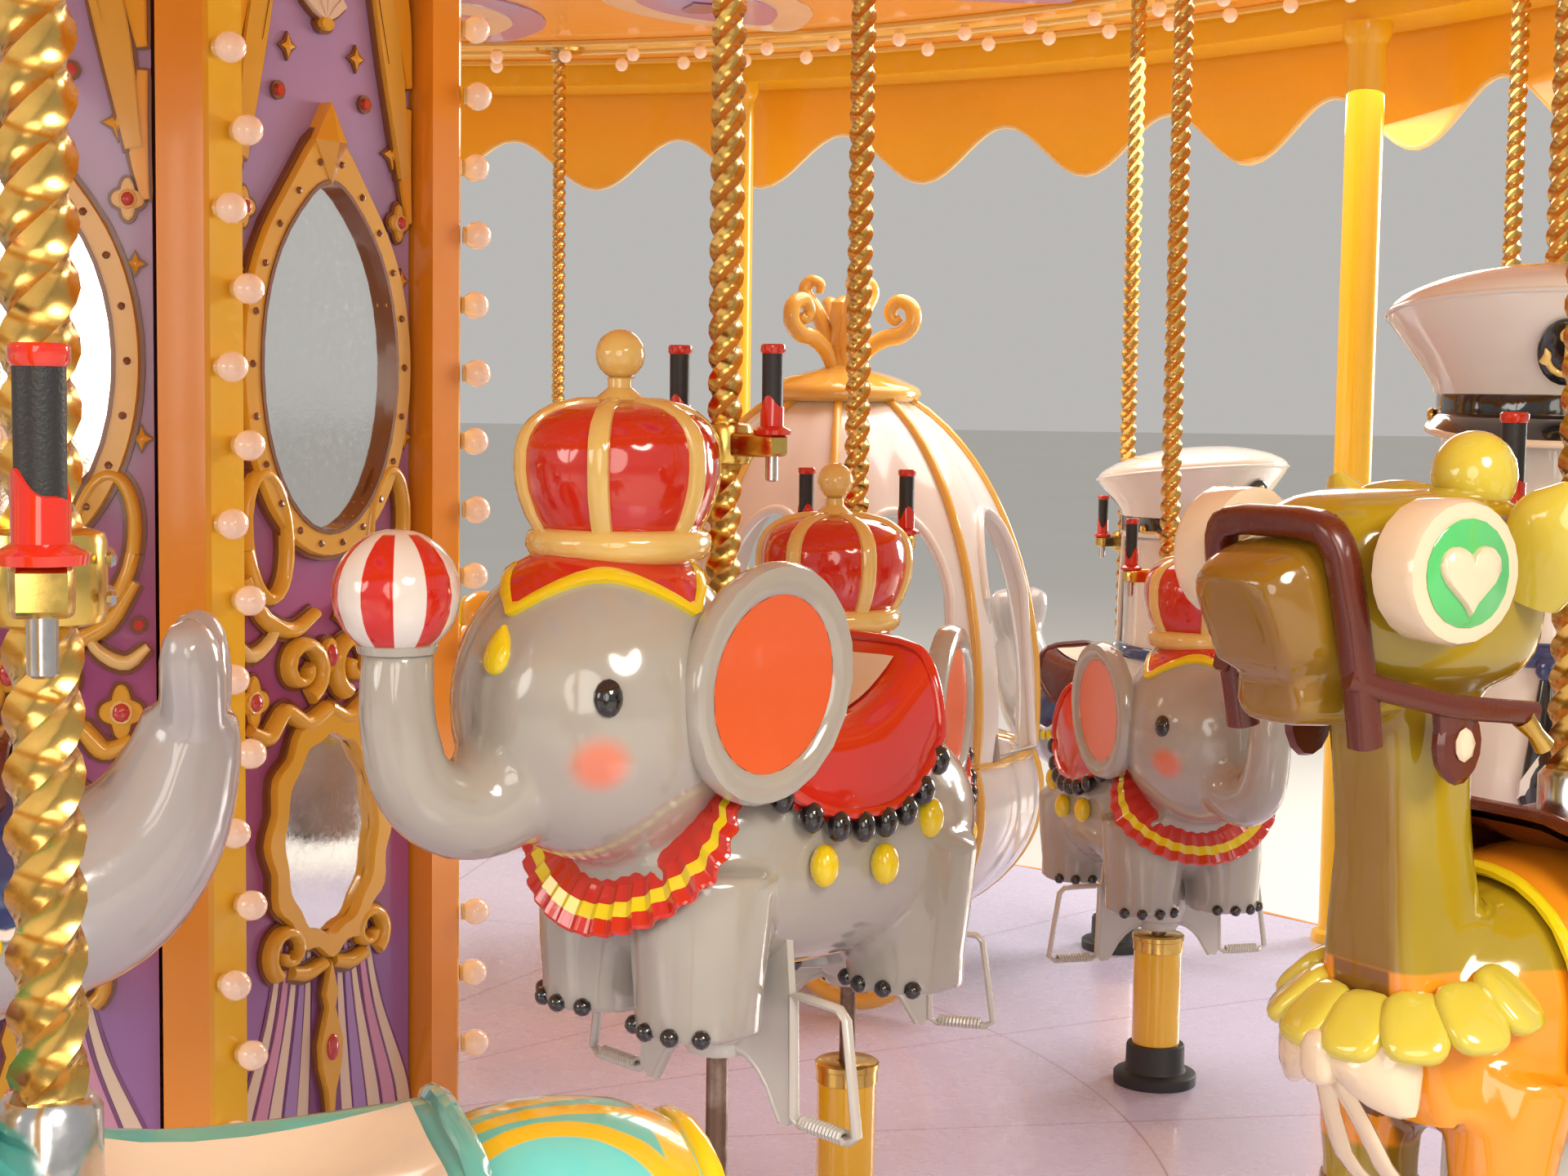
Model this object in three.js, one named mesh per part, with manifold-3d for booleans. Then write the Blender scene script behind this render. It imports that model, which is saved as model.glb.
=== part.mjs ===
// Fairground carousel: a fixed base and mast, a turning platform with its drum, canopy and valance,
// and riding figures on twisted poles that rise and fall.
// Millimetres, +Z up, origin on the ground at the mast.
import * as THREE from "three";
import { mergeVertices } from "three/addons/utils/BufferGeometryUtils.js";
import Module from "manifold-3d";

const wasm = await Module();
wasm.setup();

// Driving dimensions
// GAP lies between neighbours. OVERLAP is how far joined or cutting solids run past a face.
const GAP = 0.3;
const OVERLAP = 20;

const MAST_RADIUS = 150;
const MAST_TOP = 4720;
const MAST_SIDES = 20;
const MAST_FOOT_HEIGHT = 40;
const MAST_PLAY = 4;
const BASE_TOP = 150;
const BASE_RADIUS = 3500;
const BASE_SIDES = 20;
const SWEEP_COUNT = 5;
const SWEEP_WIDTH = 70;
const SWEEP_END = 40;

const DECK_RADIUS = 4150;
const DECK_TOP = 300;
const DECK_THICKNESS = 60;
const SKIRT_THICKNESS = 18;
const SKIRT_BOTTOM = 60;
const ROUND_SIDES = 40;
const HUB_RADIUS = 420;
const BOARD_HOLE_RADIUS = 210;

const GUIDE_RADIUS = 57;
const GUIDE_HEIGHT = 370;
const GUIDE_FOOT_RADIUS = 100;
const GUIDE_FOOT_HEIGHT = 25;
const GUIDE_SIDES = 6;

const DRUM_SIDES = 8;
const DRUM_RADIUS = 880;
const DRUM_CORNER_BEARING = 143.9;
const PILASTER_RADIUS = 75;
const PANEL_THICKNESS = 30;
const DRUM_RING = { height: 120, inset: 5, thickness: 55 };
const PANEL_INSET = 20;
const PANEL_PLAY = 3;
const UPPER_MIRROR = { z: 2040, frame: [440, 820], glass: [350, 660], sides: 8 };
const LOWER_MIRROR = { z: 1120, frame: [360, 520], glass: [270, 420], sides: 6 };
const MIRROR_FRAME_THICKNESS = 24;
const MIRROR_FRAME_FORWARD = 26;

const CEILING_BOTTOM = 3250;
const CEILING_THICKNESS = 20;
const CEILING_HOLE_RADIUS = 48;
const VALANCE_RADIUS = 4290;
const VALANCE_THICKNESS = 20;
const VALANCE_LOW = 2800;
const VALANCE_HIGH = 2990;
const SCALLOP_COUNT = 40;
const SCALLOP_STEPS = 4;
const SCALLOP_PHASE_BEARING = 2.2;

const POST_COUNT = 10;
const POST_RADIUS = 58;
const POST_RING_RADIUS = 4040;
const POST_BEARING = 20.2;
const RIM_BEAM = [3990, 4240];
const RIM_BEAM_HEIGHT = 90;

const CORNICE_TOP = 3840;
const CORNICE_CREST = 190;
const CORNICE_OUT = 20;
const CORNICE_THICKNESS = 50;
const ROOF_EAVE = [4259.6, 3720];
const ROOF_TOP = [260, 4900];
const ROOF_THICKNESS = 15;
const ROOF_SIDES = 20;
const SPIDER = { arms: 5, radius: 560, size: [50, 800, 60], drop: 40 };
const COLLAR = { top: 4700, height: 200, radius: 210 };

const POLE_RADIUS = 25;
const POLE_SIDES = 6;
const LOWER_ROD_RADIUS = 16;
const ROD_SIDES = 6;
const ROD_PLAY = 0.5;
const LOWER_ROD_END = -370;
const POLE_FOOT = 120;
const POLE_TOP = 2686;
const GRIP_Z = [975, 1095];
const GRIP_RADIUS = 15;
const GRIP_SPREAD = 100;
const GRIP_TAIL = 30;
const CLAMP_Z = 955;
const CLAMP_SIZE = [46, 236, 40];
const SEAT_CUT_TOP = CLAMP_Z - 100;

const STEEL = 0x6f6f73;
const ORANGE = 0xf2a01e;
const YELLOW = 0xf7c21b;
const LILAC = 0xd9c6e6;
const PURPLE = 0x8a5a9a;
const GREY = 0xa9a7a2;
const BRASS = 0xc9953a;
const CREAM = 0xf3e6d0;
const OLIVE = 0xb9a425;
const TURQUOISE = 0x4fb8ac;

// Each mount: where its pole stands, its turn from the direction of travel, and how high it hangs.
// Bearings run clockwise from +Y seen from above, in degrees. Lift is from the deck to the stirrups.
const MOUNTS = [
  { name: "elephant_1", kind: "elephant", radius: 2220, bearing: 137.4, turn: 0, lift: 669 },
  { name: "elephant_2", kind: "elephant", radius: 1780, bearing: 103.8, turn: 0, lift: 460 },
  { name: "elephant_3", kind: "elephant", radius: 2630, bearing: 74.4, turn: 0, lift: 314 },
  { name: "camel_1", kind: "camel", radius: 3324, bearing: 130.1, turn: -18, lift: 590 },
  { name: "seal_1", kind: "seal", radius: 3060, bearing: 106.5, turn: 0, lift: 669 },
  { name: "seal_2", kind: "seal", radius: 3375, bearing: 51.3, turn: 0, lift: 314 },
  { name: "seal_3", kind: "seal", radius: 1800, bearing: 170, turn: 0, lift: 600 },
  { name: "pony_1", kind: "pony", radius: 3680, bearing: 162, turn: 0, lift: 620 },
  { name: "pony_2", kind: "pony", radius: 3750, bearing: 70, turn: 0, lift: 400 },
  { name: "camel_2", kind: "camel", radius: 3670, bearing: 11.7, turn: 0, lift: 314 },
  { name: "elephant_4", kind: "elephant", radius: 3350, bearing: 332, turn: 0, lift: 600 },
  { name: "pony_3", kind: "pony", radius: 3350, bearing: 293, turn: 0, lift: 380 },
  { name: "camel_3", kind: "camel", radius: 3350, bearing: 254, turn: 0, lift: 620 },
  { name: "seal_4", kind: "seal", radius: 3350, bearing: 213, turn: 0, lift: 420 },
];

// Figures: origin at the pole and the stirrups' lowest point, nose along +X, left side along +Y.
// Each ball is a middle and three radii, and each limb is a list of [x, y, z, radius].
// The stirrup plate crosses under the belly, arched over the rod, with a window for a foot near each end.
const STIRRUP_THICKNESS = 16;
const STIRRUP_EDGE = [[60, 88], [110, 62], [146, 0], [300, 0], [272, 196], [150, 196], [150, 290]];
const STIRRUP_WINDOW = [[166, 18], [282, 18], [258, 178], [166, 178]];
const STIRRUP_BRACKET = [[0, 0, 200], [230, 190, 40]];

const ELEPHANT = {
  body: [[-120, 0, 390], [350, 205, 195]],
  head: [[215, 0, 605], [215, 205, 222]],
  trunk: [
    [300, 0, 560, 105],
    [430, 0, 475, 68],
    [515, 0, 510, 55],
    [545, 0, 600, 50],
    [545, 0, 700, 46],
  ],
  ball: [[548, 0, 768], [82, 82, 82]],
  ear: { middle: [100, 186, 640], size: [134, 50, 166], lean: -16, splay: -7 },
  crownAt: 190,
  crown: [
    [0, 800],
    [124, 800],
    [110, 845],
    [138, 930],
    [60, 1008],
    [24, 1044],
    [34, 1078],
    [0, 1110],
  ],
  legs: { spots: [[120, 105], [-290, 105]], top: 330, bottom: 148, radius: 86 },
  saddle: { x: -115, z: 520, half: 150, radius: 76 },
};

// The body, legs and tail that the camel and the pony share
const QUADRUPED = {
  body: [[-40, 0, 400], [400, 175, 185]],
  legs: { spots: [[200, 95], [-290, 95]], top: 340, bottom: 130, radius: 66 },
  saddleAt: -20,
  saddleSize: [300, 260, 140],
  tail: [[-400, 0, 440, 26], [-470, 0, 260, 40]],
  ear: [[-60, 70, 30, 50], [-60, 180, 120, 26]],
  muzzleBack: [20, -10, 92],
  muzzleFront: 70,
};

const CAMEL = {
  neck: [[230, 0, 400, 150], [265, 0, 520, 82], [310, 0, 830, 78]],
  head: [[320, 0, 895], [195, 118, 115]],
  snout: [550, 0, 880],
  saddleTop: 620,
  blinker: { x: 400, z: 930, half: 190, radius: 76 },
  tuft: [[180, 0, 1020], [52, 46, 52]],
  collarAt: 255,
  collar: [[0, 450], [160, 450], [90, 515], [0, 515]],
};

const PONY = {
  neck: [[260, 0, 430, 140], [400, 0, 640, 92], [440, 0, 800, 78]],
  head: [[480, 0, 850], [150, 105, 110]],
  snout: [660, 0, 740],
  saddleTop: 610,
  mane: [[330, 0, 660, 52], [420, 0, 960, 40]],
};

const SEAL = {
  body: [[0, 0, 400], [400, 190, 190]],
  chest: [[250, 0, 240, 192], [250, 0, 1000, 188]],
  tail: [[-200, 0, 390, 150], [-400, 0, 440, 95], [-450, 0, 580, 60], [-455, 0, 660, 46]],
  flukes: { x: -460, z: 700, half: 110, radius: 76 },
  flippers: { x: 290, z: 420, half: 300, radius: 50 },
  capAt: 250,
  cap: [[0, 990], [204, 1000], [204, 1060], [268, 1130], [250, 1190], [0, 1245]],
  visor: { at: [[400, 0, 1020], [130, 165, 26]], pitch: 14 },
  saddle: [[-60, 0, 550], [240, 250, 120]],
};

// Pumpkin carriage, which stands on the deck: its own heights are from the deck
const CARRIAGE = {
  radius: 2630,
  bearing: 41.9,
  turn: 15,
  split: 660,
  tub: [[0, 0, 520], [620, 560, 430]],
  tubHollow: [[0, 0, 560], [540, 480, 400]],
  doorway: [[0, 480, 640], [420, 500, 560]],
  bench: [[-330, 0, 330], [260, 760, 300]],
  foot: { radius: 300, height: 140 },
  wheel: { x: 330, z: 250, inner: 540, outer: 600, radius: 240 },
  hub: { inner: 300, outer: 560, radius: 60 },
  hood: [[0, 0, 780], [600, 545, 960]],
  hoodHollow: [[0, 0, 780], [560, 505, 915]],
  window: [[-150, 600], [150, 600], [150, 1200], [0, 1420], [-150, 1200]],
  windowTurns: [0, 45, 90, 135],
  cap: [[0, 1690], [190, 1690], [200, 1725], [40, 1790], [0, 1790]],
  scroll: [[0, 1770, 26], [90, 1880, 26], [170, 1960, 34], [150, 2040, 34]],
  sides: 12,
};

// Finial on the roof: [radius, height above the roof's top]
const FINIAL = [
  [0, 0],
  [330, 0],
  [350, 90],
  [240, 150],
  [290, 300],
  [200, 430],
  [60, 500],
  [60, 560],
  [95, 620],
  [60, 690],
  [0, 720],
];

// Geometry helpers
const radians = THREE.MathUtils.degToRad;
const SIDES = [-1, 1];

function solid(geometry) {
  const bare = geometry.index ? geometry.toNonIndexed() : geometry.clone();
  bare.deleteAttribute("normal");
  bare.deleteAttribute("uv");
  const merged = mergeVertices(bare, 1e-3);
  const index = merged.index.array;
  const triangles = [];
  for (let i = 0; i < index.length; i += 3) {
    const [a, b, c] = [index[i], index[i + 1], index[i + 2]];
    if (a !== b && b !== c && c !== a) triangles.push(a, b, c);
  }
  return new wasm.Manifold(
    new wasm.Mesh({
      numProp: 3,
      vertProperties: merged.attributes.position.array,
      triVerts: new Uint32Array(triangles),
    }),
  );
}

function join(...solids) {
  return solids.flat().reduce((whole, piece) => whole.add(piece));
}

function cut(whole, ...tools) {
  return tools.flat().reduce((rest, tool) => rest.subtract(tool), whole);
}

function meshOf(name, shape, colour, roughness = 0.4, metalness = 0) {
  const raw = shape.getMesh();
  const positions = new Float32Array(raw.numVert * 3);
  for (let i = 0; i < raw.numVert; i += 1) {
    positions.set(raw.vertProperties.subarray(i * raw.numProp, i * raw.numProp + 3), i * 3);
  }
  const geometry = new THREE.BufferGeometry();
  geometry.setAttribute("position", new THREE.BufferAttribute(positions, 3));
  geometry.setIndex(new THREE.BufferAttribute(new Uint32Array(raw.triVerts), 1));
  geometry.computeVertexNormals();
  const material = new THREE.MeshStandardMaterial({ color: colour, roughness, metalness });
  const mesh = new THREE.Mesh(geometry, material);
  mesh.name = name;
  return mesh;
}

function block([x, y, z], [sx, sy, sz], yaw = 0) {
  return solid(new THREE.BoxGeometry(sx, sy, sz).rotateZ(yaw).translate(x, y, z));
}

function ellipsoid([[x, y, z], [rx, ry, rz]], sides = 8, pitch = 0) {
  const ball = new THREE.SphereGeometry(1, sides, Math.round(sides * 0.7));
  ball.rotateX(Math.PI / 2).scale(rx, ry, rz).rotateY(pitch).translate(x, y, z);
  return solid(ball);
}

function rod(from, to, startRadius, endRadius = startRadius, sides = 8) {
  const a = new THREE.Vector3(...from);
  const b = new THREE.Vector3(...to);
  const along = b.clone().sub(a);
  const shape = new THREE.CylinderGeometry(endRadius, startRadius, along.length(), sides);
  const turn = new THREE.Quaternion().setFromUnitVectors(
    new THREE.Vector3(0, 1, 0),
    along.clone().normalize(),
  );
  shape.applyQuaternion(turn).translate(...a.add(b).multiplyScalar(0.5).toArray());
  return solid(shape);
}

function post(x, y, bottom, top, radius, sides) {
  return rod([x, y, bottom], [x, y, top], radius, radius, sides);
}

// A round bar across the figure, from one side to the other
function crossbar({ x, z, half, radius }, sides) {
  return rod([x, -half, z], [x, half, z], radius, radius, sides);
}

// A straight bar between two [x, y, z, radius] ends, moved by an offset and mirrored by side
function taper([from, to], sides, [dx, dz] = [0, 0], side = 1) {
  const [a, b] = [from, to].map(([x, y, z]) => [x + dx, side * y, z + dz]);
  return rod(a, b, from[3], to[3], sides);
}

// A limb of round sections along a path in the plane y = constant: each stop is [x, y, z, radius].
function limb(stops, sides = 8) {
  const centres = stops.map(([x, y, z]) => new THREE.Vector3(x, y, z));
  const across = new THREE.Vector3(0, 1, 0);
  const rings = stops.map(([, , , radius], i) => {
    const ahead = centres[Math.min(i + 1, stops.length - 1)];
    const behind = centres[Math.max(i - 1, 0)];
    const up = ahead.clone().sub(behind).cross(across).normalize();
    return Array.from({ length: sides }, (_, k) => {
      const angle = (2 * Math.PI * (k + 0.5)) / sides;
      const point = centres[i].clone().addScaledVector(across, radius * Math.cos(angle));
      return point.addScaledVector(up, radius * Math.sin(angle)).toArray();
    });
  });
  return tube(rings, centres[0].toArray(), centres[centres.length - 1].toArray());
}

// A closed skin over rings of points, with a fan to a middle point at each end.
function tube(rings, startMiddle, endMiddle) {
  const positions = [];
  const last = rings[rings.length - 1];
  rings[0].forEach((point, k) => {
    const next = (k + 1) % rings[0].length;
    positions.push(...startMiddle, ...rings[0][next], ...point);
    positions.push(...endMiddle, ...last[k], ...last[next]);
    rings.slice(1).forEach((ringAhead, i) => {
      const [a, b, c, d] = [rings[i][k], rings[i][next], ringAhead[next], ringAhead[k]];
      positions.push(...a, ...b, ...c, ...a, ...c, ...d);
    });
  });
  const geometry = new THREE.BufferGeometry();
  geometry.setAttribute("position", new THREE.BufferAttribute(new Float32Array(positions), 3));
  return solid(geometry);
}

// A body turned about the vertical axis from [radius, z] points, with flat sides.
function turned(profile, sides = ROUND_SIDES) {
  const points = profile.map(([r, z]) => new THREE.Vector2(r, z));
  return solid(new THREE.LatheGeometry(points, sides).rotateX(Math.PI / 2));
}

function ring(inner, outer, bottom, top, sides = ROUND_SIDES) {
  return turned([[inner, bottom], [outer, bottom], [outer, top], [inner, top], [inner, bottom]], sides);
}

function disc(radius, bottom, top, sides = ROUND_SIDES) {
  return turned([[0, bottom], [radius, bottom], [radius, top], [0, top]], sides);
}

// A flat plate drawn in the plane across x, from y and z points, with its thickness along x.
function plateAcross(outline, thickness, holes = []) {
  const shape = new THREE.Shape(outline.map(([y, z]) => new THREE.Vector2(y, z)));
  holes.forEach((hole) => {
    shape.holes.push(new THREE.Path(hole.map(([y, z]) => new THREE.Vector2(y, z))));
  });
  const plate = new THREE.ExtrudeGeometry(shape, { depth: thickness, bevelEnabled: false });
  plate.applyMatrix4(new THREE.Matrix4().makeBasis(
    new THREE.Vector3(0, 1, 0),
    new THREE.Vector3(0, 0, 1),
    new THREE.Vector3(1, 0, 0),
  ));
  return solid(plate.translate(-thickness / 2, 0, 0));
}

function oval([width, height], z, count) {
  return Array.from({ length: count }, (_, i) => {
    const angle = (2 * Math.PI * i) / count;
    return [(width / 2) * Math.cos(angle), z + (height / 2) * Math.sin(angle)];
  });
}

function spot(radius, bearing) {
  return [radius * Math.sin(radians(bearing)), radius * Math.cos(radians(bearing))];
}

// A group whose +X runs along the direction of travel and +Y points outwards.
function station(radius, bearing, height = 0, turn = 0) {
  const group = new THREE.Group();
  group.position.set(...spot(radius, bearing), height);
  group.rotation.z = radians(turn - bearing);
  return group;
}

// Fixed base and mast
const MAST_FOOT_TOP = BASE_TOP + MAST_FOOT_HEIGHT;

function basePlate() {
  return meshOf("base_plate", disc(BASE_RADIUS, 0, BASE_TOP, BASE_SIDES), STEEL, 0.6, 0.4);
}

function centreMast() {
  const foot = disc(HUB_RADIUS, BASE_TOP + GAP, MAST_FOOT_TOP, MAST_SIDES);
  const shaft = disc(MAST_RADIUS, BASE_TOP + OVERLAP, MAST_TOP, MAST_SIDES);
  return meshOf("centre_mast", join(foot, shaft), STEEL, 0.6, 0.4);
}

// Turning platform
const SWEEP_BOTTOM = MAST_FOOT_TOP + GAP;
const DECK_BOTTOM = DECK_TOP - DECK_THICKNESS;

function deckFrame() {
  const top = DECK_BOTTOM - GAP;
  const height = top - SWEEP_BOTTOM;
  const hub = ring(MAST_RADIUS + MAST_PLAY, HUB_RADIUS, SWEEP_BOTTOM, top, MAST_SIDES);
  const inner = HUB_RADIUS - 3 * OVERLAP;
  const outer = DECK_RADIUS - SWEEP_END - 3 * OVERLAP;
  const sweeps = Array.from({ length: SWEEP_COUNT }, (_, i) => {
    const bearing = (360 * (i + 0.5)) / SWEEP_COUNT;
    const centre = [...spot((inner + outer) / 2, bearing), SWEEP_BOTTOM + height / 2];
    return block(centre, [SWEEP_WIDTH, outer - inner, height], -radians(bearing));
  });
  return meshOf("deck_frame", join(hub, sweeps), STEEL, 0.6, 0.4);
}

function deck() {
  const floor = ring(BOARD_HOLE_RADIUS, DECK_RADIUS, DECK_BOTTOM, DECK_TOP);
  const guideBottom = DECK_TOP - OVERLAP;
  const guideTop = DECK_TOP + GUIDE_HEIGHT;
  const guides = MOUNTS.flatMap(({ radius, bearing }) => {
    const [x, y] = spot(radius, bearing);
    return [
      post(x, y, guideBottom, guideTop, GUIDE_RADIUS, GUIDE_SIDES),
      post(x, y, guideBottom, DECK_TOP + GUIDE_FOOT_HEIGHT, GUIDE_FOOT_RADIUS, GUIDE_SIDES),
    ];
  });
  const boreRadius = LOWER_ROD_RADIUS + ROD_PLAY;
  const bores = MOUNTS.map(({ radius, bearing, turn }) => {
    const bore = post(0, 0, DECK_BOTTOM - OVERLAP, guideTop + OVERLAP, boreRadius, ROD_SIDES);
    return bore.rotate([0, 0, turn - bearing]).translate(...spot(radius, bearing), 0);
  });
  return meshOf("deck", cut(join(floor, guides), bores), LILAC, 0.5);
}

function deckSkirt() {
  const inner = DECK_RADIUS + GAP;
  return meshOf("deck_skirt", ring(inner, inner + SKIRT_THICKNESS, SKIRT_BOTTOM, DECK_TOP), ORANGE, 0.4);
}

// Drum
const DRUM_STEP = 360 / DRUM_SIDES;
const DRUM_BOTTOM = DECK_TOP + GAP;
const DRUM_TOP = CEILING_BOTTOM - GAP;
const DRUM_APOTHEM = DRUM_RADIUS * Math.cos(Math.PI / DRUM_SIDES);

function drumFrame() {
  const corners = Array.from({ length: DRUM_SIDES }, (_, i) => {
    const [x, y] = spot(DRUM_RADIUS, DRUM_CORNER_BEARING - i * DRUM_STEP);
    return post(x, y, DRUM_BOTTOM, DRUM_TOP, PILASTER_RADIUS, 6);
  });
  const outer = DRUM_RADIUS - DRUM_RING.inset;
  const inner = outer - DRUM_RING.thickness;
  const bands = [DRUM_BOTTOM, DRUM_TOP - DRUM_RING.height].map((bottom) => {
    const band = ring(inner, outer, bottom, bottom + DRUM_RING.height, DRUM_SIDES);
    return band.rotate([0, 0, -DRUM_CORNER_BEARING - 90]);
  });
  return meshOf("drum_frame", join(corners, bands), ORANGE, 0.4);
}

function mirrorFrame({ z, frame, glass, sides }) {
  const rim = plateAcross(oval(frame, z, sides), MIRROR_FRAME_THICKNESS, [oval(glass, z, sides)]);
  return rim.translate(MIRROR_FRAME_FORWARD, 0, 0);
}

function drumPanel() {
  const side = 2 * DRUM_RADIUS * Math.sin(Math.PI / DRUM_SIDES);
  const half = side / 2 - PILASTER_RADIUS - PANEL_PLAY;
  const bottom = DRUM_BOTTOM + DRUM_RING.height + GAP;
  const top = DRUM_TOP - DRUM_RING.height - GAP;
  const outline = [[-half, bottom], [half, bottom], [half, top], [-half, top]];
  return join(plateAcross(outline, PANEL_THICKNESS), mirrorFrame(UPPER_MIRROR), mirrorFrame(LOWER_MIRROR));
}

function drumPanels() {
  const panel = drumPanel();
  return Array.from({ length: DRUM_SIDES }, (_, i) => {
    const bearing = DRUM_CORNER_BEARING - (i + 0.5) * DRUM_STEP;
    const mesh = meshOf(`drum_panel_${i + 1}`, panel, PURPLE, 0.4);
    mesh.position.set(...spot(DRUM_APOTHEM - PANEL_INSET, bearing), 0);
    mesh.rotation.z = radians(90 - bearing);
    return mesh;
  });
}

// Canopy
const CEILING_TOP = CEILING_BOTTOM + CEILING_THICKNESS;

function ceiling() {
  const outer = VALANCE_RADIUS - VALANCE_THICKNESS - GAP;
  const board = ring(BOARD_HOLE_RADIUS, outer, CEILING_BOTTOM, CEILING_TOP);
  const holes = MOUNTS.map(({ radius, bearing }) => {
    const [x, y] = spot(radius, bearing);
    return post(x, y, CEILING_BOTTOM - OVERLAP, CEILING_TOP + OVERLAP, CEILING_HOLE_RADIUS, 4);
  });
  return meshOf("ceiling", cut(board, holes), ORANGE, 0.5);
}

function postFrame() {
  const [inner, outer] = RIM_BEAM;
  const top = CEILING_BOTTOM - GAP;
  const beam = ring(inner, outer, top - RIM_BEAM_HEIGHT, top, 20);
  const posts = Array.from({ length: POST_COUNT }, (_, i) => {
    const [x, y] = spot(POST_RING_RADIUS, POST_BEARING + (360 * i) / POST_COUNT);
    return post(x, y, DECK_TOP + GAP, top - OVERLAP, POST_RADIUS, 8);
  });
  return meshOf("post_frame", join(beam, posts), YELLOW, 0.35);
}

// A thin round wall whose lower or upper edge rises and falls with the bearing.
function wavyWall(radius, thickness, columns, bottomAt, topAt) {
  const positions = [];
  const corner = (column, outerFace, isTop) => {
    const bearing = (360 * (column % columns)) / columns;
    const r = outerFace ? radius : radius - thickness;
    return [...spot(r, bearing), isTop ? topAt(bearing) : bottomAt(bearing)];
  };
  const quad = (a, b, c, d) => positions.push(...a, ...b, ...c, ...a, ...c, ...d);
  for (let i = 0; i < columns; i += 1) {
    const [ob, ot] = [corner(i, true, false), corner(i, true, true)];
    const [ib, it] = [corner(i, false, false), corner(i, false, true)];
    const [obn, otn] = [corner(i + 1, true, false), corner(i + 1, true, true)];
    const [ibn, itn] = [corner(i + 1, false, false), corner(i + 1, false, true)];
    quad(obn, ob, ot, otn);
    quad(ib, ibn, itn, it);
    quad(ot, it, itn, otn);
    quad(ob, obn, ibn, ib);
  }
  const geometry = new THREE.BufferGeometry();
  geometry.setAttribute("position", new THREE.BufferAttribute(new Float32Array(positions), 3));
  return solid(geometry);
}

function valance() {
  const middle = (VALANCE_LOW + VALANCE_HIGH) / 2;
  const swing = (VALANCE_HIGH - VALANCE_LOW) / 2;
  const pitch = 360 / SCALLOP_COUNT;
  const bottomAt = (bearing) => {
    const phase = ((bearing - SCALLOP_PHASE_BEARING) / pitch) * 2 * Math.PI;
    return middle - swing * Math.cos(phase);
  };
  const columns = SCALLOP_COUNT * SCALLOP_STEPS;
  const wall = wavyWall(VALANCE_RADIUS, VALANCE_THICKNESS, columns, bottomAt, () => CEILING_TOP);
  return meshOf("valance", wall, ORANGE, 0.5);
}

function roundingBoards() {
  const bottom = CEILING_TOP + GAP;
  const crestAt = (bearing) => {
    const part = ((bearing - POST_BEARING) / 360) * POST_COUNT * Math.PI;
    return CORNICE_TOP - CORNICE_CREST * (1 - Math.abs(Math.sin(part)));
  };
  const outer = VALANCE_RADIUS + CORNICE_OUT;
  const board = wavyWall(outer, CORNICE_THICKNESS, ROUND_SIDES, () => bottom, crestAt);
  return meshOf("rounding_boards", board, ORANGE, 0.4);
}

function roof() {
  const [eaveRadius, eaveZ] = ROOF_EAVE;
  const [topRadius, topZ] = ROOF_TOP;
  const shell = turned([
    [topRadius, topZ - ROOF_THICKNESS],
    [eaveRadius, eaveZ - ROOF_THICKNESS],
    [eaveRadius, eaveZ],
    [topRadius, topZ],
    [topRadius, topZ - ROOF_THICKNESS],
  ], ROOF_SIDES);
  const collarBottom = COLLAR.top - COLLAR.height;
  const collar = ring(MAST_RADIUS + MAST_PLAY, COLLAR.radius, collarBottom, COLLAR.top, MAST_SIDES);
  const arms = Array.from({ length: SPIDER.arms }, (_, i) => {
    const bearing = (360 / SPIDER.arms) * i;
    const centre = [...spot(SPIDER.radius, bearing), COLLAR.top - SPIDER.drop];
    return block(centre, SPIDER.size, -radians(bearing));
  });
  return meshOf("roof", join(shell, collar, arms), ORANGE, 0.5);
}

function roofCrown() {
  const foot = ROOF_TOP[1] + GAP;
  const profile = FINIAL.map(([radius, height]) => [radius, foot + height]);
  return meshOf("roof_crown", turned(profile, 16), YELLOW, 0.3, 0.3);
}

// Pumpkin carriage
function carriageBody() {
  const { sides, split, foot, wheel, hub } = CARRIAGE;
  const above = block([0, 0, split + 400], [1600, 1600, 800]);
  const tub = cut(ellipsoid(CARRIAGE.tub, sides), ellipsoid(CARRIAGE.tubHollow, sides), above);
  const wheels = SIDES.flatMap((end) => {
    const at = (y) => [end * wheel.x, -y, wheel.z];
    return [
      rod(at(wheel.outer), at(wheel.inner), wheel.radius, wheel.radius, sides),
      rod(at(hub.outer), at(hub.inner), hub.radius, hub.radius, 6),
    ];
  });
  const whole = join(
    cut(tub, block(...CARRIAGE.doorway)),
    block(...CARRIAGE.bench),
    disc(foot.radius, GAP, foot.height, sides),
    wheels,
  );
  return meshOf("carriage_body", whole, CREAM, 0.3);
}

function carriageCanopy() {
  const { sides, split } = CARRIAGE;
  const below = block([0, 0, split + GAP - 500], [1600, 1600, 1000]);
  const windows = CARRIAGE.windowTurns.map((angle) =>
    plateAcross(CARRIAGE.window, 1600).rotate([0, 0, angle]),
  );
  const hood = cut(ellipsoid(CARRIAGE.hood, sides), ellipsoid(CARRIAGE.hoodHollow, sides), below, windows);
  const scrolls = SIDES.map((side) => {
    const stops = CARRIAGE.scroll.map(([x, z, radius]) => [side * x, 0, z, radius]);
    return limb(stops, 4);
  });
  return meshOf("carriage_canopy", join(hood, turned(CARRIAGE.cap, 8), scrolls), CREAM, 0.3);
}

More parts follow.
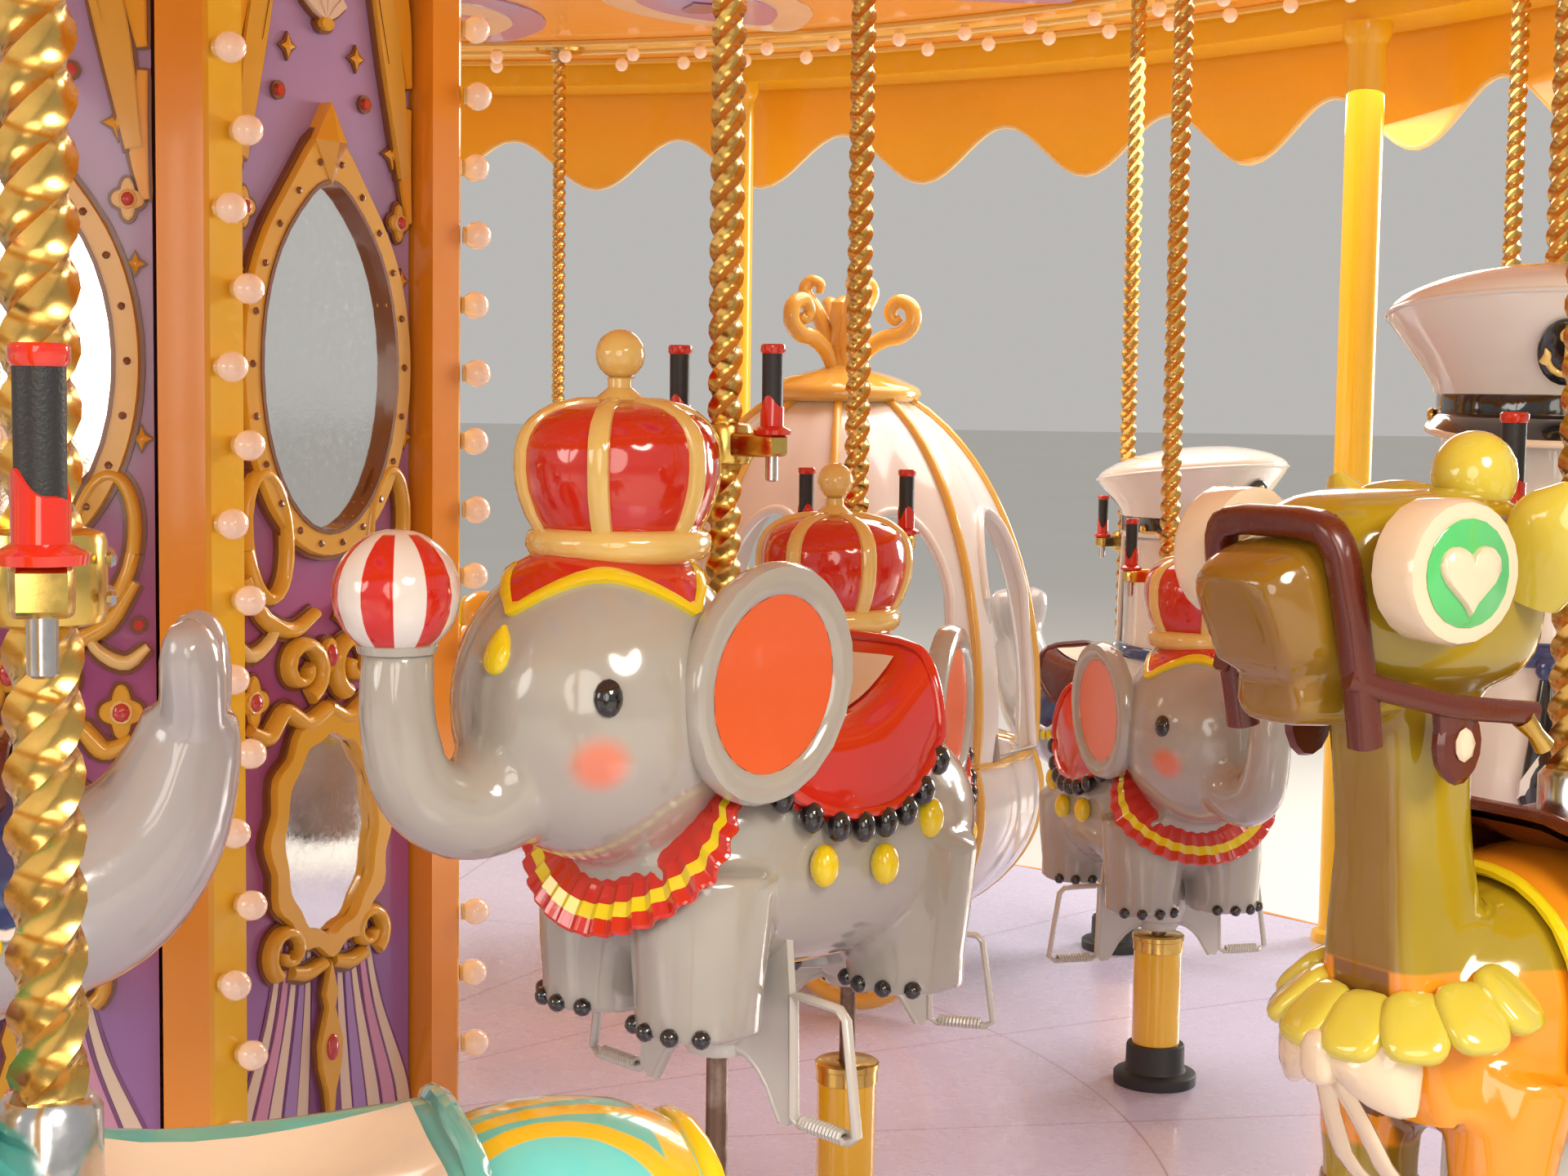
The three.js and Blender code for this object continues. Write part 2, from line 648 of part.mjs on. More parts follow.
// Riding figures
function stirrups() {
  const mirrored = ([y, z]) => [-y, z];
  const outline = [...STIRRUP_EDGE, ...STIRRUP_EDGE.map(mirrored).reverse()];
  const windows = [STIRRUP_WINDOW, STIRRUP_WINDOW.map(mirrored)];
  return join(block(...STIRRUP_BRACKET), plateAcross(outline, STIRRUP_THICKNESS, windows));
}

function poleHole() {
  return post(0, 0, -OVERLAP, POLE_TOP, POLE_RADIUS + GAP, POLE_SIDES);
}

// Four tapering legs that draw in slightly towards the body
function legs({ spots, top, bottom, radius }) {
  return spots.flatMap(([x, y]) =>
    SIDES.map((side) => {
      const foot = [x, side * y, bottom];
      const hip = [x * 0.96, side * y * 0.9, top];
      return rod(foot, hip, radius * 1.12, radius, 4);
    }),
  );
}

function elephant() {
  const { ear } = ELEPHANT;
  const ears = SIDES.map((side) => {
    const [x, y, z] = ear.middle;
    const [halfWidth, thickness, halfHeight] = ear.size;
    const flap = new THREE.CylinderGeometry(1, 1, thickness, 8).scale(halfWidth, 1, halfHeight);
    flap.rotateY(radians(ear.lean)).rotateZ(side * radians(ear.splay)).translate(x, side * y, z);
    return solid(flap);
  });
  const whole = join(
    ellipsoid(ELEPHANT.body),
    ellipsoid(ELEPHANT.head),
    limb(ELEPHANT.trunk, 6),
    ellipsoid(ELEPHANT.ball, 6),
    ears,
    turned(ELEPHANT.crown, 6).translate(ELEPHANT.crownAt, 0, 0),
    legs(ELEPHANT.legs),
    crossbar(ELEPHANT.saddle, 5),
    stirrups(),
  );
  return cut(whole, poleHole());
}

function quadruped({ neck, head, snout, saddleTop }) {
  const { saddleAt, saddleSize, muzzleBack, muzzleFront } = QUADRUPED;
  const [[hx, , hz]] = head;
  const [back, down, backRadius] = muzzleBack;
  return join(
    ellipsoid(QUADRUPED.body),
    legs(QUADRUPED.legs),
    block([saddleAt, 0, saddleTop - saddleSize[2] / 2], saddleSize),
    limb(neck, 6),
    ellipsoid(head, 6),
    rod([hx + back, 0, hz + down], snout, backRadius, muzzleFront, 6),
    SIDES.map((side) => taper(QUADRUPED.ear, 4, [hx, hz], side)),
    taper(QUADRUPED.tail, 4),
    stirrups(),
  );
}

function camel() {
  const collar = turned(CAMEL.collar, 8).translate(CAMEL.collarAt, 0, 0);
  const whole = join(quadruped(CAMEL), crossbar(CAMEL.blinker, 6), ellipsoid(CAMEL.tuft, 5), collar);
  return cut(whole, poleHole());
}

function pony() {
  return cut(join(quadruped(PONY), taper(PONY.mane, 4)), poleHole());
}

function seal() {
  const whole = join(
    ellipsoid(SEAL.body),
    taper(SEAL.chest, 8),
    limb(SEAL.tail, 6),
    crossbar(SEAL.flukes, 4),
    crossbar(SEAL.flippers, 4),
    turned(SEAL.cap, 8).translate(SEAL.capAt, 0, 0),
    ellipsoid(SEAL.visor.at, 6, radians(SEAL.visor.pitch)),
    block(...SEAL.saddle),
    stirrups(),
  );
  return cut(whole, poleHole());
}

const FIGURES = {
  elephant: [elephant(), GREY],
  camel: [camel(), OLIVE],
  pony: [pony(), TURQUOISE],
  seal: [seal(), CREAM],
};

// Pole with its lower rod, clamp and two hand grips
function pole() {
  const [gripBottom, gripTop] = GRIP_Z;
  const shaft = post(0, 0, POLE_FOOT, POLE_TOP, POLE_RADIUS, POLE_SIDES);
  const lower = post(0, 0, LOWER_ROD_END, POLE_FOOT + OVERLAP, LOWER_ROD_RADIUS, ROD_SIDES);
  const clamp = block([0, 0, CLAMP_Z], CLAMP_SIZE);
  const grips = SIDES.map((side) =>
    post(0, side * GRIP_SPREAD, gripBottom - GRIP_TAIL, gripTop, GRIP_RADIUS, 4),
  );
  return join(shaft, lower, clamp, grips);
}

function mounts() {
  const poleShape = pole();
  return MOUNTS.map(({ name, kind, radius, bearing, turn, lift }) => {
    const group = station(radius, bearing, DECK_TOP + lift, turn);
    const [shape, colour] = FIGURES[kind];
    const seated = cut(shape, poleShape.trimByPlane([0, 0, -1], -SEAT_CUT_TOP));
    group.add(meshOf(name, seated, colour, 0.25));
    group.add(meshOf(`${name}_pole`, poleShape, BRASS, 0.3, 0.8));
    return group;
  });
}

function carriage() {
  const group = station(CARRIAGE.radius, CARRIAGE.bearing, DECK_TOP, CARRIAGE.turn);
  group.add(carriageBody(), carriageCanopy());
  return group;
}

const carousel = new THREE.Group();
carousel.name = "carousel";
carousel.add(basePlate(), centreMast(), deckFrame(), deck(), deckSkirt());
carousel.add(drumFrame(), ...drumPanels());
carousel.add(ceiling(), postFrame(), valance(), roundingBoards(), roof(), roofCrown());
carousel.add(carriage(), ...mounts());

export default carousel;
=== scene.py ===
"""Fairground carousel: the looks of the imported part, built around its fixed frame. Metres, +Z up."""

from math import atan2, copysign, cos, degrees, floor, pi, radians, sin, sqrt

import bpy
import numpy as np
from mathutils import Matrix, Vector
from mathutils.bvhtree import BVHTree


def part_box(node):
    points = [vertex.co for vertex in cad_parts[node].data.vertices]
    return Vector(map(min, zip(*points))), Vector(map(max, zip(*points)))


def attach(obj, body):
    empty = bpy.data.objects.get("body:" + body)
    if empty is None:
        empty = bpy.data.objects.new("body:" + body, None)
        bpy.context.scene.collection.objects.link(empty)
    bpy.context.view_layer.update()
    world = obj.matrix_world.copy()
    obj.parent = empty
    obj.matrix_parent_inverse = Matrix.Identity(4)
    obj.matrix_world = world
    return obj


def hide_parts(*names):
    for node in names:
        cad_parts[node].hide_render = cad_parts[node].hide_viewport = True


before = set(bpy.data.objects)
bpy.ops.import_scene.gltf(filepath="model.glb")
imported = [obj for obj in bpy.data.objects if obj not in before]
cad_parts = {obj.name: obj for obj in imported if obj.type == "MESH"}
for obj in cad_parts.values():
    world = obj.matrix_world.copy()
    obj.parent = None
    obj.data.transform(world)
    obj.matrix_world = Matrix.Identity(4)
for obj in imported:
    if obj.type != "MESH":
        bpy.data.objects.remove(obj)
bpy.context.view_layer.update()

TAU = 2 * pi

# Sizes shared with the frame, in metres
DECK_TOP = 0.3
CEILING_UNDERSIDE = 3.25
VALANCE_OUTSIDE = 4.29
POST_RING = 4.04
POST_COUNT = 10
POST_PITCH = 360 / POST_COUNT
FIRST_POST_BEARING = 20.2
DRUM_CORNER = 0.88
DRUM_SIDES = 8
FIRST_CORNER_BEARING = 143.9
CARRIAGE_RADIUS, CARRIAGE_BEARING, CARRIAGE_TURN = 2.63, 41.9, 15.0
TURNED_MOUNTS = {"camel_1": -18.0}
GUIDE_HEIGHT = 0.37
MOUNT_COUNTS = {"elephant": 4, "camel": 3, "pony": 3, "seal": 4}
MOUNT_NAMES = [f"{kind}_{k + 1}" for kind, count in MOUNT_COUNTS.items() for k in range(count)]


def pole_foot(name):
    """The middle of a mount's pole, and the height of its foot."""
    low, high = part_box(name + "_pole")
    return (low.x + high.x) / 2, (low.y + high.y) / 2, low.z


# Arithmetic on node sockets, the same in materials and in geometry trees
class Wire:
    """A number or a vector in a node tree, which can be worked with in ordinary arithmetic."""

    def __init__(self, tree, socket):
        self.tree = tree
        self.socket = socket

    def feed(self, target, value):
        if isinstance(value, Wire):
            self.tree.links.new(value.socket, target)
        else:
            target.default_value = value

    def math(self, operation, *values):
        node = self.tree.nodes.new("ShaderNodeMath")
        node.operation = operation
        for target, value in zip(node.inputs, (self, *values)):
            self.feed(target, value)
        return Wire(self.tree, node.outputs[0])

    def __add__(self, other):
        return self.math("ADD", other)

    def __sub__(self, other):
        return self.math("SUBTRACT", other)

    def __mul__(self, other):
        return self.math("MULTIPLY", other)

    def __truediv__(self, other):
        return self.math("DIVIDE", other)

    def under(self, limit):
        return self.math("LESS_THAN", limit)

    def over(self, limit):
        return self.math("GREATER_THAN", limit)

    def size(self):
        return self.math("ABSOLUTE")

    def square(self):
        return self.math("MULTIPLY", self)

    def fade(self, low, high):
        """1 below low and 0 above high, with a smooth change between."""
        node = self.tree.nodes.new("ShaderNodeMapRange")
        node.interpolation_type = "SMOOTHSTEP"
        for target, value in zip(node.inputs, (self, low, high, 1.0, 0.0)):
            self.feed(target, value)
        return Wire(self.tree, node.outputs[0])

    def rest(self):
        """What is left of 1."""
        return self * -1.0 + 1.0

    def parts(self):
        node = self.tree.nodes.new("ShaderNodeSeparateXYZ")
        self.tree.links.new(self.socket, node.inputs[0])
        return [Wire(self.tree, output) for output in node.outputs]

    def far_from(self, centre, radii=(1, 1, 1)):
        """Distance from a point, counted in radii along each axis."""
        x, y, z = self.parts()
        total = ((x - centre[0]) / radii[0]).square()
        total = total + ((y - centre[1]) / radii[1]).square()
        total = total + ((z - centre[2]) / radii[2]).square()
        return total.math("SQRT")


def colour(red, green, blue):
    return (red, green, blue, 1.0)


def painted_over(tree, under, over, mask):
    """One colour over another where the mask is 1."""
    node = tree.nodes.new("ShaderNodeMix")
    node.data_type = "RGBA"
    for name, value in (("A_Color", under), ("B_Color", over), ("Factor_Float", mask)):
        target = next(s for s in node.inputs if s.identifier == name)
        if isinstance(value, Wire):
            tree.links.new(value.socket, target)
        else:
            target.default_value = value
    return Wire(tree, next(s for s in node.outputs if s.identifier == "Result_Color"))


def object_place(tree):
    return Wire(tree, tree.nodes.new("ShaderNodeTexCoord").outputs["Object"])


def speckle(tree, place, scale, detail=3.0, roughness=0.5):
    node = tree.nodes.new("ShaderNodeTexNoise")
    node.inputs["Scale"].default_value = scale
    node.inputs["Detail"].default_value = detail
    node.inputs["Roughness"].default_value = roughness
    tree.links.new(place.socket, node.inputs["Vector"])
    return Wire(tree, node.outputs[0])


# The kind of socket that a value goes into
SOCKET_KINDS = {
    float: "NodeSocketFloat", int: "NodeSocketInt", bool: "NodeSocketBool", tuple: "NodeSocketColor",
    type(None): "NodeSocketMaterial",
}


def add_inputs(tree, inputs):
    for label, value in inputs.items():
        socket = tree.interface.new_socket(name=label, in_out="INPUT",
            socket_type=SOCKET_KINDS[type(value)])
        if value is not None:
            socket.default_value = value


# Surface groups shared by the materials
def new_group(name, inputs):
    group = bpy.data.node_groups.new(name, "ShaderNodeTree")
    add_inputs(group, inputs)
    ins = group.nodes.new("NodeGroupInput")
    return group, {label: Wire(group, ins.outputs[label]) for label in inputs}


def finish_group(group, paint, gloss, normal):
    """Puts out a surface's colour, roughness and normal."""
    outs = group.nodes.new("NodeGroupOutput")
    results = (("Colour", "Color", paint), ("Roughness", "Float", gloss), ("Normal", "Vector", normal))
    for label, kind, _ in results:
        group.interface.new_socket(name=label, in_out="OUTPUT", socket_type="NodeSocket" + kind)
    for label, _, wire in results:
        group.links.new(wire.socket, outs.inputs[label])
    return group


def bumped(tree, height, strength, depth):
    node = tree.nodes.new("ShaderNodeBump")
    height.feed(node.inputs["Height"], height)
    height.feed(node.inputs["Strength"], strength)
    height.feed(node.inputs["Distance"], depth)
    return Wire(tree, node.outputs[0])


def build_coat_group():
    """Sprayed paint or moulded gelcoat: faint cloudiness, dust in the gloss and a soft orange-peel skin."""
    inputs = {
        "Colour": colour(0.8, 0.8, 0.8), "Cloudiness": 0.06, "Cloud scale": 4.0, "Gloss": 0.16,
        "Gloss change": 0.14, "Peel": 0.12, "Peel scale": 90.0,
    }
    group, wires = new_group("sprayed_coat", inputs)
    place = object_place(group)
    clouds = speckle(group, place, 1.0, 5.0)
    wires["Cloud scale"].feed(clouds.socket.node.inputs["Scale"], wires["Cloud scale"])
    shade = (clouds - 0.5) * wires["Cloudiness"] * 2.0 + 1.0
    brightness = group.nodes.new("ShaderNodeHueSaturation")
    shade.feed(brightness.inputs["Value"], shade)
    shade.feed(brightness.inputs["Color"], wires["Colour"])
    dust = speckle(group, place, 14.0, 6.0, 0.65)
    gloss = (dust - 0.42) * wires["Gloss change"] + wires["Gloss"]
    gloss = gloss.math("MAXIMUM", 0.04)
    peel = speckle(group, place, 1.0, 2.0)
    wires["Peel scale"].feed(peel.socket.node.inputs["Scale"], wires["Peel scale"])
    normal = bumped(group, peel, wires["Peel"], 0.0012)
    return finish_group(group, Wire(group, brightness.outputs[0]), gloss, normal)


def build_metal_group():
    """Polished metal: handling marks in the gloss, a faint tarnish and fine scratches."""
    inputs = {
        "Colour": colour(0.8, 0.6, 0.2), "Tarnish colour": colour(0.35, 0.2, 0.06), "Tarnish": 0.35,
        "Gloss": 0.18,
    }
    group, wires = new_group("handled_metal", inputs)
    place = object_place(group)
    patches = speckle(group, place, 16.0, 6.0, 0.6)
    mask = patches.fade(0.42, 0.66) * wires["Tarnish"]
    stained = painted_over(group, wires["Colour"], wires["Tarnish colour"], mask)
    marks = speckle(group, place, 60.0, 4.0, 0.7)
    gloss = (marks - 0.4) * 0.3 + wires["Gloss"] + mask * 0.2
    gloss = gloss.math("MAXIMUM", 0.05)
    normal = bumped(group, marks, 0.15, 0.0006)
    return finish_group(group, stained, gloss, normal)


COAT = build_coat_group()
METAL = build_metal_group()
FINISHES = {}


def new_material(name, group, settings, shader):
    """A material whose Principled shader reads the group's colour, roughness and normal."""
    material = bpy.data.materials.new(name)
    material.use_nodes = True
    tree = material.node_tree
    principled = tree.nodes["Principled BSDF"]
    node = tree.nodes.new("ShaderNodeGroup")
    node.node_tree = group
    for label, value in settings.items():
        if isinstance(value, Wire):
            tree.links.new(value.socket, node.inputs[label])
        else:
            node.inputs[label].default_value = value
    tree.links.new(node.outputs["Colour"], principled.inputs["Base Color"])
    tree.links.new(node.outputs["Roughness"], principled.inputs["Roughness"])
    tree.links.new(node.outputs["Normal"], principled.inputs["Normal"])
    for label, value in shader.items():
        principled.inputs[label].default_value = value
    FINISHES[name] = material
    return material, tree, node


def coat(name, paint, gloss=0.16, cloudiness=0.06, cloud_scale=4.0, peel=0.12, peel_scale=90.0, clear=0.5,
        **shader):
    settings = {
        "Colour": colour(*paint), "Gloss": gloss, "Cloudiness": cloudiness,
        "Cloud scale": cloud_scale, "Peel": peel, "Peel scale": peel_scale,
    }
    shader = {"Coat Weight": clear, "Coat Roughness": 0.06, **shader}
    return new_material(name, COAT, settings, shader)


def metal(name, paint, tarnish_paint, tarnish=0.35, gloss=0.18):
    settings = {"Colour": colour(*paint), "Tarnish colour": colour(*tarnish_paint), "Tarnish": tarnish,
        "Gloss": gloss}
    return new_material(name, METAL, settings, {"Metallic": 1.0})


def carved_place(tree):
    """Where a point lies on the figure itself, kept in the mesh, so that paint travels with the figure."""
    node = tree.nodes.new("ShaderNodeAttribute")
    node.attribute_name = "carved"
    return Wire(tree, node.outputs["Vector"])


def repaint(tree, node, layers):
    """Puts layers of (colour, mask) over a coat's own colour."""
    shade = tuple(node.inputs["Colour"].default_value)
    for paint, mask in layers:
        shade = painted_over(tree, shade, colour(*paint), mask)
    tree.links.new(shade.socket, node.inputs["Colour"])


# Plain paints
GOLD_YELLOW = (0.83, 0.47, 0.05)
ORANGE = (0.9, 0.33, 0.02)
coat("orange_paint", ORANGE)
coat("amber_paint", (0.93, 0.47, 0.03))
coat("post_yellow_paint", (0.95, 0.55, 0.02), gloss=0.2)
coat("gold_relief_paint", GOLD_YELLOW, gloss=0.2, cloudiness=0.12)
coat("pale_gold_paint", (0.9, 0.66, 0.24), gloss=0.2)
coat("umber_outline_paint", (0.23, 0.08, 0.02), gloss=0.3)
coat("lilac_paint", (0.42, 0.27, 0.6))
coat("plum_paint", (0.22, 0.07, 0.24))
coat("pink_paint", (0.7, 0.34, 0.52))
coat("cream_paint", (0.86, 0.72, 0.56))
coat("red_gloss", (0.66, 0.025, 0.01), gloss=0.1, clear=0.9)
coat("scarlet_panel", (0.7, 0.05, 0.012), gloss=0.1, clear=0.9)
coat("yellow_gloss", (0.93, 0.7, 0.01), gloss=0.12, clear=0.8)
coat("crown_gold_gloss", (0.86, 0.6, 0.18), gloss=0.14, clear=0.8, cloudiness=0.1)
coat("black_gloss", (0.012, 0.012, 0.014), gloss=0.08, clear=1.0)
coat("grip_rubber", (0.02, 0.02, 0.022), gloss=0.45, clear=0.0, peel=0.5, peel_scale=400.0)
coat("foot_rubber", (0.025, 0.025, 0.028), gloss=0.5, clear=0.0, peel=0.4, peel_scale=250.0)
coat("gem_red", (0.62, 0.05, 0.05), gloss=0.05, clear=1.0)
coat("bracket_enamel", (0.6, 0.58, 0.53), gloss=0.22)
coat("white_shell", (0.88, 0.87, 0.85), gloss=0.14, clear=0.8)
coat("oxblood_gloss", (0.115, 0.016, 0.007), gloss=0.26, clear=0.4)
coat("petal_yellow", (0.72, 0.6, 0.07), gloss=0.14, clear=0.8)
coat("ear_orange", (0.85, 0.14, 0.04), gloss=0.22, clear=0.4)
coat("bulb_glass", (0.92, 0.74, 0.62), gloss=0.06, clear=1.0, peel=0.9, peel_scale=70.0,
     **{"Emission Color": colour(1.0, 0.62, 0.34), "Emission Strength": 0.35})
metal("twisted_brass", (0.78, 0.5, 0.14), (0.3, 0.15, 0.03), 0.3, 0.16)
metal("clamp_brass", (0.83, 0.58, 0.16), (0.4, 0.22, 0.05), 0.3, 0.14)
metal("rod_steel", (0.35, 0.27, 0.22), (0.14, 0.07, 0.04), 0.7, 0.32)
metal("bright_steel", (0.72, 0.72, 0.74), (0.35, 0.33, 0.31), 0.3, 0.14)
metal("mirror_silver", (0.93, 0.93, 0.92), (0.75, 0.74, 0.7), 0.12, 0.03)


# Forms: points, faces and the name of a finish. A piece is a pile of forms in one mesh.
def ring(count, start=0.0):
    """Even angles all the way round."""
    return start + np.linspace(0, TAU, count, endpoint=False)


def as_form(points, faces, finish):
    return (np.asarray(points, float).reshape(-1, 3), [tuple(f) for f in faces], finish)


def placed(form, matrix):
    points, faces, finish = form
    turn = np.array(matrix, float)
    moved = points @ turn[:3, :3].T + turn[:3, 3]
    if np.linalg.det(turn[:3, :3]) < 0:
        faces = [face[::-1] for face in faces]
    return (moved, faces, finish)


def spin(degrees, axis="Z"):
    return Matrix.Rotation(radians(degrees), 4, axis)


def shifted(form, x=0.0, y=0.0, z=0.0):
    return placed(form, Matrix.Translation((x, y, z)))


def on_side(forms, side):
    """The forms as they are, or their mirror images across the figure's middle where side is -1."""
    return forms if side > 0 else [placed(form, Matrix.Diagonal((1, -1, 1, 1))) for form in forms]


def grid_form(grid, finish, round_across=False, round_along=False, caps=False):
    """A skin over a grid of points, rows by columns, whose faces point along columns cross rows."""
    grid = np.asarray(grid, float)
    rows, columns = grid.shape[:2]
    faces = []
    last_row = rows if round_along else rows - 1
    last_column = columns if round_across else columns - 1
    for i in range(last_row):
        for j in range(last_column):
            a, b = i * columns + j, i * columns + (j + 1) % columns
            c, d = ((i + 1) % rows) * columns + (j + 1) % columns, ((i + 1) % rows) * columns + j
            faces.append((a, b, c, d))
    if caps:
        faces.append(tuple(range(columns))[::-1])
        faces.append(tuple(range((rows - 1) * columns, rows * columns)))
    return as_form(grid, faces, finish)


def smooth_path(stops, steps):
    """Points on a smooth curve through the stops; further columns such as a radius are carried along."""
    stops = np.asarray(stops, float)
    padded = np.vstack([2 * stops[0] - stops[1], stops, 2 * stops[-1] - stops[-2]])
    out = []
    for i in range(len(stops) - 1):
        a, b, c, d = padded[i:i + 4]
        for t in np.linspace(0, 1, steps, endpoint=False):
            out.append(0.5 * (2 * b + (c - a) * t + (2 * a - 5 * b + 4 * c - d) * t ** 2
                + (3 * b - a - 3 * c + d) * t ** 3))
    out.append(stops[-1])
    return np.array(out)


def rounded(value, box):
    """A cosine or sine drawn out towards a square where box is over 2."""
    return np.sign(value) * np.abs(value) ** (2.0 / box)


def limb(stops, finish, sides=16, steps=5, across=1.0, closed=False, straight=False, hint=(0, 1, 0),
        box=2.0):
    """A bar through stops of x, y, z and radius, widened by across and squared by a box over 2."""
    path = np.asarray(stops, float) if straight else smooth_path(stops, steps)
    centres = path[:, :3]
    if closed:
        along = np.roll(centres, -1, 0) - np.roll(centres, 1, 0)
    else:
        along = np.gradient(centres, axis=0)
    along /= np.linalg.norm(along, axis=1)[:, None]
    side = np.array(hint, float)
    rows = []
    for centre, direction, radius in zip(centres, along, path[:, 3]):
        side = side - direction * (side @ direction)
        side /= np.linalg.norm(side)
        up = np.cross(direction, side)
        angle = ring(sides)
        wide, tall = rounded(np.cos(angle), box), rounded(np.sin(angle), box)
        rows.append(centre + radius * (across * np.outer(wide, side) + np.outer(tall, up)))
    return grid_form(rows, finish, round_across=True, round_along=closed, caps=not closed)


def hoop_bar(stops, finish, sides, hint=(0, 0, 1), **shape):
    """A closed bar through stops that lie close together."""
    return limb(stops, finish, sides, straight=True, closed=True, hint=hint, **shape)


def ball(centre, radii, finish, sides=24, rings=14, box=2.0):
    """An ellipsoid, boxier where box is over 2."""
    rows = []
    for pitch in np.linspace(-pi / 2 + 0.02, pi / 2 - 0.02, rings):
        angle = ring(sides)
        level, height = rounded(np.cos(pitch), box), rounded(np.sin(pitch), box)
        across, along = rounded(np.cos(angle), box), rounded(np.sin(angle), box)
        row = np.stack([level * across, level * along, np.full(sides, height)], 1)
        rows.append(row * np.array(radii))
    form = grid_form(rows, finish, round_across=True, caps=True)
    return placed(form, Matrix.Translation(centre))


def turned(profile, finish, sides=32, wobble=None):
    """A body turned about Z from radius and height points, from the foot outwards and up."""
    angle = ring(sides)
    rows = []
    for radius, height in profile:
        reach = radius * (wobble(angle, height) if wobble else 1.0)
        rows.append(np.stack([reach * np.cos(angle), reach * np.sin(angle), np.full(sides, height)], 1))
    return grid_form(rows, finish, round_across=True, caps=True)


def plate(outline, low, high, finish, slope=0.0):
    """A flat plate from an outline of y and z points, anticlockwise seen from +X, between two x values."""
    outline = np.asarray(outline, float)
    count = len(outline)
    middle = outline.mean(0)
    top = outline + (middle - outline) * slope
    back = np.column_stack([np.full(count, low), outline])
    front = np.column_stack([np.full(count, high), top])
    sides = [(k, (k + 1) % count, count + (k + 1) % count, count + k) for k in range(count)]
    around = tuple(range(count))
    return [
        as_form(np.vstack([back, front]), sides, finish), as_form(front, [around], finish),
        as_form(back, [around[::-1]], finish),
    ]


def band(inner, outer, low, high, finish):
    """A flat frame between two outlines of the same count of y and z points."""
    inner, outer = np.asarray(inner, float), np.asarray(outer, float)

    def level(points, x):
        return np.column_stack([np.full(len(points), x), points])

    soft = (high - low) * 0.3
    trimmed = outer + (inner - outer) * 0.08
    opened = inner + (outer - inner) * 0.08
    rows = [level(outer, low), level(outer, high - soft), level(trimmed, high), level(opened, high),
        level(inner, high - soft), level(inner, low)]
    return [grid_form(np.array(part), finish, round_across=True)
        for part in (rows[:3], rows[3:], rows[2:4])]


def mesh_of(name, forms):
    """One mesh from a pile of forms, with a material for each finish in it."""
    mesh = bpy.data.meshes.new(name)
    points = np.vstack([form[0] for form in forms])
    names = list(dict.fromkeys(form[2] for form in forms))
    faces, finish_index, start = [], [], 0
    for form_points, form_faces, finish in forms:
        faces += [tuple(k + start for k in face) for face in form_faces]
        finish_index += [names.index(finish)] * len(form_faces)
        start += len(form_points)
    mesh.from_pydata(points.tolist(), [], faces)
    for name_of_finish in names:
        mesh.materials.append(FINISHES[name_of_finish])
    mesh.polygons.foreach_set("material_index", finish_index)
    mesh.polygons.foreach_set("use_smooth", [True] * len(faces))
    mesh.update()
    return mesh


def keep_carved_place(mesh):
    attribute = mesh.attributes.new("carved", "FLOAT_VECTOR", "POINT")
    values = np.zeros(len(mesh.vertices) * 3, np.float32)
    mesh.vertices.foreach_get("co", values)
    attribute.data.foreach_set("vector", values)


def put(name, forms_or_mesh, matrix=None, crease=38.0):
    """An object at the origin whose mesh holds the piece in its place."""
    mesh = forms_or_mesh if isinstance(forms_or_mesh, bpy.types.Mesh) else mesh_of(name, forms_or_mesh)
    if matrix is not None:
        keep_carved_place(mesh)
        mesh.transform(matrix)
    mesh.set_sharp_from_angle(angle=radians(crease))
    piece = bpy.data.objects.new(name, mesh)
    bpy.context.scene.collection.objects.link(piece)
    return piece


def settled(piece):
    """Turns a piece's modifiers into a plain mesh and takes them off."""
    bpy.context.view_layer.update()
    mesh = bpy.data.meshes.new_from_object(piece.evaluated_get(bpy.context.evaluated_depsgraph_get()))
    piece.modifiers.clear()
    piece.data = mesh
    return piece


# The share of the faces that the closest meshes keep
FIGURE_SHARE, PANEL_SHARE, CORNICE_SHARE, LIGHTS_SHARE = 0.34, 0.3, 0.42, 0.6


def thinned(name, forms, share):
    """One mesh from a pile of forms, with this share of its faces kept where the surface bends most."""
    piece = put(name, forms)
    trim = piece.modifiers.new("trim", "DECIMATE")
    trim.ratio = share
    mesh = settled(piece).data
    bpy.data.objects.remove(piece)
    return mesh


def fused(forms, finish, grain=0.012, passes=6):
    """Melts overlapping forms into one smooth skin, as a carved and filled shell is."""
    piece = put("clay", [(points, faces, finish) for points, faces, _ in forms])
    remesh = piece.modifiers.new("remesh", "REMESH")
    remesh.mode = "VOXEL"
    remesh.voxel_size = grain
    soften = piece.modifiers.new("soften", "SMOOTH")
    soften.factor = 0.5
    soften.iterations = passes
    form = form_of(settled(piece).data, finish)
    bpy.data.objects.remove(piece)
    return form


class Skin:
    """A form's surface, which other pieces are laid on."""

    def __init__(self, form):
        points, faces, _ = form
        self.tree = BVHTree.FromPolygons(points.tolist(), faces)

    def hit(self, start, towards, lift=0.0):
        """The point met on the way from start to another point, lifted off the surface, and its normal."""
        direction = Vector(towards) - Vector(start)
        place, normal, _, _ = self.tree.ray_cast(Vector(start), direction.normalized())
        if place is None:
            place, normal, _, _ = self.tree.find_nearest(Vector(towards))
        return np.array(place + normal * lift), np.array(normal)


def spot(radius, bearing, height=0.0):
    angle = radians(bearing)
    return Vector((radius * sin(angle), radius * cos(angle), height))


def station(radius, bearing, height=0.0, turn=0.0):
    """Where a piece stands on the ride: its +X along the direction of travel and its +Y outwards."""
    return Matrix.Translation(spot(radius, bearing, height)) @ spin(turn - bearing)


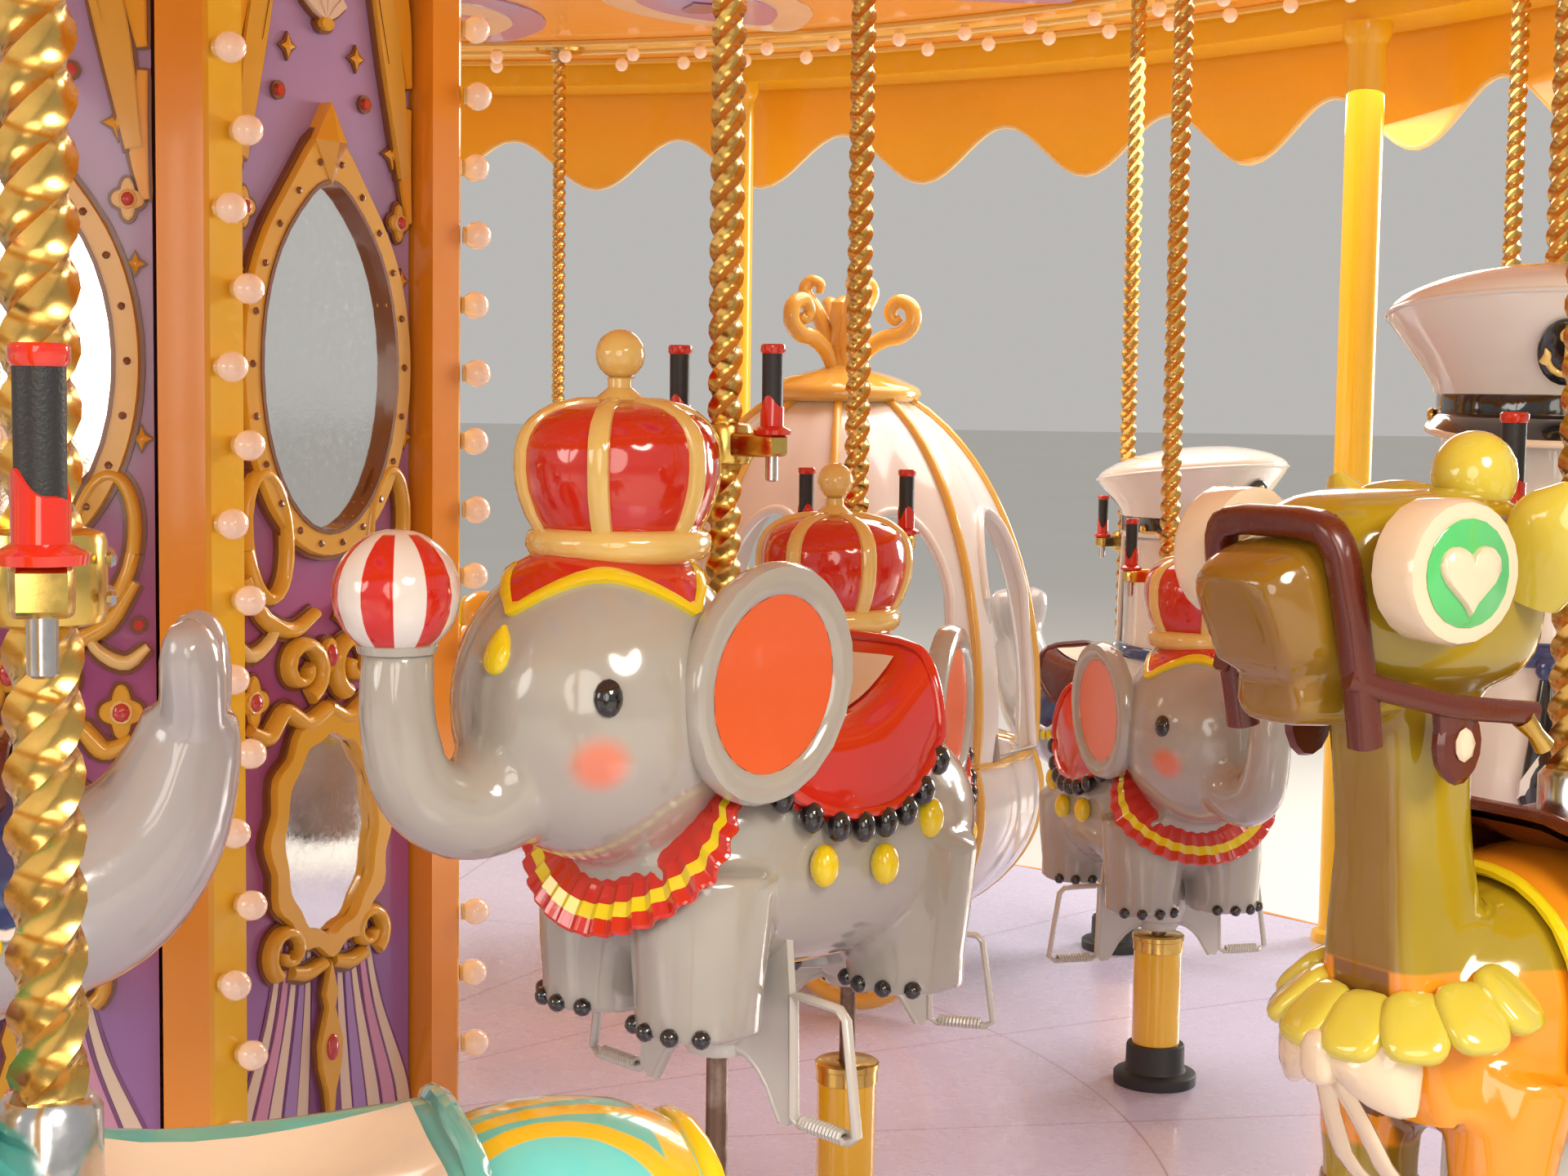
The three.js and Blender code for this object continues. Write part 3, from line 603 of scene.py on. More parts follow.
# Geometry-node trees for what repeats or follows a rule
def new_tree(name, sizes):
    tree = bpy.data.node_groups.new(name, "GeometryNodeTree")
    tree.interface.new_socket(name="Geometry", in_out="INPUT", socket_type="NodeSocketGeometry")
    add_inputs(tree, sizes)
    tree.interface.new_socket(name="Geometry", in_out="OUTPUT", socket_type="NodeSocketGeometry")
    return tree, tree.nodes.new("NodeGroupInput"), tree.nodes.new("NodeGroupOutput")


def finish_tree(tree, shape, ins, outs):
    realize = tree.nodes.new("GeometryNodeRealizeInstances")
    paint = tree.nodes.new("GeometryNodeSetMaterial")
    tree.links.new(shape, realize.inputs[0])
    tree.links.new(realize.outputs[0], paint.inputs["Geometry"])
    tree.links.new(ins.outputs["Material"], paint.inputs["Material"])
    tree.links.new(paint.outputs[0], outs.inputs[0])
    return tree


def studs_tree():
    """A stud on every point, turned to its aim: a ball drawn out by Length, or a cone of two radii."""
    sizes = {
        "Radius": 0.01, "Length": 1.0, "Segments": 8, "Rings": 5, "Top radius": 0.01, "Cone": False,
        "Material": None,
    }
    tree, ins, outs = new_tree("studs_on_points", sizes)
    make, link = tree.nodes.new, tree.links.new
    ball_node, cone_node = make("GeometryNodeMeshUVSphere"), make("GeometryNodeMeshCone")
    for label in ("Segments", "Rings", "Radius"):
        link(ins.outputs[label], ball_node.inputs[label])
    for label, source in (("Vertices", "Segments"), ("Radius Bottom", "Radius"),
            ("Radius Top", "Top radius"), ("Depth", "Length")):
        link(ins.outputs[source], cone_node.inputs[label])
    stretch = make("ShaderNodeCombineXYZ")
    stretch.inputs[0].default_value = stretch.inputs[1].default_value = 1.0
    link(ins.outputs["Length"], stretch.inputs[2])
    drawn = make("GeometryNodeTransform")
    link(ball_node.outputs["Mesh"], drawn.inputs["Geometry"])
    link(stretch.outputs[0], drawn.inputs["Scale"])
    choice = make("GeometryNodeSwitch")
    choice.input_type = "GEOMETRY"
    link(ins.outputs["Cone"], choice.inputs["Switch"])
    link(drawn.outputs[0], choice.inputs["False"])
    link(cone_node.outputs["Mesh"], choice.inputs["True"])
    aim = make("GeometryNodeInputNamedAttribute")
    aim.data_type = "FLOAT_VECTOR"
    aim.inputs["Name"].default_value = "aim"
    turn = make("FunctionNodeAlignRotationToVector")
    turn.axis = "Z"
    link(aim.outputs["Attribute"], turn.inputs["Vector"])
    spread = make("GeometryNodeInstanceOnPoints")
    link(ins.outputs["Geometry"], spread.inputs["Points"])
    link(choice.outputs[0], spread.inputs["Instance"])
    link(turn.outputs[0], spread.inputs["Rotation"])
    return finish_tree(tree, spread.outputs[0], ins, outs)


def twisted_bar_tree():
    """A bar of rounded strands that wind round each other at a steady lead."""
    sizes = {
        "Foot": 0.0, "Head": 1.0, "Strands": 4, "Groove radius": 0.018, "Strand radius": 0.025,
        "Lead": 0.14,
        "Steps": 360, "Sides": 16, "Material": None,
    }
    tree, ins, outs = new_tree("twisted_bar", sizes)
    make, link = tree.nodes.new, tree.links.new
    line, spine = make("GeometryNodeCurvePrimitiveLine"), make("GeometryNodeResampleCurve")
    tilt = make("GeometryNodeSetCurveTilt")
    for label, source in (("Start", "Foot"), ("End", "Head")):
        point = make("ShaderNodeCombineXYZ")
        link(ins.outputs[source], point.inputs[2])
        link(point.outputs[0], line.inputs[label])
    link(line.outputs[0], spine.inputs["Curve"])
    link(ins.outputs["Steps"], spine.inputs["Count"])
    link(spine.outputs[0], tilt.inputs["Curve"])
    along = Wire(tree, make("GeometryNodeSplineParameter").outputs["Length"])
    link((along / Wire(tree, ins.outputs["Lead"]) * TAU).socket, tilt.inputs["Tilt"])
    star, kind = make("GeometryNodeCurveStar"), make("GeometryNodeCurveSplineType")
    rounded = make("GeometryNodeResampleCurve")
    kind.spline_type = "CATMULL_ROM"
    for label, source in (("Points", "Strands"), ("Inner Radius", "Groove radius"),
            ("Outer Radius", "Strand radius")):
        link(ins.outputs[source], star.inputs[label])
    link(star.outputs[0], kind.inputs["Curve"])
    link(kind.outputs[0], rounded.inputs["Curve"])
    link(ins.outputs["Sides"], rounded.inputs["Count"])
    skin = make("GeometryNodeCurveToMesh")
    skin.inputs["Fill Caps"].default_value = True
    link(tilt.outputs[0], skin.inputs["Curve"])
    link(rounded.outputs[0], skin.inputs["Profile Curve"])
    return finish_tree(tree, skin.outputs[0], ins, outs)


def wavy_wall_tree():
    """A round wall whose lower edge hangs in even waves."""
    sizes = {
        "Radius": 4.0, "Low": 2.8, "High": 2.99, "Top": 3.27, "Waves": 40.0, "First low bearing": 2.2,
        "Columns": 641, "Rows": 6, "Material": None,
    }
    tree, ins, outs = new_tree("wavy_wall", sizes)
    make, link = tree.nodes.new, tree.links.new
    sheet = make("GeometryNodeMeshGrid")
    link(ins.outputs["Columns"], sheet.inputs["Vertices X"])
    link(ins.outputs["Rows"], sheet.inputs["Vertices Y"])
    size = {label: Wire(tree, ins.outputs[label]) for label in sizes}
    across, up, _ = Wire(tree, make("GeometryNodeInputPosition").outputs[0]).parts()
    angle = (across + 0.5) * TAU
    phase = (angle - size["First low bearing"] * (pi / 180)) * size["Waves"]
    middle, swing = (size["Low"] + size["High"]) * 0.5, (size["High"] - size["Low"]) * 0.5
    edge = middle - swing * phase.math("COSINE")
    height = edge + (size["Top"] - edge) * (up + 0.5)
    place = make("ShaderNodeCombineXYZ")
    link((angle.math("SINE") * size["Radius"]).socket, place.inputs[0])
    link((angle.math("COSINE") * size["Radius"]).socket, place.inputs[1])
    link(height.socket, place.inputs[2])
    move, weld = make("GeometryNodeSetPosition"), make("GeometryNodeMergeByDistance")
    link(sheet.outputs["Mesh"], move.inputs["Geometry"])
    link(place.outputs[0], move.inputs["Position"])
    link(move.outputs[0], weld.inputs["Geometry"])
    return finish_tree(tree, weld.outputs[0], ins, outs)


STUDS = studs_tree()
TWISTED_BAR = twisted_bar_tree()
WAVY_WALL = wavy_wall_tree()


def grown(name, tree, settings, finish, base=None):
    """Runs a geometry tree and returns the plain mesh that it makes."""
    piece = bpy.data.objects.new(name, base or bpy.data.meshes.new(name))
    bpy.context.scene.collection.objects.link(piece)
    modifier = piece.modifiers.new("tree", "NODES")
    modifier.node_group = tree
    sockets = {item.name: item.identifier for item in tree.interface.items_tree if item.in_out == "INPUT"}
    for label, value in settings.items():
        modifier[sockets[label]] = value
    modifier[sockets["Material"]] = FINISHES[finish]
    mesh = settled(piece).data
    bpy.data.objects.remove(piece)
    return mesh


def form_of(mesh, finish):
    points = np.zeros(len(mesh.vertices) * 3)
    mesh.vertices.foreach_get("co", points)
    return as_form(points, [tuple(polygon.vertices) for polygon in mesh.polygons], finish)


def studs(points, aims, finish, radius, length=1.0, segments=8, rings=5, top=None):
    """A form with a stud on each point; with a top radius the studs are cones of that length."""
    base = bpy.data.meshes.new("stud_points")
    base.from_pydata([tuple(p) for p in points], [], [])
    aim = base.attributes.new("aim", "FLOAT_VECTOR", "POINT")
    aim.data.foreach_set("vector", np.asarray(aims, np.float32).ravel())
    settings = {"Radius": float(radius), "Length": float(length), "Segments": segments, "Rings": rings}
    if top is not None:
        settings.update({"Top radius": float(top), "Cone": True})
    return form_of(grown("studs", STUDS, settings, finish, base), finish)


# Poles
POLE_FOOT, POLE_HEAD = 0.12, 2.686
ROD_FOOT = -0.37
GRIP_OFFSET = 0.1


def pole_bar_mesh():
    settings = {"Foot": POLE_FOOT, "Head": POLE_HEAD, "Lead": 0.15, "Steps": 260, "Sides": 12}
    return grown("pole_bar", TWISTED_BAR, settings, "twisted_brass")


def pole_fittings():
    """The clamp, the two hand grips and the rod that slides in the guide tube, round a pole at the origin."""
    forms = [turned([(0.016, ROD_FOOT), (0.016, 0.1)], "rod_steel", 20)]
    forms.append(turned([(0.018, 0.095), (0.03, 0.1), (0.031, 0.128), (0.026, 0.134)], "bright_steel", 24))
    forms.append(turned([(0.027, 0.925), (0.037, 0.928), (0.039, 0.934), (0.039, 0.976), (0.037, 0.982),
        (0.027, 0.985)], "clamp_brass", 28))
    forms.append(ball((0, 0, 0.955), (0.019, 0.118, 0.017), "clamp_brass", 20, 10, box=8))
    forms.append(turned([(0.026, POLE_HEAD - 0.1), (0.034, POLE_HEAD - 0.095), (0.034, POLE_HEAD - 0.002)],
        "bright_steel", 20))
    for side in (-1, 1):
        y = side * GRIP_OFFSET
        grip = [
            ([(0.006, 0.905), (0.009, 0.907), (0.009, 0.94)], "bright_steel", 12),
            ([(0.01, 0.968), (0.026, 0.97), (0.027, 0.976), (0.018, 0.982)], "red_gloss", 24),
            ([(0.0145, 0.978), (0.015, 1.085)], "grip_rubber", 24),
            ([(0.0155, 1.082), (0.0175, 1.085), (0.0175, 1.093), (0.015, 1.0952)], "red_gloss", 24),
        ]
        forms += [shifted(turned(*part), y=y) for part in grip]
        angle = ring(36)
        tongue = 1.012 + 0.01 * np.sin(2 * angle) + 0.006 * np.sin(3 * angle + 1)
        sleeve = [np.stack([0.0168 * np.cos(angle), y + 0.0168 * np.sin(angle), z], 1)
            for z in (np.full(36, 0.98), tongue)]
        sleeve.append(np.stack([0.0146 * np.cos(angle), y + 0.0146 * np.sin(angle), tongue + 0.001], 1))
        forms.append(grid_form(sleeve, "red_gloss", round_across=True))
    bolts = [(0.04 * s, 0.022 * t, 0.955 + 0.012 * u) for s in (-1, 1) for t in (-1, 1) for u in (-1, 1)]
    forms.append(studs(bolts, [(copysign(1, b[0]), 0, 0) for b in bolts], "bright_steel", 0.005, 0.8,
        segments=6, rings=4))
    return forms


# Paints that change over the surface
def build_elephant_skin():
    _, tree, node = coat("elephant_skin", (0.45, 0.43, 0.38), gloss=0.13, cloudiness=0.1, cloud_scale=5.0,
        clear=0.85)
    x, y, z = carved_place(tree).parts()
    mirrored_place = tree.nodes.new("ShaderNodeCombineXYZ")
    for target, wire in zip(mirrored_place.inputs, (x, y.size(), z)):
        tree.links.new(wire.socket, target)
    both = Wire(tree, mirrored_place.outputs[0])
    cheek = both.far_from((0.34, 0.158, 0.545), (0.048, 0.055, 0.046)).fade(0.35, 1.1) * 0.85
    # painted highlight: a lighter patch on the brow above each eye
    brow_highlight = both.far_from((0.385, 0.1, 0.66), (0.05, 0.05, 0.035)).fade(0.4, 1.2) * 0.18
    # painted shade: the belly's underside and the lower legs are darkened towards the deck
    under = z.fade(0.2, 0.36) * 0.25
    repaint(tree, node, [((0.33, 0.3, 0.27), under), ((0.62, 0.58, 0.46), brow_highlight),
        ((0.85, 0.2, 0.09), cheek)])


def build_striped_ball():
    """Red and white gores round a toy ball with a small cap at each pole."""
    _, tree, node = coat("striped_ball", (0.9, 0.86, 0.8), gloss=0.1, clear=0.9)
    x, y, z = carved_place(tree).parts()
    angle = y.math("ARCTAN2", x - 0.548)
    gores = (angle * 6.0 + 0.6).math("SINE").fade(-0.06, 0.06)
    stripe = (z - 0.768).size().fade(0.074, 0.077)
    repaint(tree, node, [((0.7, 0.02, 0.012), gores * stripe)])


def build_camel_skin():
    """Olive-yellow gloss with a brown muzzle and neck front, and an orange chest split by a brown strip."""
    _, tree, node = coat("camel_skin", (0.4, 0.28, 0.012), gloss=0.12, cloudiness=0.14, cloud_scale=6.0,
        clear=0.85)
    x, y, z = carved_place(tree).parts()
    side = y.size()
    muzzle = (x - z * 0.1).fade(0.3, 0.44)
    muzzle = muzzle.rest() * z.fade(0.94, 0.985)
    above_neck = z.fade(0.76, 0.8).rest()
    muzzle = muzzle * above_neck
    front = (x - z * 0.3).fade(0.12, 0.15).rest()
    front = front * side.fade(0.04, 0.068) * z.fade(0.79, 0.83) * 0.75
    # painted shade: a darker brown band under the head and jaw, round the top of the neck
    jaw = (z.fade(0.8, 0.83)) * z.fade(0.71, 0.74).rest() * 0.55
    chest = x.fade(0.1, 0.16).rest() * z.fade(0.462, 0.468) * z.fade(0.215, 0.225).rest()
    strip = chest * side.fade(0.04, 0.046)
    repaint(tree, node, [
        ((0.24, 0.12, 0.012), jaw), ((0.26, 0.125, 0.01), muzzle), ((0.26, 0.115, 0.01), front),
        ((0.92, 0.33, 0.015), chest), ((0.26, 0.11, 0.02), strip),
    ])


def build_blanket_orange():
    """The camel's cloth: orange with broad lighter flames."""
    _, tree, node = coat("blanket_orange", (0.93, 0.32, 0.015), gloss=0.14, clear=0.8)
    x, _, z = carved_place(tree).parts()
    waves = (x * 20.0 + (z * 14.0).math("SINE") * 2.0).math("SINE")
    repaint(tree, node, [((0.96, 0.5, 0.03), waves.fade(0.0, 0.9).rest() * 0.75)])


def build_pony_cloth():
    """Turquoise patches between yellow bands on the rump, with lilac towards the seat."""
    _, tree, node = coat("pony_cloth", (0.1, 0.6, 0.53), gloss=0.14, clear=0.8)
    x, y, _ = carved_place(tree).parts()
    fan = ((x + 0.3).square() + (y.size() - 0.115).square()).math("SQRT")
    arch = (fan - 0.085).size().fade(0.009, 0.012)
    crown_line = y.size().fade(0.008, 0.011) * x.fade(-0.262, -0.258)
    seat = x.fade(-0.235, -0.229).rest()
    border = (x + 0.238).size().fade(0.011, 0.014)
    tail_border = (x + 0.392).size().fade(0.01, 0.013)
    yellow = (0.92, 0.58, 0.02)
    repaint(tree, node, [
        ((0.16, 0.7, 0.66), fan.fade(0.084, 0.087)), (yellow, arch), (yellow, crown_line),
        ((0.46, 0.32, 0.64), seat), (yellow, border), (yellow, tail_border),
    ])


def build_seal_skin():
    """Blue-grey gloss, paler on the chest and under the chin."""
    _, tree, node = coat("seal_skin", (0.5, 0.49, 0.49), gloss=0.11, cloudiness=0.1, cloud_scale=5.0,
        clear=0.9)
    x, _, z = carved_place(tree).parts()
    chest = (x - z * 0.25).fade(-0.06, 0.05).rest()
    repaint(tree, node, [((0.84, 0.77, 0.68), chest)])


def build_panel_ground():
    """Lilac at the top, plum lower down, with a soft mottle."""
    _, tree, node = coat("panel_ground_paint", (0.46, 0.32, 0.62), gloss=0.2, cloudiness=0.12,
        cloud_scale=3.0)
    z = carved_place(tree).parts()[2]
    plum = z.fade(1.55, 2.1)
    foot = z.fade(0.8, 1.05)
    repaint(tree, node, [((0.42, 0.11, 0.3), plum), ((0.34, 0.16, 0.46), foot)])


def build_deck_paint():
    """Pale lilac floor sheet with radial seams and scuffs."""
    _, tree, node = coat("deck_sheet_paint", (0.66, 0.63, 0.86), gloss=0.26, cloudiness=0.04,
        cloud_scale=1.2, clear=0.3)
    place = object_place(tree)
    x, y, z = place.parts()
    angle = y.math("ARCTAN2", x)
    seam = ((angle * (20 / TAU)).math("FRACT") - 0.5).size()
    radius = (x.square() + y.square()).math("SQRT")
    seam_line = (seam * radius * (TAU / 20)).under(0.003)
    ring_line = (radius - 2.45).size().under(0.003)
    scuffs = speckle(tree, place, 1.6, 8.0, 0.62).fade(0.34, 0.52) * 0.08
    guide = z.over(DECK_TOP + 0.001)
    repaint(tree, node, [((0.58, 0.52, 0.74), scuffs), ((0.46, 0.36, 0.52), seam_line),
        ((0.46, 0.36, 0.52), ring_line), ((0.85, 0.45, 0.02), guide)])


def build_ceiling_paint():
    """Orange board with a lighter wavy ring and lilac rays, and a faint orange glow as painted light."""
    # painted light: a faint orange emission, though the board is no lamp
    painted_glow = {"Emission Color": colour(1.0, 0.36, 0.03), "Emission Strength": 0.12}
    _, tree, node = coat("ceiling_board_paint", (0.9, 0.34, 0.02), gloss=0.3, cloudiness=0.08,
        cloud_scale=2.0, **painted_glow)
    x, y, _ = object_place(tree).parts()
    radius = (x.square() + y.square()).math("SQRT")
    angle = y.math("ARCTAN2", x)
    wave = (angle * 20.0).math("SINE") * 0.05
    light = (radius + wave - 3.74).size().fade(0.12, 0.14)
    rays = (((angle * (40 / TAU)).math("FRACT") - 0.5).size()).fade(0.11, 0.13) * radius.fade(2.25,
        2.27) * radius.fade(1.1, 1.12).rest()
    repaint(tree, node, [((0.95, 0.55, 0.1), light), ((0.62, 0.3, 0.5), rays)])


def build_roof_paint():
    """Orange and cream gores with weathering along the eaves."""
    _, tree, node = coat("roof_gore_paint", (0.92, 0.36, 0.03), gloss=0.4, cloudiness=0.1, cloud_scale=1.5,
        clear=0.2)
    place = object_place(tree)
    x, y, z = place.parts()
    angle = y.math("ARCTAN2", x)
    gore = (angle * (10 / TAU) + 0.25).math("FRACT").under(0.5)
    dirt = speckle(tree, place, 3.0, 7.0, 0.65).fade(0.3, 0.46) * z.fade(3.9, 4.6) * 0.3
    repaint(tree, node, [((0.86, 0.76, 0.58), gore), ((0.35, 0.24, 0.14), dirt)])


def build_valance_paint():
    # painted light: a faint orange emission, though the valance is no lamp; the colour also turns lighter
    # towards the lower edge
    painted_glow = {"Emission Color": colour(1.0, 0.38, 0.02), "Emission Strength": 0.12}
    _, tree, node = coat("valance_orange_paint", (0.95, 0.45, 0.02), gloss=0.22, cloudiness=0.08, **painted_glow)
    z = object_place(tree).parts()[2]
    repaint(tree, node, [((0.96, 0.53, 0.03), z.fade(2.85, 3.15))])


def build_cornice_paint():
    _, tree, node = coat("cornice_paint", (0.86, 0.26, 0.02), gloss=0.2, cloudiness=0.1, cloud_scale=2.0)
    x, y, z = object_place(tree).parts()
    angle = y.math("ARCTAN2", x)
    wave = (angle * 60.0).math("SINE") * 0.02
    repaint(tree, node, [((0.95, 0.5, 0.05), (z + wave).fade(3.4, 3.405))])


def build_steel_paint():
    _, tree, node = coat("mast_grey_paint", (0.13, 0.13, 0.15), gloss=0.35, cloudiness=0.15,
        cloud_scale=3.0, clear=0.2)
    place = object_place(tree)
    wear = speckle(tree, place, 9.0, 8.0, 0.7).fade(0.3, 0.38) * 0.5
    repaint(tree, node, [((0.24, 0.15, 0.1), wear)])


build_panel_ground()
build_deck_paint()
build_ceiling_paint()
build_roof_paint()
build_valance_paint()
build_cornice_paint()
build_steel_paint()
coat("pilaster_yellow", (0.95, 0.58, 0.04), gloss=0.18)
coat("guide_yellow", (0.93, 0.52, 0.015), gloss=0.14, clear=0.8)
# painted shade on one facet of the mirror's gem
coat("umber_light_paint", (0.5, 0.2, 0.03), gloss=0.25)
coat("yellow_relief_paint", (0.93, 0.62, 0.06), gloss=0.2)
# painted highlight: the pale paint on the valance's rolled lower edge
coat("valance_edge_paint", (0.95, 0.66, 0.25), gloss=0.2)
coat("carriage_gold", (0.88, 0.52, 0.1), gloss=0.14, clear=0.9)
coat("cream_gloss", (0.86, 0.7, 0.5), gloss=0.13, clear=0.8)
coat("green_gloss", (0.1, 0.6, 0.17), gloss=0.13, clear=0.8)
coat("umber_gloss", (0.17, 0.07, 0.02), gloss=0.16, clear=0.8)
coat("teal_gloss", (0.1, 0.55, 0.5), gloss=0.12, clear=0.9)
coat("navy_gloss", (0.03, 0.05, 0.16), gloss=0.1, clear=0.9)
coat("cap_white", (0.88, 0.84, 0.78), gloss=0.14, clear=0.8)
coat("mane_cream", (0.88, 0.74, 0.42), gloss=0.14, clear=0.8, cloudiness=0.12)
coat("pony_skin", (0.84, 0.8, 0.76), gloss=0.12, clear=0.85, cloudiness=0.08)

build_elephant_skin()
build_striped_ball()
build_camel_skin()
build_blanket_orange()
build_pony_cloth()
build_seal_skin()
coat("studio_floor_paint", (0.74, 0.72, 0.69), gloss=0.55, cloudiness=0.04, cloud_scale=0.3, clear=0.0)


# Shared trappings of the riding figures. Their own axes: nose along +X, left side +Y, zero at the
# stirrups' lowest point.
def oval(half_across, half_up, count=28, centre=(0.0, 0.0)):
    angle = ring(count)
    return np.column_stack([centre[0] + half_across * np.cos(angle), centre[1] + half_up * np.sin(angle)])


def badge(skin, start, towards, outline, thickness, finish, dome=0.4, rings=4):
    """A low raised shape laid on a skin, from an anticlockwise outline of points across and up."""
    place, normal = skin.hit(start, towards)
    side = np.cross((0, 0, 1), normal)
    side /= np.linalg.norm(side)
    rise = np.cross(normal, side)
    levels = [(1.0, -0.004), (1.0, 0.6 * thickness), (0.92, thickness)]
    levels += [(level, thickness * (1 + dome * (1 - level ** 2)))
        for level in np.linspace(0.8, 0.06, rings)]
    rows = []
    for level, height in levels:
        row = []
        for across, along in outline:
            flat = place + side * across * level + rise * along * level
            seat, _ = skin.hit(flat + normal * 0.05, flat - normal * 0.05)
            row.append(seat + normal * height)
        rows.append(row)
    return grid_form(rows, finish, round_across=True, caps=True)


def heart(size, count=36):
    angle = ring(count, -pi / 2)
    across = 16 * np.sin(angle + pi / 2) ** 3
    up = 13 * np.cos(angle + pi / 2) - 5 * np.cos(2 * angle + pi)
    up = up - 2 * np.cos(3 * angle + 1.5 * pi) - np.cos(4 * angle + TAU)
    return np.column_stack([across, up])[::-1] * size / 32


def drop_shape(half_across, half_up, count=28):
    """A pointed drop hanging from its tip."""
    angle = ring(count, pi / 2)
    across = half_across * np.cos(angle) * np.abs(np.sin((angle - pi / 2) / 2)) ** 0.8
    return np.column_stack([across, half_up * np.sin(angle)])


STIRRUP_ARCH = [(0.0, 0.091), (0.05, 0.089), (0.082, 0.077), (0.108, 0.054), (0.128, 0.024), (0.14, 0.004)]
STIRRUP_LOOP = [(0.16, 0.19), (0.162, 0.1), (0.165, 0.016), (0.18, 0.008), (0.23, 0.008), (0.276, 0.008),
    (0.291, 0.018), (0.279, 0.1), (0.267, 0.176), (0.254, 0.188), (0.21, 0.19), (0.172, 0.19)]


def stirrup_forms():
    """The enamelled plate under the belly, arched over the rod, with a loop and a ribbed tread each side."""
    right = STIRRUP_ARCH[1:] + [(0.154, 0.001), (0.16, 0.01), (0.159, 0.19), (0.15, 0.28)]
    left = [(-y, z) for y, z in right[::-1]]
    forms = plate(left + STIRRUP_ARCH[:1] + right, -0.006, 0.006, "bracket_enamel")
    lip = [(0.0, -y, z, 0.0075) for y, z in STIRRUP_ARCH[::-1]] + [(0.0, y, z, 0.0075)
        for y, z in STIRRUP_ARCH[1:]]
    forms.append(limb(lip, "bracket_enamel", 10, 4))
    socket = [(0.024, 0.074), (0.044, 0.076), (0.048, 0.084), (0.046, 0.095), (0.06, 0.104), (0.075, 0.15),
        (0.08, 0.23)]
    forms.append(turned(socket, "bracket_enamel", 28))
    for side in (-1, 1):
        loop = [(0.0, side * y, z, 0.0065) for y, z in STIRRUP_LOOP]
        forms.append(limb(loop, "bracket_enamel", 10, straight=True, closed=True, across=1.3,
            hint=(1, 0, 0)))
        turns, steps = 12, 8
        tread = []
        for k in range(turns * steps + 1):
            angle = TAU * k / steps
            y = side * (0.186 + 0.084 * k / (turns * steps))
            tread.append((0.0095 * cos(angle), y, 0.0125 + 0.0085 * sin(angle), 0.0038))
        forms.append(limb(tread, "bracket_enamel", 6, straight=True, hint=(1, 0, 0)))
    return forms


def saddle_shell(length, half_width, middle, seat, front, back, finish="red_gloss", dish="cream_paint"):
    """A moulded saddle: rolled edge, dished seat, raised pommel and cantle, and flaps down the sides."""
    rows = []
    count = 41
    for s in np.linspace(-1, 1, 33):
        x = middle + s * length / 2
        rear, fore = max(0.0, -s), max(0.0, s)
        crest = seat + back * rear ** 1.8 + front * fore ** 2.5
        width = half_width * (1 - 0.16 * s * s)
        foot = seat - 0.135 + 0.085 * abs(s) ** 2.4
        row = []
        for t in np.linspace(-1, 1, count):
            across = abs(t)
            if across < 0.55:
                u = across / 0.55
                y, z = 0.66 * width * u, crest - 0.032 * (1 - u * u) * (1 - s * s) - 0.008 * u ** 4
            else:
                u = (across - 0.55) / 0.45
                y = width * (0.66 + 0.34 * sin(u * pi / 2))
                z = crest - 0.008 + (foot - crest + 0.008) * (1 - cos(u * pi / 2))
            row.append((x, copysign(y, t), z))
        rows.append(row)
    rows = np.array(rows)
    under = rows.copy()
    under[:, :, 2] -= 0.016
    under[:, :, 1] *= 0.955
    skin = grid_form(rows, finish)
    lining = grid_form(under[:, ::-1], finish)
    rim = np.array([*[rows[0, j] for j in range(count)], *[rows[i, -1] for i in range(1, 33)],
        *[rows[-1, j] for j in range(count - 2, -1, -1)], *[rows[i, 0] for i in range(31, 0, -1)]])
    stops = np.column_stack([rim, np.full(len(rim), 0.0085)])
    forms = [skin, lining, limb(stops, finish, 8, straight=True, closed=True)]
    inner = rows[2:29, 11:30]
    if dish:
        forms.append(shifted(grid_form(inner, dish), z=0.0035))
    return forms, rows


def fringe(rows, drop=0.02, radius=0.013, length=1.5, every=2, finish="black_gloss", start=1):
    """Hanging drops along both lower edges of a saddle or a blanket."""
    points = [row[end] for row in rows[start:-1:every] for end in (0, -1)]
    points = [(p[0], p[1] * 1.01, p[2] - drop) for p in points]
    return studs(points, [(0, 0, -1)] * len(points), finish, radius, length, segments=12, rings=8)


# Elephant
HEAD_CENTRE = np.array([0.215, 0.0, 0.605])
HEAD_RADII = np.array([0.215, 0.198, 0.222])
BALL_CENTRE = (0.548, 0.0, 0.768)


def on_head(angle, height, grow=1.0):
    """A point on the elephant's head at a bearing from the nose and a height."""
    level = sqrt(max(0.0, 1 - ((height - HEAD_CENTRE[2]) / HEAD_RADII[2]) ** 2)) * grow
    x = HEAD_CENTRE[0] + HEAD_RADII[0] * level * cos(angle)
    return (x, HEAD_RADII[1] * level * sin(angle), height)


def elephant_clay():
    forms = [ball(HEAD_CENTRE, HEAD_RADII, "elephant_skin", 36, 24)]
    forms.append(ball((-0.12, 0, 0.385), (0.35, 0.2, 0.19), "elephant_skin", 36, 24, box=2.2))
    trunk = [(0.24, 0, 0.6, 0.12), (0.335, 0, 0.535, 0.098), (0.43, 0, 0.478, 0.07),
        (0.515, 0, 0.51, 0.056), (0.546, 0, 0.6, 0.05), (0.546, 0, 0.7, 0.047)]
    forms.append(limb(trunk, "elephant_skin", 24, 6))
    for x in (0.115, -0.29):
        for side in (-1, 1):
            y = side * 0.105
            leg = [(x, y, 0.38, 0.1), (x + 0.01, y, 0.27, 0.097), (x + 0.012, y, 0.19, 0.09),
                (x + 0.012, y, 0.15, 0.093)]
            forms.append(limb(leg, "elephant_skin", 22, 5))
    return fused(forms, "elephant_skin", 0.011, 8)


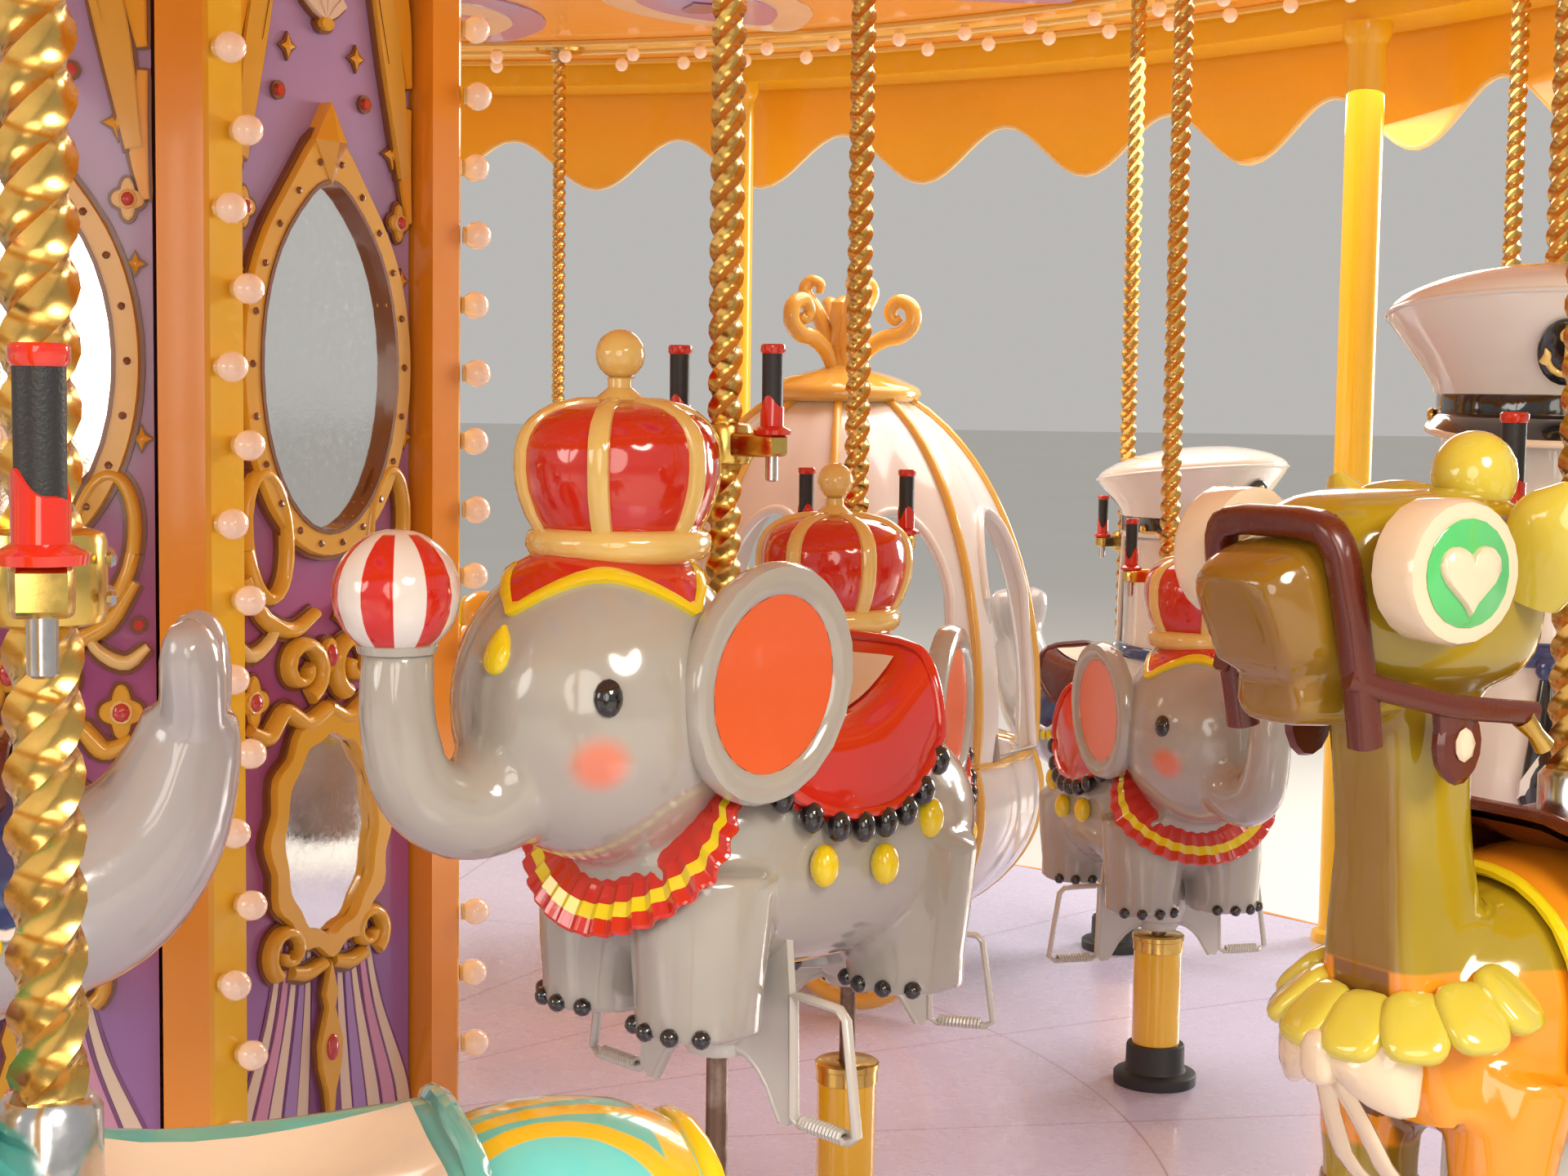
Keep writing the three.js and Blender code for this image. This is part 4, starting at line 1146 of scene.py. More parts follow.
def elephant_ear(side):
    angle = -ring(40)
    half_x, half_z = 0.134, 0.166
    profile = [(0.9, -0.02), (0.975, -0.018), (1.0, -0.004), (1.0, 0.008), (0.965, 0.021), (0.9, 0.0245),
        (0.8, 0.023), (0.735, 0.015)]
    inner = [(0.735, 0.015), (0.7, 0.007), (0.62, 0.003), (0.4, 0.007), (0.2, 0.01), (0.04, 0.011)]

    def rows(levels):
        return [np.column_stack([half_x * k * np.cos(angle), np.full(40, h), half_z * k * np.sin(angle)])
            for k, h in levels]

    forms = [grid_form([np.column_stack([half_x * 0.02 * np.cos(angle), np.full(40, -0.022),
        half_z * 0.02 * np.sin(angle)])] + rows(profile), "elephant_skin", round_across=True)]
    forms.append(grid_form(rows(inner), "ear_orange", round_across=True, caps=True))
    turn = spin(-4) @ spin(-16, "Y")
    matrix = Matrix.Translation((0.096, 0.204, 0.64)) @ turn
    forms = [placed(form, matrix) for form in forms]
    return on_side(forms, side)


def head_cloth(skin):
    """The red cap on the elephant's head with its yellow border drawn up into four arcs."""
    angles = ring(96)
    edge = 0.727 + 0.05 * np.abs(np.sin(2 * (angles - radians(9)))) ** 0.8

    def row(heights, lift):
        points = []
        for angle, height in zip(angles, heights):
            points.append(skin.hit(HEAD_CENTRE, on_head(angle, height), lift)[0])
        return points

    top = np.full(96, 0.812)
    border = [row(edge, -0.003), row(edge, 0.008), row(edge + 0.003, 0.0095), row(edge + 0.012, 0.0095),
        row(edge + 0.015, 0.007)]
    cap = [row(edge + (top - edge) * t, 0.0065) for t in (0.15, 0.35, 0.55, 0.75, 0.9, 1.0)]
    return [grid_form(border, "yellow_gloss", round_across=True),
        grid_form([border[-1]] + cap, "red_gloss", round_across=True)]


def crown_forms():
    """A domed crown: a turned ring, red panels between six gold ribs, and a ball on top."""
    dome = [(0.108, 0.836), (0.123, 0.862), (0.134, 0.895), (0.1375, 0.928), (0.134, 0.96), (0.119, 0.986),
        (0.09, 1.003), (0.05, 1.011), (0.015, 1.012)]
    forms = [turned(smooth_path(dome, 3).tolist(), "red_gloss", 48)]
    foot = [(0.09, 0.79), (0.116, 0.8), (0.124, 0.808), (0.1275, 0.817), (0.1275, 0.829), (0.123, 0.837),
        (0.114, 0.842), (0.104, 0.843)]
    forms.append(turned(foot, "crown_gold_gloss", 48))
    for k in range(6):
        angle = radians(40 + 60 * k)
        rows = []
        for radius, height in smooth_path(dome, 3):
            half = 0.015 * (0.55 + 0.45 * min(1.0, radius / 0.13))
            section = []
            for across, lift in ((-1.0, -0.004), (-0.9, 0.006), (-0.4, 0.0105), (0.4, 0.0105), (0.9, 0.006),
                    (1.0, -0.004)):
                reach = radius + lift
                section.append((reach, across * half, height + max(0.0, (height - 0.99)) * lift * 30))
            rows.append(section)
        rib = grid_form(rows, "crown_gold_gloss", caps=True)
        forms.append(placed(rib, Matrix.Rotation(angle, 4, "Z")))
    top = [(0.03, 1.008), (0.036, 1.016), (0.026, 1.024), (0.017, 1.032), (0.017, 1.044), (0.022, 1.046)]
    forms.append(turned(top, "crown_gold_gloss", 24))
    forms.append(ball((0, 0, 1.077), (0.034, 0.034, 0.034), "crown_gold_gloss", 24, 16))
    return [shifted(form, x=0.19) for form in forms]


def pleated_collar():
    """The pleated ruff under the elephant's jaw, which lies over the tops of its front legs."""
    axis = np.array([0.842, 0.0, 0.54])
    down = np.array([0.54, 0.0, -0.842])
    across = np.array([0.0, 1.0, 0.0])
    centre = np.array([0.132, 0.0, 0.497])
    count = 240
    angle = ring(count)
    fold = np.abs((angle + pi) % TAU - pi)
    outer = 0.174 + 0.072 * (1 - np.clip((fold - radians(58)) / radians(34), 0, 1) ** 1.2)
    pleat = np.cos(40 * angle)
    levels = [(0.0, 0.004), (0.4, 0.004), (0.62, 0.003), (0.8, 0.0), (0.97, -0.004), (1.0, -0.008),
        (0.97, -0.013), (0.6, -0.01), (0.0, -0.008)]
    finishes = ["red_gloss", "red_gloss", "yellow_gloss"] + ["red_gloss"] * 5
    rows = []
    for part, forward in levels:
        reach = 0.13 + (outer - 0.13) * part
        push = forward + 0.005 * part * pleat
        row = centre + np.outer(reach * np.cos(angle), down) + np.outer(reach * np.sin(angle),
            across) + np.outer(push, axis)
        rows.append(row)
    return [grid_form([rows[k], rows[k + 1]], finish, round_across=True)
        for k, finish in enumerate(finishes)]


def elephant_forms():
    clay = elephant_clay()
    skin = Skin(clay)
    forms = [clay, *elephant_ear(1), *elephant_ear(-1), *head_cloth(skin), *crown_forms(),
        *pleated_collar()]
    forms.append(ball(BALL_CENTRE, (0.0815, 0.0815, 0.0815), "striped_ball", 40, 24))
    forms.append(turned([(0.03, 0.688), (0.05, 0.692), (0.052, 0.702), (0.044, 0.708)], "elephant_skin",
        24))
    forms[-1] = shifted(forms[-1], x=0.547)
    for side in (-1, 1):
        angle = side * radians(56)
        forms.append(badge(skin, HEAD_CENTRE, on_head(angle, 0.634), oval(0.019, 0.025), 0.006,
            "black_gloss", dome=1.2, rings=5))
        for x in (0.127, -0.278):
            for k in (-42, -14, 14, 42):
                bearing = radians(k + side * 10)
                centre = (x + 0.09 * cos(bearing), side * 0.105 + 0.09 * sin(bearing), 0.162)
                toe = ball((0, 0, 0), (0.0125, 0.0135, 0.0135), "black_gloss", 14, 9)
                forms.append(placed(toe, Matrix.Translation(centre) @ Matrix.Rotation(bearing, 4, "Z")))
    forms.append(badge(skin, HEAD_CENTRE, on_head(radians(9), 0.69), drop_shape(0.026, 0.034), 0.008,
        "yellow_gloss", dome=0.6))
    saddle, rows = saddle_shell(0.36, 0.212, -0.09, 0.58, 0.02, 0.085)
    forms += saddle
    forms.append(fringe(rows, 0.018, 0.0185, 1.25, every=4))
    forms.append(fringe(rows, 0.078, 0.021, 1.45, every=10, finish="yellow_gloss", start=3))
    tail = [(-0.445, 0, 0.47, 0.02), (-0.485, 0, 0.4, 0.016), (-0.495, 0, 0.31, 0.014),
        (-0.488, 0, 0.25, 0.02), (-0.485, 0, 0.225, 0.006)]
    forms.append(limb(tail, "elephant_skin", 14, 6))
    return forms + stirrup_forms()


# Trappings laid over a body
CLOTH_THICKNESS = 0.01


def draped(skin, centre, x_low, x_high, reach, lift, finish, trim=None, columns=41, rows=25, scallops=0,
        depth=0.0):
    """A cloth over a figure's back between two x values, hanging to an angle from upright on both sides."""
    grid, inner = [], []
    for x in np.linspace(x_low, x_high, rows):
        line, under = [], []
        swing = abs(sin(pi * scallops * (x - x_low) / (x_high - x_low))) * depth if scallops else 0.0
        for t in np.linspace(-1, 1, columns):
            angle = t * (reach + swing)
            start = (x, centre[1], centre[2])
            aim = (x, centre[1] + sin(angle), centre[2] + cos(angle))
            place, normal = skin.hit(start, aim)
            line.append(place + normal * lift)
            under.append(place + normal * (lift - CLOTH_THICKNESS))
        grid.append(line)
        inner.append(under)
    grid, inner = np.array(grid), np.array(inner)
    forms = [grid_form(grid, finish)]
    edge = [*grid[0], *grid[1:, -1], *grid[-1, ::-1][1:], *grid[::-1, 0][1:-1]]
    low = [*inner[0], *inner[1:, -1], *inner[-1, ::-1][1:], *inner[::-1, 0][1:-1]]
    forms.append(grid_form([low, edge], finish, round_across=True))
    if trim:
        stops = np.column_stack([np.array(edge), np.full(len(edge), 0.0085)])
        forms.append(limb(stops, trim, 8, straight=True, closed=True))
    return forms, grid


def drops_along(grid, drop, radius, length):
    """Yellow drops under every second row of a cloth, along both of its lower edges."""
    edge = [row[end] for row in grid[2:-2:2] for end in (0, -1)]
    points = [(x, y, z - drop) for x, y, z in edge]
    return studs(points, [(0, 0, -1)] * len(edge), "yellow_gloss", radius, length, segments=10, rings=7)


def saddle_collar(height):
    """The bright steel collar round the pole where it enters the saddle."""
    spread = 0.033
    flange = spread + 0.006
    profile = [(flange, height - 0.02), (flange, height + 0.004), (spread, height + 0.01),
        (spread, height + 0.058)]
    return turned(profile + [(0.027, height + 0.066)], "bright_steel", 28)


def hoof_forms(places, finish, radius=0.06):
    low, high = 0.13, 0.165
    profile = [(radius * 0.8, low), (radius * 1.04, low + 0.004), (radius * 1.0, high),
        (radius * 0.9, high + 0.004)]
    return [shifted(turned(profile, finish, 24), x=x, y=y) for x, y in places]


# Camel
def camel_clay():
    forms = [ball((-0.05, 0, 0.39), (0.385, 0.165, 0.175), "camel_skin", 36, 22, box=2.3)]
    neck = [(0.205, 0, 0.33, 0.12), (0.262, 0, 0.47, 0.08), (0.277, 0, 0.6, 0.064), (0.286, 0, 0.72, 0.066),
        (0.288, 0, 0.82, 0.076)]
    forms.append(limb(neck, "camel_skin", 24, 5, box=5.0))
    forms.append(ball((0.305, 0, 0.892), (0.178, 0.112, 0.118), "camel_skin", 32, 20, box=3.4))
    muzzle = [(0.36, 0, 0.895, 0.082), (0.44, 0, 0.888, 0.076), (0.505, 0, 0.878, 0.071),
        (0.545, 0, 0.862, 0.058)]
    forms.append(limb(muzzle, "camel_skin", 24, 5, across=1.04, box=4.2))
    jaw = [(0.34, 0, 0.8, 0.042), (0.42, 0, 0.785, 0.038), (0.5, 0, 0.782, 0.03)]
    forms.append(limb(jaw, "camel_skin", 22, 5, across=1.75, box=3.2))
    for x, lean in ((0.185, 0.02), (-0.28, -0.01)):
        for side in (-1, 1):
            leg = [(x, side * 0.095, 0.34, 0.078), (x + lean, side * 0.1, 0.25, 0.064),
                (x + lean, side * 0.1, 0.18, 0.057), (x + lean, side * 0.1, 0.14, 0.062)]
            forms.append(limb(leg, "camel_skin", 20, 5))
    forms.append(ball((-0.285, 0, 0.545), (0.085, 0.075, 0.085), "camel_skin", 24, 16))
    return fused(forms, "camel_skin", 0.0105, 5)


def camel_ear(side):
    leaf = limb([(-0.01, 0, -0.07, 0.02), (-0.004, 0, -0.02, 0.03), (0.0, 0, 0.03, 0.03),
        (0.004, 0.004, 0.072, 0.01)], "petal_yellow", 20, 6, across=1.7, hint=(0, 1, 0))
    turn = spin(-side * 24, "X") @ spin(side * 28)
    matrix = Matrix.Translation((0.222, side * 0.146, 0.95)) @ turn
    return [placed(leaf, matrix)]


def blinkers(side):
    """The round cheek piece with its green ring and raised heart."""
    disc = turned([(0.07, 0.0), (0.077, 0.003), (0.078, 0.052), (0.074, 0.06), (0.064, 0.063),
        (0.058, 0.0625)], "cream_gloss", 40)
    green = turned([(0.056, 0.058), (0.0575, 0.064), (0.056, 0.0652)], "green_gloss", 40)
    seat = spin(-90, "X")
    forms = [placed(disc, seat), placed(green, seat)]
    outline = heart(0.082)
    heart_rows = [np.column_stack([outline[:, 0] * k, np.full(len(outline), y),
        outline[:, 1] * k - 0.002]) for k, y in ((1.0, 0.06), (1.0, 0.069), (0.93, 0.0725), (0.6, 0.0745),
        (0.2, 0.0755), (0.03, 0.0756))]
    heart_rows = [row * np.array([-1, 1, 1]) for row in heart_rows]
    forms.append(grid_form(heart_rows, "cream_gloss", round_across=True, caps=True))
    forms = [placed(form, Matrix.Translation((0.398, 0.128, 0.928)) @ spin(-4)) for form in forms]
    return on_side(forms, side)


def camel_bridle():
    hoop = [(0.452, -0.094, 0.735), (0.462, -0.095, 0.79), (0.478, -0.096, 0.86), (0.492, -0.094, 0.925),
        (0.5, -0.086, 0.958), (0.504, -0.066, 0.972)]
    hoop += [(0.505, 0.0, 0.975)]
    path = hoop + [(x, -y, z) for x, y, z in hoop[-2::-1]]
    stops = [(x - 0.01, y, z, 0.0165) for x, y, z in path]
    forms = [limb(stops, "oxblood_gloss", 16, 3, across=1.0, hint=(1, 0, 0), box=3.4)]
    for side in (-1, 1):
        y = side * 0.101
        strap = [(0.475, y * 0.96, 0.812, 0.0135), (0.42, y * 1.1, 0.795, 0.0135),
            (0.33, y * 1.19, 0.775, 0.0135), (0.205, y * 1.17, 0.76, 0.0135)]
        forms.append(limb(strap, "oxblood_gloss", 16, 5, hint=(0, 1, 0), across=0.8, box=3.2))
        lobe = turned([(0.02, 0.0), (0.037, 0.002), (0.04, 0.012), (0.034, 0.018), (0.01, 0.019)],
            "oxblood_gloss", 28)
        stud = turned([(0.014, 0.016), (0.0165, 0.021), (0.013, 0.0255), (0.004, 0.027)], "cream_gloss", 24)
        seat = Matrix.Translation((0.322, side * 0.104, 0.733)) @ spin(-90 * side,
            "X") @ Matrix.Diagonal((0.86, 1.15, 1, 1))
        forms += [placed(lobe, seat), placed(stud, seat)]
        drop = [(0.33, side * 0.115, 0.775, 0.03), (0.322, side * 0.112, 0.735, 0.03)]
        forms.append(limb(drop, "oxblood_gloss", 16, straight=True, across=0.35, box=3.0))
        forms.append(limb([(0.222, side * 0.118, 0.756, 0.014), (0.205, side * 0.121, 0.738, 0.01),
            (0.19, side * 0.122, 0.722, 0.012)], "clamp_brass", 12, 4))
    return forms


def petal_collar():
    """A ring of broad moulded petals that droop round the foot of the neck."""
    forms = []
    count = 12
    for k in range(count):
        angle = TAU * (k + 0.5) / count
        x, y = 0.262 + 0.104 * cos(angle), 0.116 * sin(angle)
        z = 0.476 - 0.26 * (x - 0.209)
        petal = ball((0.03, 0, -0.014), (0.046, 0.039, 0.016), "petal_yellow", 20, 12, box=2.9)
        turn = Matrix.Rotation(angle, 4, "Z") @ spin(44, "Y")
        forms.append(placed(petal, Matrix.Translation((x, y, z)) @ turn))
    return forms


def bow_forms():
    """A moulded bow with gathered loops and two ribbon ends down the chest."""
    forms = []
    for side in (-1, 1):
        rows = []
        for t in np.linspace(0, 1, 12):
            half = 0.014 + 0.034 * sin(min(1.0, t * 1.25) * pi / 2) - 0.006 * max(0.0, t - 0.8) * 5
            deep = 0.012 + 0.014 * sin(t * pi) + 0.003
            angle = ring(28)
            crease = 1.0 + 0.09 * np.cos(5 * angle) * (1 - t)
            across = side * (0.012 + 0.092 * t - 0.01 * max(0.0, t - 0.85) * 4)
            x = 0.388 - 0.04 * t + deep * np.cos(angle) * crease * (1 if t < 1 else 0.5)
            rows.append(np.column_stack([x, np.full(28, across),
                0.364 - 0.008 * t + half * np.sin(angle) * crease]))
        loop = grid_form(rows, "cream_gloss", round_across=True, caps=True)
        if side < 0:
            loop = (loop[0], [face[::-1] for face in loop[1]], loop[2])
        forms.append(loop)
    forms.append(ball((0.394, 0, 0.365), (0.022, 0.024, 0.033), "cream_gloss", 24, 14, box=2.8))
    for side in (-1, 1):
        end = [(0.386, side * 0.008, 0.35, 0.006), (0.362, side * 0.024 + 0.01, 0.29, 0.006),
            (0.338, side * 0.032 + 0.02, 0.235, 0.006), (0.296, side * 0.034 + 0.03, 0.19, 0.006)]
        forms.append(limb(end, "cream_gloss", 10, 5, across=2.6, hint=(0, 1, 0)))
    return forms


def camel_forms():
    clay = camel_clay()
    skin = Skin(clay)
    forms = [clay, *camel_bridle(), *petal_collar(), *bow_forms()]
    for side in (-1, 1):
        forms += camel_ear(side) + blinkers(side)
    forms.append(ball((0.182, 0, 1.022), (0.052, 0.048, 0.052), "petal_yellow", 28, 18))
    forms.append(ball((0.305, 0, 1.0), (0.062, 0.03, 0.018), "camel_skin", 24, 12))
    cloth, grid = draped(skin, (0, 0, 0.4), -0.345, 0.15, radians(118), 0.014, "blanket_orange",
        "yellow_gloss", columns=49, rows=33, scallops=5, depth=0.13)
    forms += cloth
    forms.append(drops_along(grid, 0.02, 0.0115, 1.6))
    saddle, _ = saddle_shell(0.31, 0.165, -0.045, 0.605, 0.02, 0.02, "oxblood_gloss", None)
    forms += saddle
    forms.append(saddle_collar(0.6))
    forms += hoof_forms([(x, y) for x in (0.205, -0.29) for y in (-0.1, 0.1)], "umber_gloss")
    tail = [(-0.425, 0, 0.45, 0.02), (-0.47, 0, 0.38, 0.015), (-0.48, 0, 0.3, 0.02),
        (-0.478, 0, 0.26, 0.008)]
    forms.append(limb(tail, "camel_skin", 14, 6))
    return forms + stirrup_forms()


# Pony
def pony_clay():
    forms = [ball((-0.045, 0, 0.374), (0.39, 0.17, 0.162), "pony_skin", 36, 22, box=2.2)]
    forms.append(ball((-0.325, 0, 0.425), (0.145, 0.15, 0.158), "pony_skin", 28, 20, box=2.3))
    neck = [(0.215, 0, 0.4, 0.135), (0.31, 0, 0.53, 0.108), (0.385, 0, 0.66, 0.088), (0.43, 0, 0.77, 0.08),
        (0.455, 0, 0.85, 0.078)]
    forms.append(limb(neck, "pony_skin", 24, 5, across=0.86))
    head = [(0.415, 0, 0.88, 0.082), (0.48, 0, 0.862, 0.094), (0.555, 0, 0.812, 0.076),
        (0.625, 0, 0.762, 0.064), (0.668, 0, 0.735, 0.054)]
    forms.append(limb(head, "pony_skin", 24, 5, across=0.92))
    for x, step in ((0.195, 0.035), (-0.285, -0.025)):
        for side in (-1, 1):
            leg = [(x, side * 0.092, 0.34, 0.085), (x + step, side * 0.096, 0.25, 0.058),
                (x + step, side * 0.096, 0.19, 0.05), (x + step * 0.6, side * 0.096, 0.14, 0.06)]
            forms.append(limb(leg, "pony_skin", 20, 5))
    return fused(forms, "pony_skin", 0.0105, 5)


def mane_forms(stops, finish, side=1):
    """Carved locks that fall to one side along the neck."""
    lock, droop = 0.03, 0.085
    forms = []
    for x, z in stops:
        tip = (x - 0.055, side * 0.105, z - droop)
        lock_stops = [(x, 0, z, lock * 0.9), (x - 0.018, side * 0.055, z + 0.006, lock),
            (x - 0.04, side * 0.094, z - droop * 0.55, lock * 0.72), (*tip, lock * 0.18)]
        forms.append(limb(lock_stops, finish, 12, 5))
    return forms


def pony_forms():
    clay = pony_clay()
    skin = Skin(clay)
    forms = [clay]
    crest = [(0.49, 0.945), (0.452, 0.95), (0.405, 0.925), (0.368, 0.87), (0.338, 0.805), (0.305, 0.735),
        (0.265, 0.665), (0.225, 0.605)]
    forms += mane_forms(crest, "mane_cream", side=1) + mane_forms(crest[1::2], "mane_cream", side=-1)
    forms.append(limb([(0.5, 0.0, 0.945, 0.03), (0.545, 0.01, 0.935, 0.026), (0.585, 0.02, 0.895, 0.01)],
        "mane_cream", 12, 5))
    for side in (-1, 1):
        ear = [(0.43, side * 0.06, 0.93, 0.03), (0.425, side * 0.078, 0.972, 0.026),
            (0.432, side * 0.086, 1.01, 0.006)]
        forms.append(limb(ear, "pony_skin", 14, 5, across=0.7))
        forms.append(badge(skin, (0.5, 0, 0.86), (0.535, side * 0.1, 0.868), oval(0.018, 0.024), 0.006,
            "black_gloss", dome=1.2))
        forms.append(badge(skin, (0.64, 0, 0.755), (0.675, side * 0.03, 0.765), oval(0.008, 0.01, 16),
            0.002, "umber_outline_paint"))
        rein = [(0.61, side * 0.066, 0.77, 0.008), (0.52, side * 0.094, 0.76, 0.008),
            (0.4, side * 0.118, 0.69, 0.008), (0.25, side * 0.128, 0.62, 0.008),
            (0.12, side * 0.1, 0.6, 0.008)]
        forms.append(limb(rein, "yellow_gloss", 10, 8, across=0.7))
        forms.append(badge(skin, (0.6, 0, 0.78), (0.612, side * 0.1, 0.776), oval(0.017, 0.017, 20), 0.009,
            "clamp_brass", dome=0.8))
    for centre, tilt, radius in (((0.612, 0, 0.772), 42, 0.0675), ((0.522, 0, 0.836), 42, 0.094)):
        band_ring = [(0, radius * 0.93 * cos(a), radius * 1.04 * sin(a), 0.0085) for a in ring(40)]
        form = hoop_bar(band_ring, "yellow_gloss", 10, hint=(1, 0, 0), across=1.6)
        forms.append(placed(form, Matrix.Translation(centre) @ spin(tilt, "Y")))
    cloth, grid = draped(skin, (0, 0, 0.4), -0.405, 0.235, radians(96), 0.013, "pony_cloth", "yellow_gloss",
        columns=49, rows=33, scallops=6, depth=0.16)
    forms += cloth
    forms.append(drops_along(grid, 0.018, 0.0105, 1.6))
    breast = [(0.218, 0.118, 0.535, 0.012), (0.3, 0.12, 0.46, 0.014), (0.356, 0.07, 0.405, 0.016),
        (0.374, 0.0, 0.388, 0.018)]
    breast += [(x, -y, z, r) for x, y, z, r in breast[-2::-1]]
    forms.append(limb(breast, "yellow_gloss", 12, 5, across=0.8))
    forms.append(ball((0.388, 0, 0.388), (0.014, 0.026, 0.026), "gem_red", 20, 12))
    saddle, _ = saddle_shell(0.3, 0.165, -0.105, 0.576, 0.04, 0.014, "teal_gloss", "cream_paint")
    forms += saddle
    forms.append(saddle_collar(0.566))
    forms += hoof_forms([(x, y) for x in (0.216, -0.3) for y in (-0.096, 0.096)], "yellow_gloss", 0.056)
    for k in range(5):
        sweep = (k - 2) * 0.02
        lock = [(-0.415, 0, 0.47, 0.02), (-0.475, sweep * 0.8, 0.455, 0.024),
            (-0.505, sweep * 1.4, 0.35, 0.026), (-0.48, sweep * 2.0, 0.25 + 0.01 * (k % 2), 0.008)]
        forms.append(limb(lock, "mane_cream", 12, 6))
    return forms + stirrup_forms()


# Seal in a sailor's cap
SEAL_CHEST = 0.25


def seal_clay():
    forms = [ball((-0.01, 0, 0.39), (0.385, 0.18, 0.178), "seal_skin", 36, 22, box=2.1)]
    chest = [(SEAL_CHEST - 0.03, 0, 0.3, 0.15), (SEAL_CHEST, 0, 0.4, 0.186), (SEAL_CHEST, 0, 0.56, 0.19),
        (SEAL_CHEST, 0, 0.76, 0.186), (SEAL_CHEST, 0, 0.985, 0.186)]
    forms.append(limb(chest, "seal_skin", 36, 5))
    tail = [(-0.16, 0, 0.375, 0.165), (-0.305, 0, 0.395, 0.14), (-0.395, 0, 0.47, 0.108),
        (-0.44, 0, 0.57, 0.082), (-0.452, 0, 0.64, 0.066)]
    forms.append(limb(tail, "seal_skin", 26, 5, across=1.15))
    for side in (-1, 1):
        lobe = [(-0.45, side * 0.02, 0.59, 0.045), (-0.458, side * 0.048, 0.66, 0.047),
            (-0.456, side * 0.072, 0.73, 0.043), (-0.448, side * 0.086, 0.768, 0.026)]
        forms.append(limb(lobe, "seal_skin", 20, 6, across=1.1))
        paddle = [(0.255, side * 0.13, 0.47, 0.05), (0.285, side * 0.215, 0.44, 0.044),
            (0.315, side * 0.285, 0.405, 0.036), (0.33, side * 0.322, 0.385, 0.018)]
        forms.append(limb(paddle, "seal_skin", 20, 6, across=1.7, hint=(1, 0, 0)))
        forms.append(ball((0.415, side * 0.036, 0.8), (0.04, 0.046, 0.036), "seal_skin", 20, 14))
    return fused(forms, "seal_skin", 0.0105, 6)


def anchor_forms(matrix):
    """A plain gold anchor on a black oval, the common seaman's sign."""
    backing = turned([(0.046, 0.0), (0.0475, 0.004), (0.046, 0.009), (0.043, 0.011), (0.01, 0.0125)],
        "black_gloss", 40)
    backing = placed(backing, Matrix.Diagonal((0.96, 1.18, 1, 1)))
    eye = [(0.0095 * cos(a), 0.031 + 0.0095 * sin(a), 0.0145, 0.004) for a in ring(24)]
    stock = [(0.0, 0.022, 0.014, 0.0048), (0.0, -0.01, 0.0145, 0.0056), (0.0, -0.032, 0.014, 0.0052)]
    arms = [(0.03 * sin(a), -0.004 - 0.03 * cos(a), 0.014, 0.0052)
        for a in np.radians(np.linspace(-78, 78, 17))]
    forms = [backing, limb(eye, "crown_gold_gloss", 10, straight=True, closed=True, hint=(0, 0, 1)),
        limb(stock, "crown_gold_gloss", 12, 4), limb(arms, "crown_gold_gloss", 12, straight=True)]
    for side in (-1, 1):
        fluke = [(side * 0.034, -0.014, 0.014, 0.0082), (side * 0.03, -0.001, 0.0145, 0.0066),
            (side * 0.033, 0.01, 0.014, 0.0012)]
        forms.append(limb(fluke, "crown_gold_gloss", 10, 4))
    return [placed(form, matrix) for form in forms]


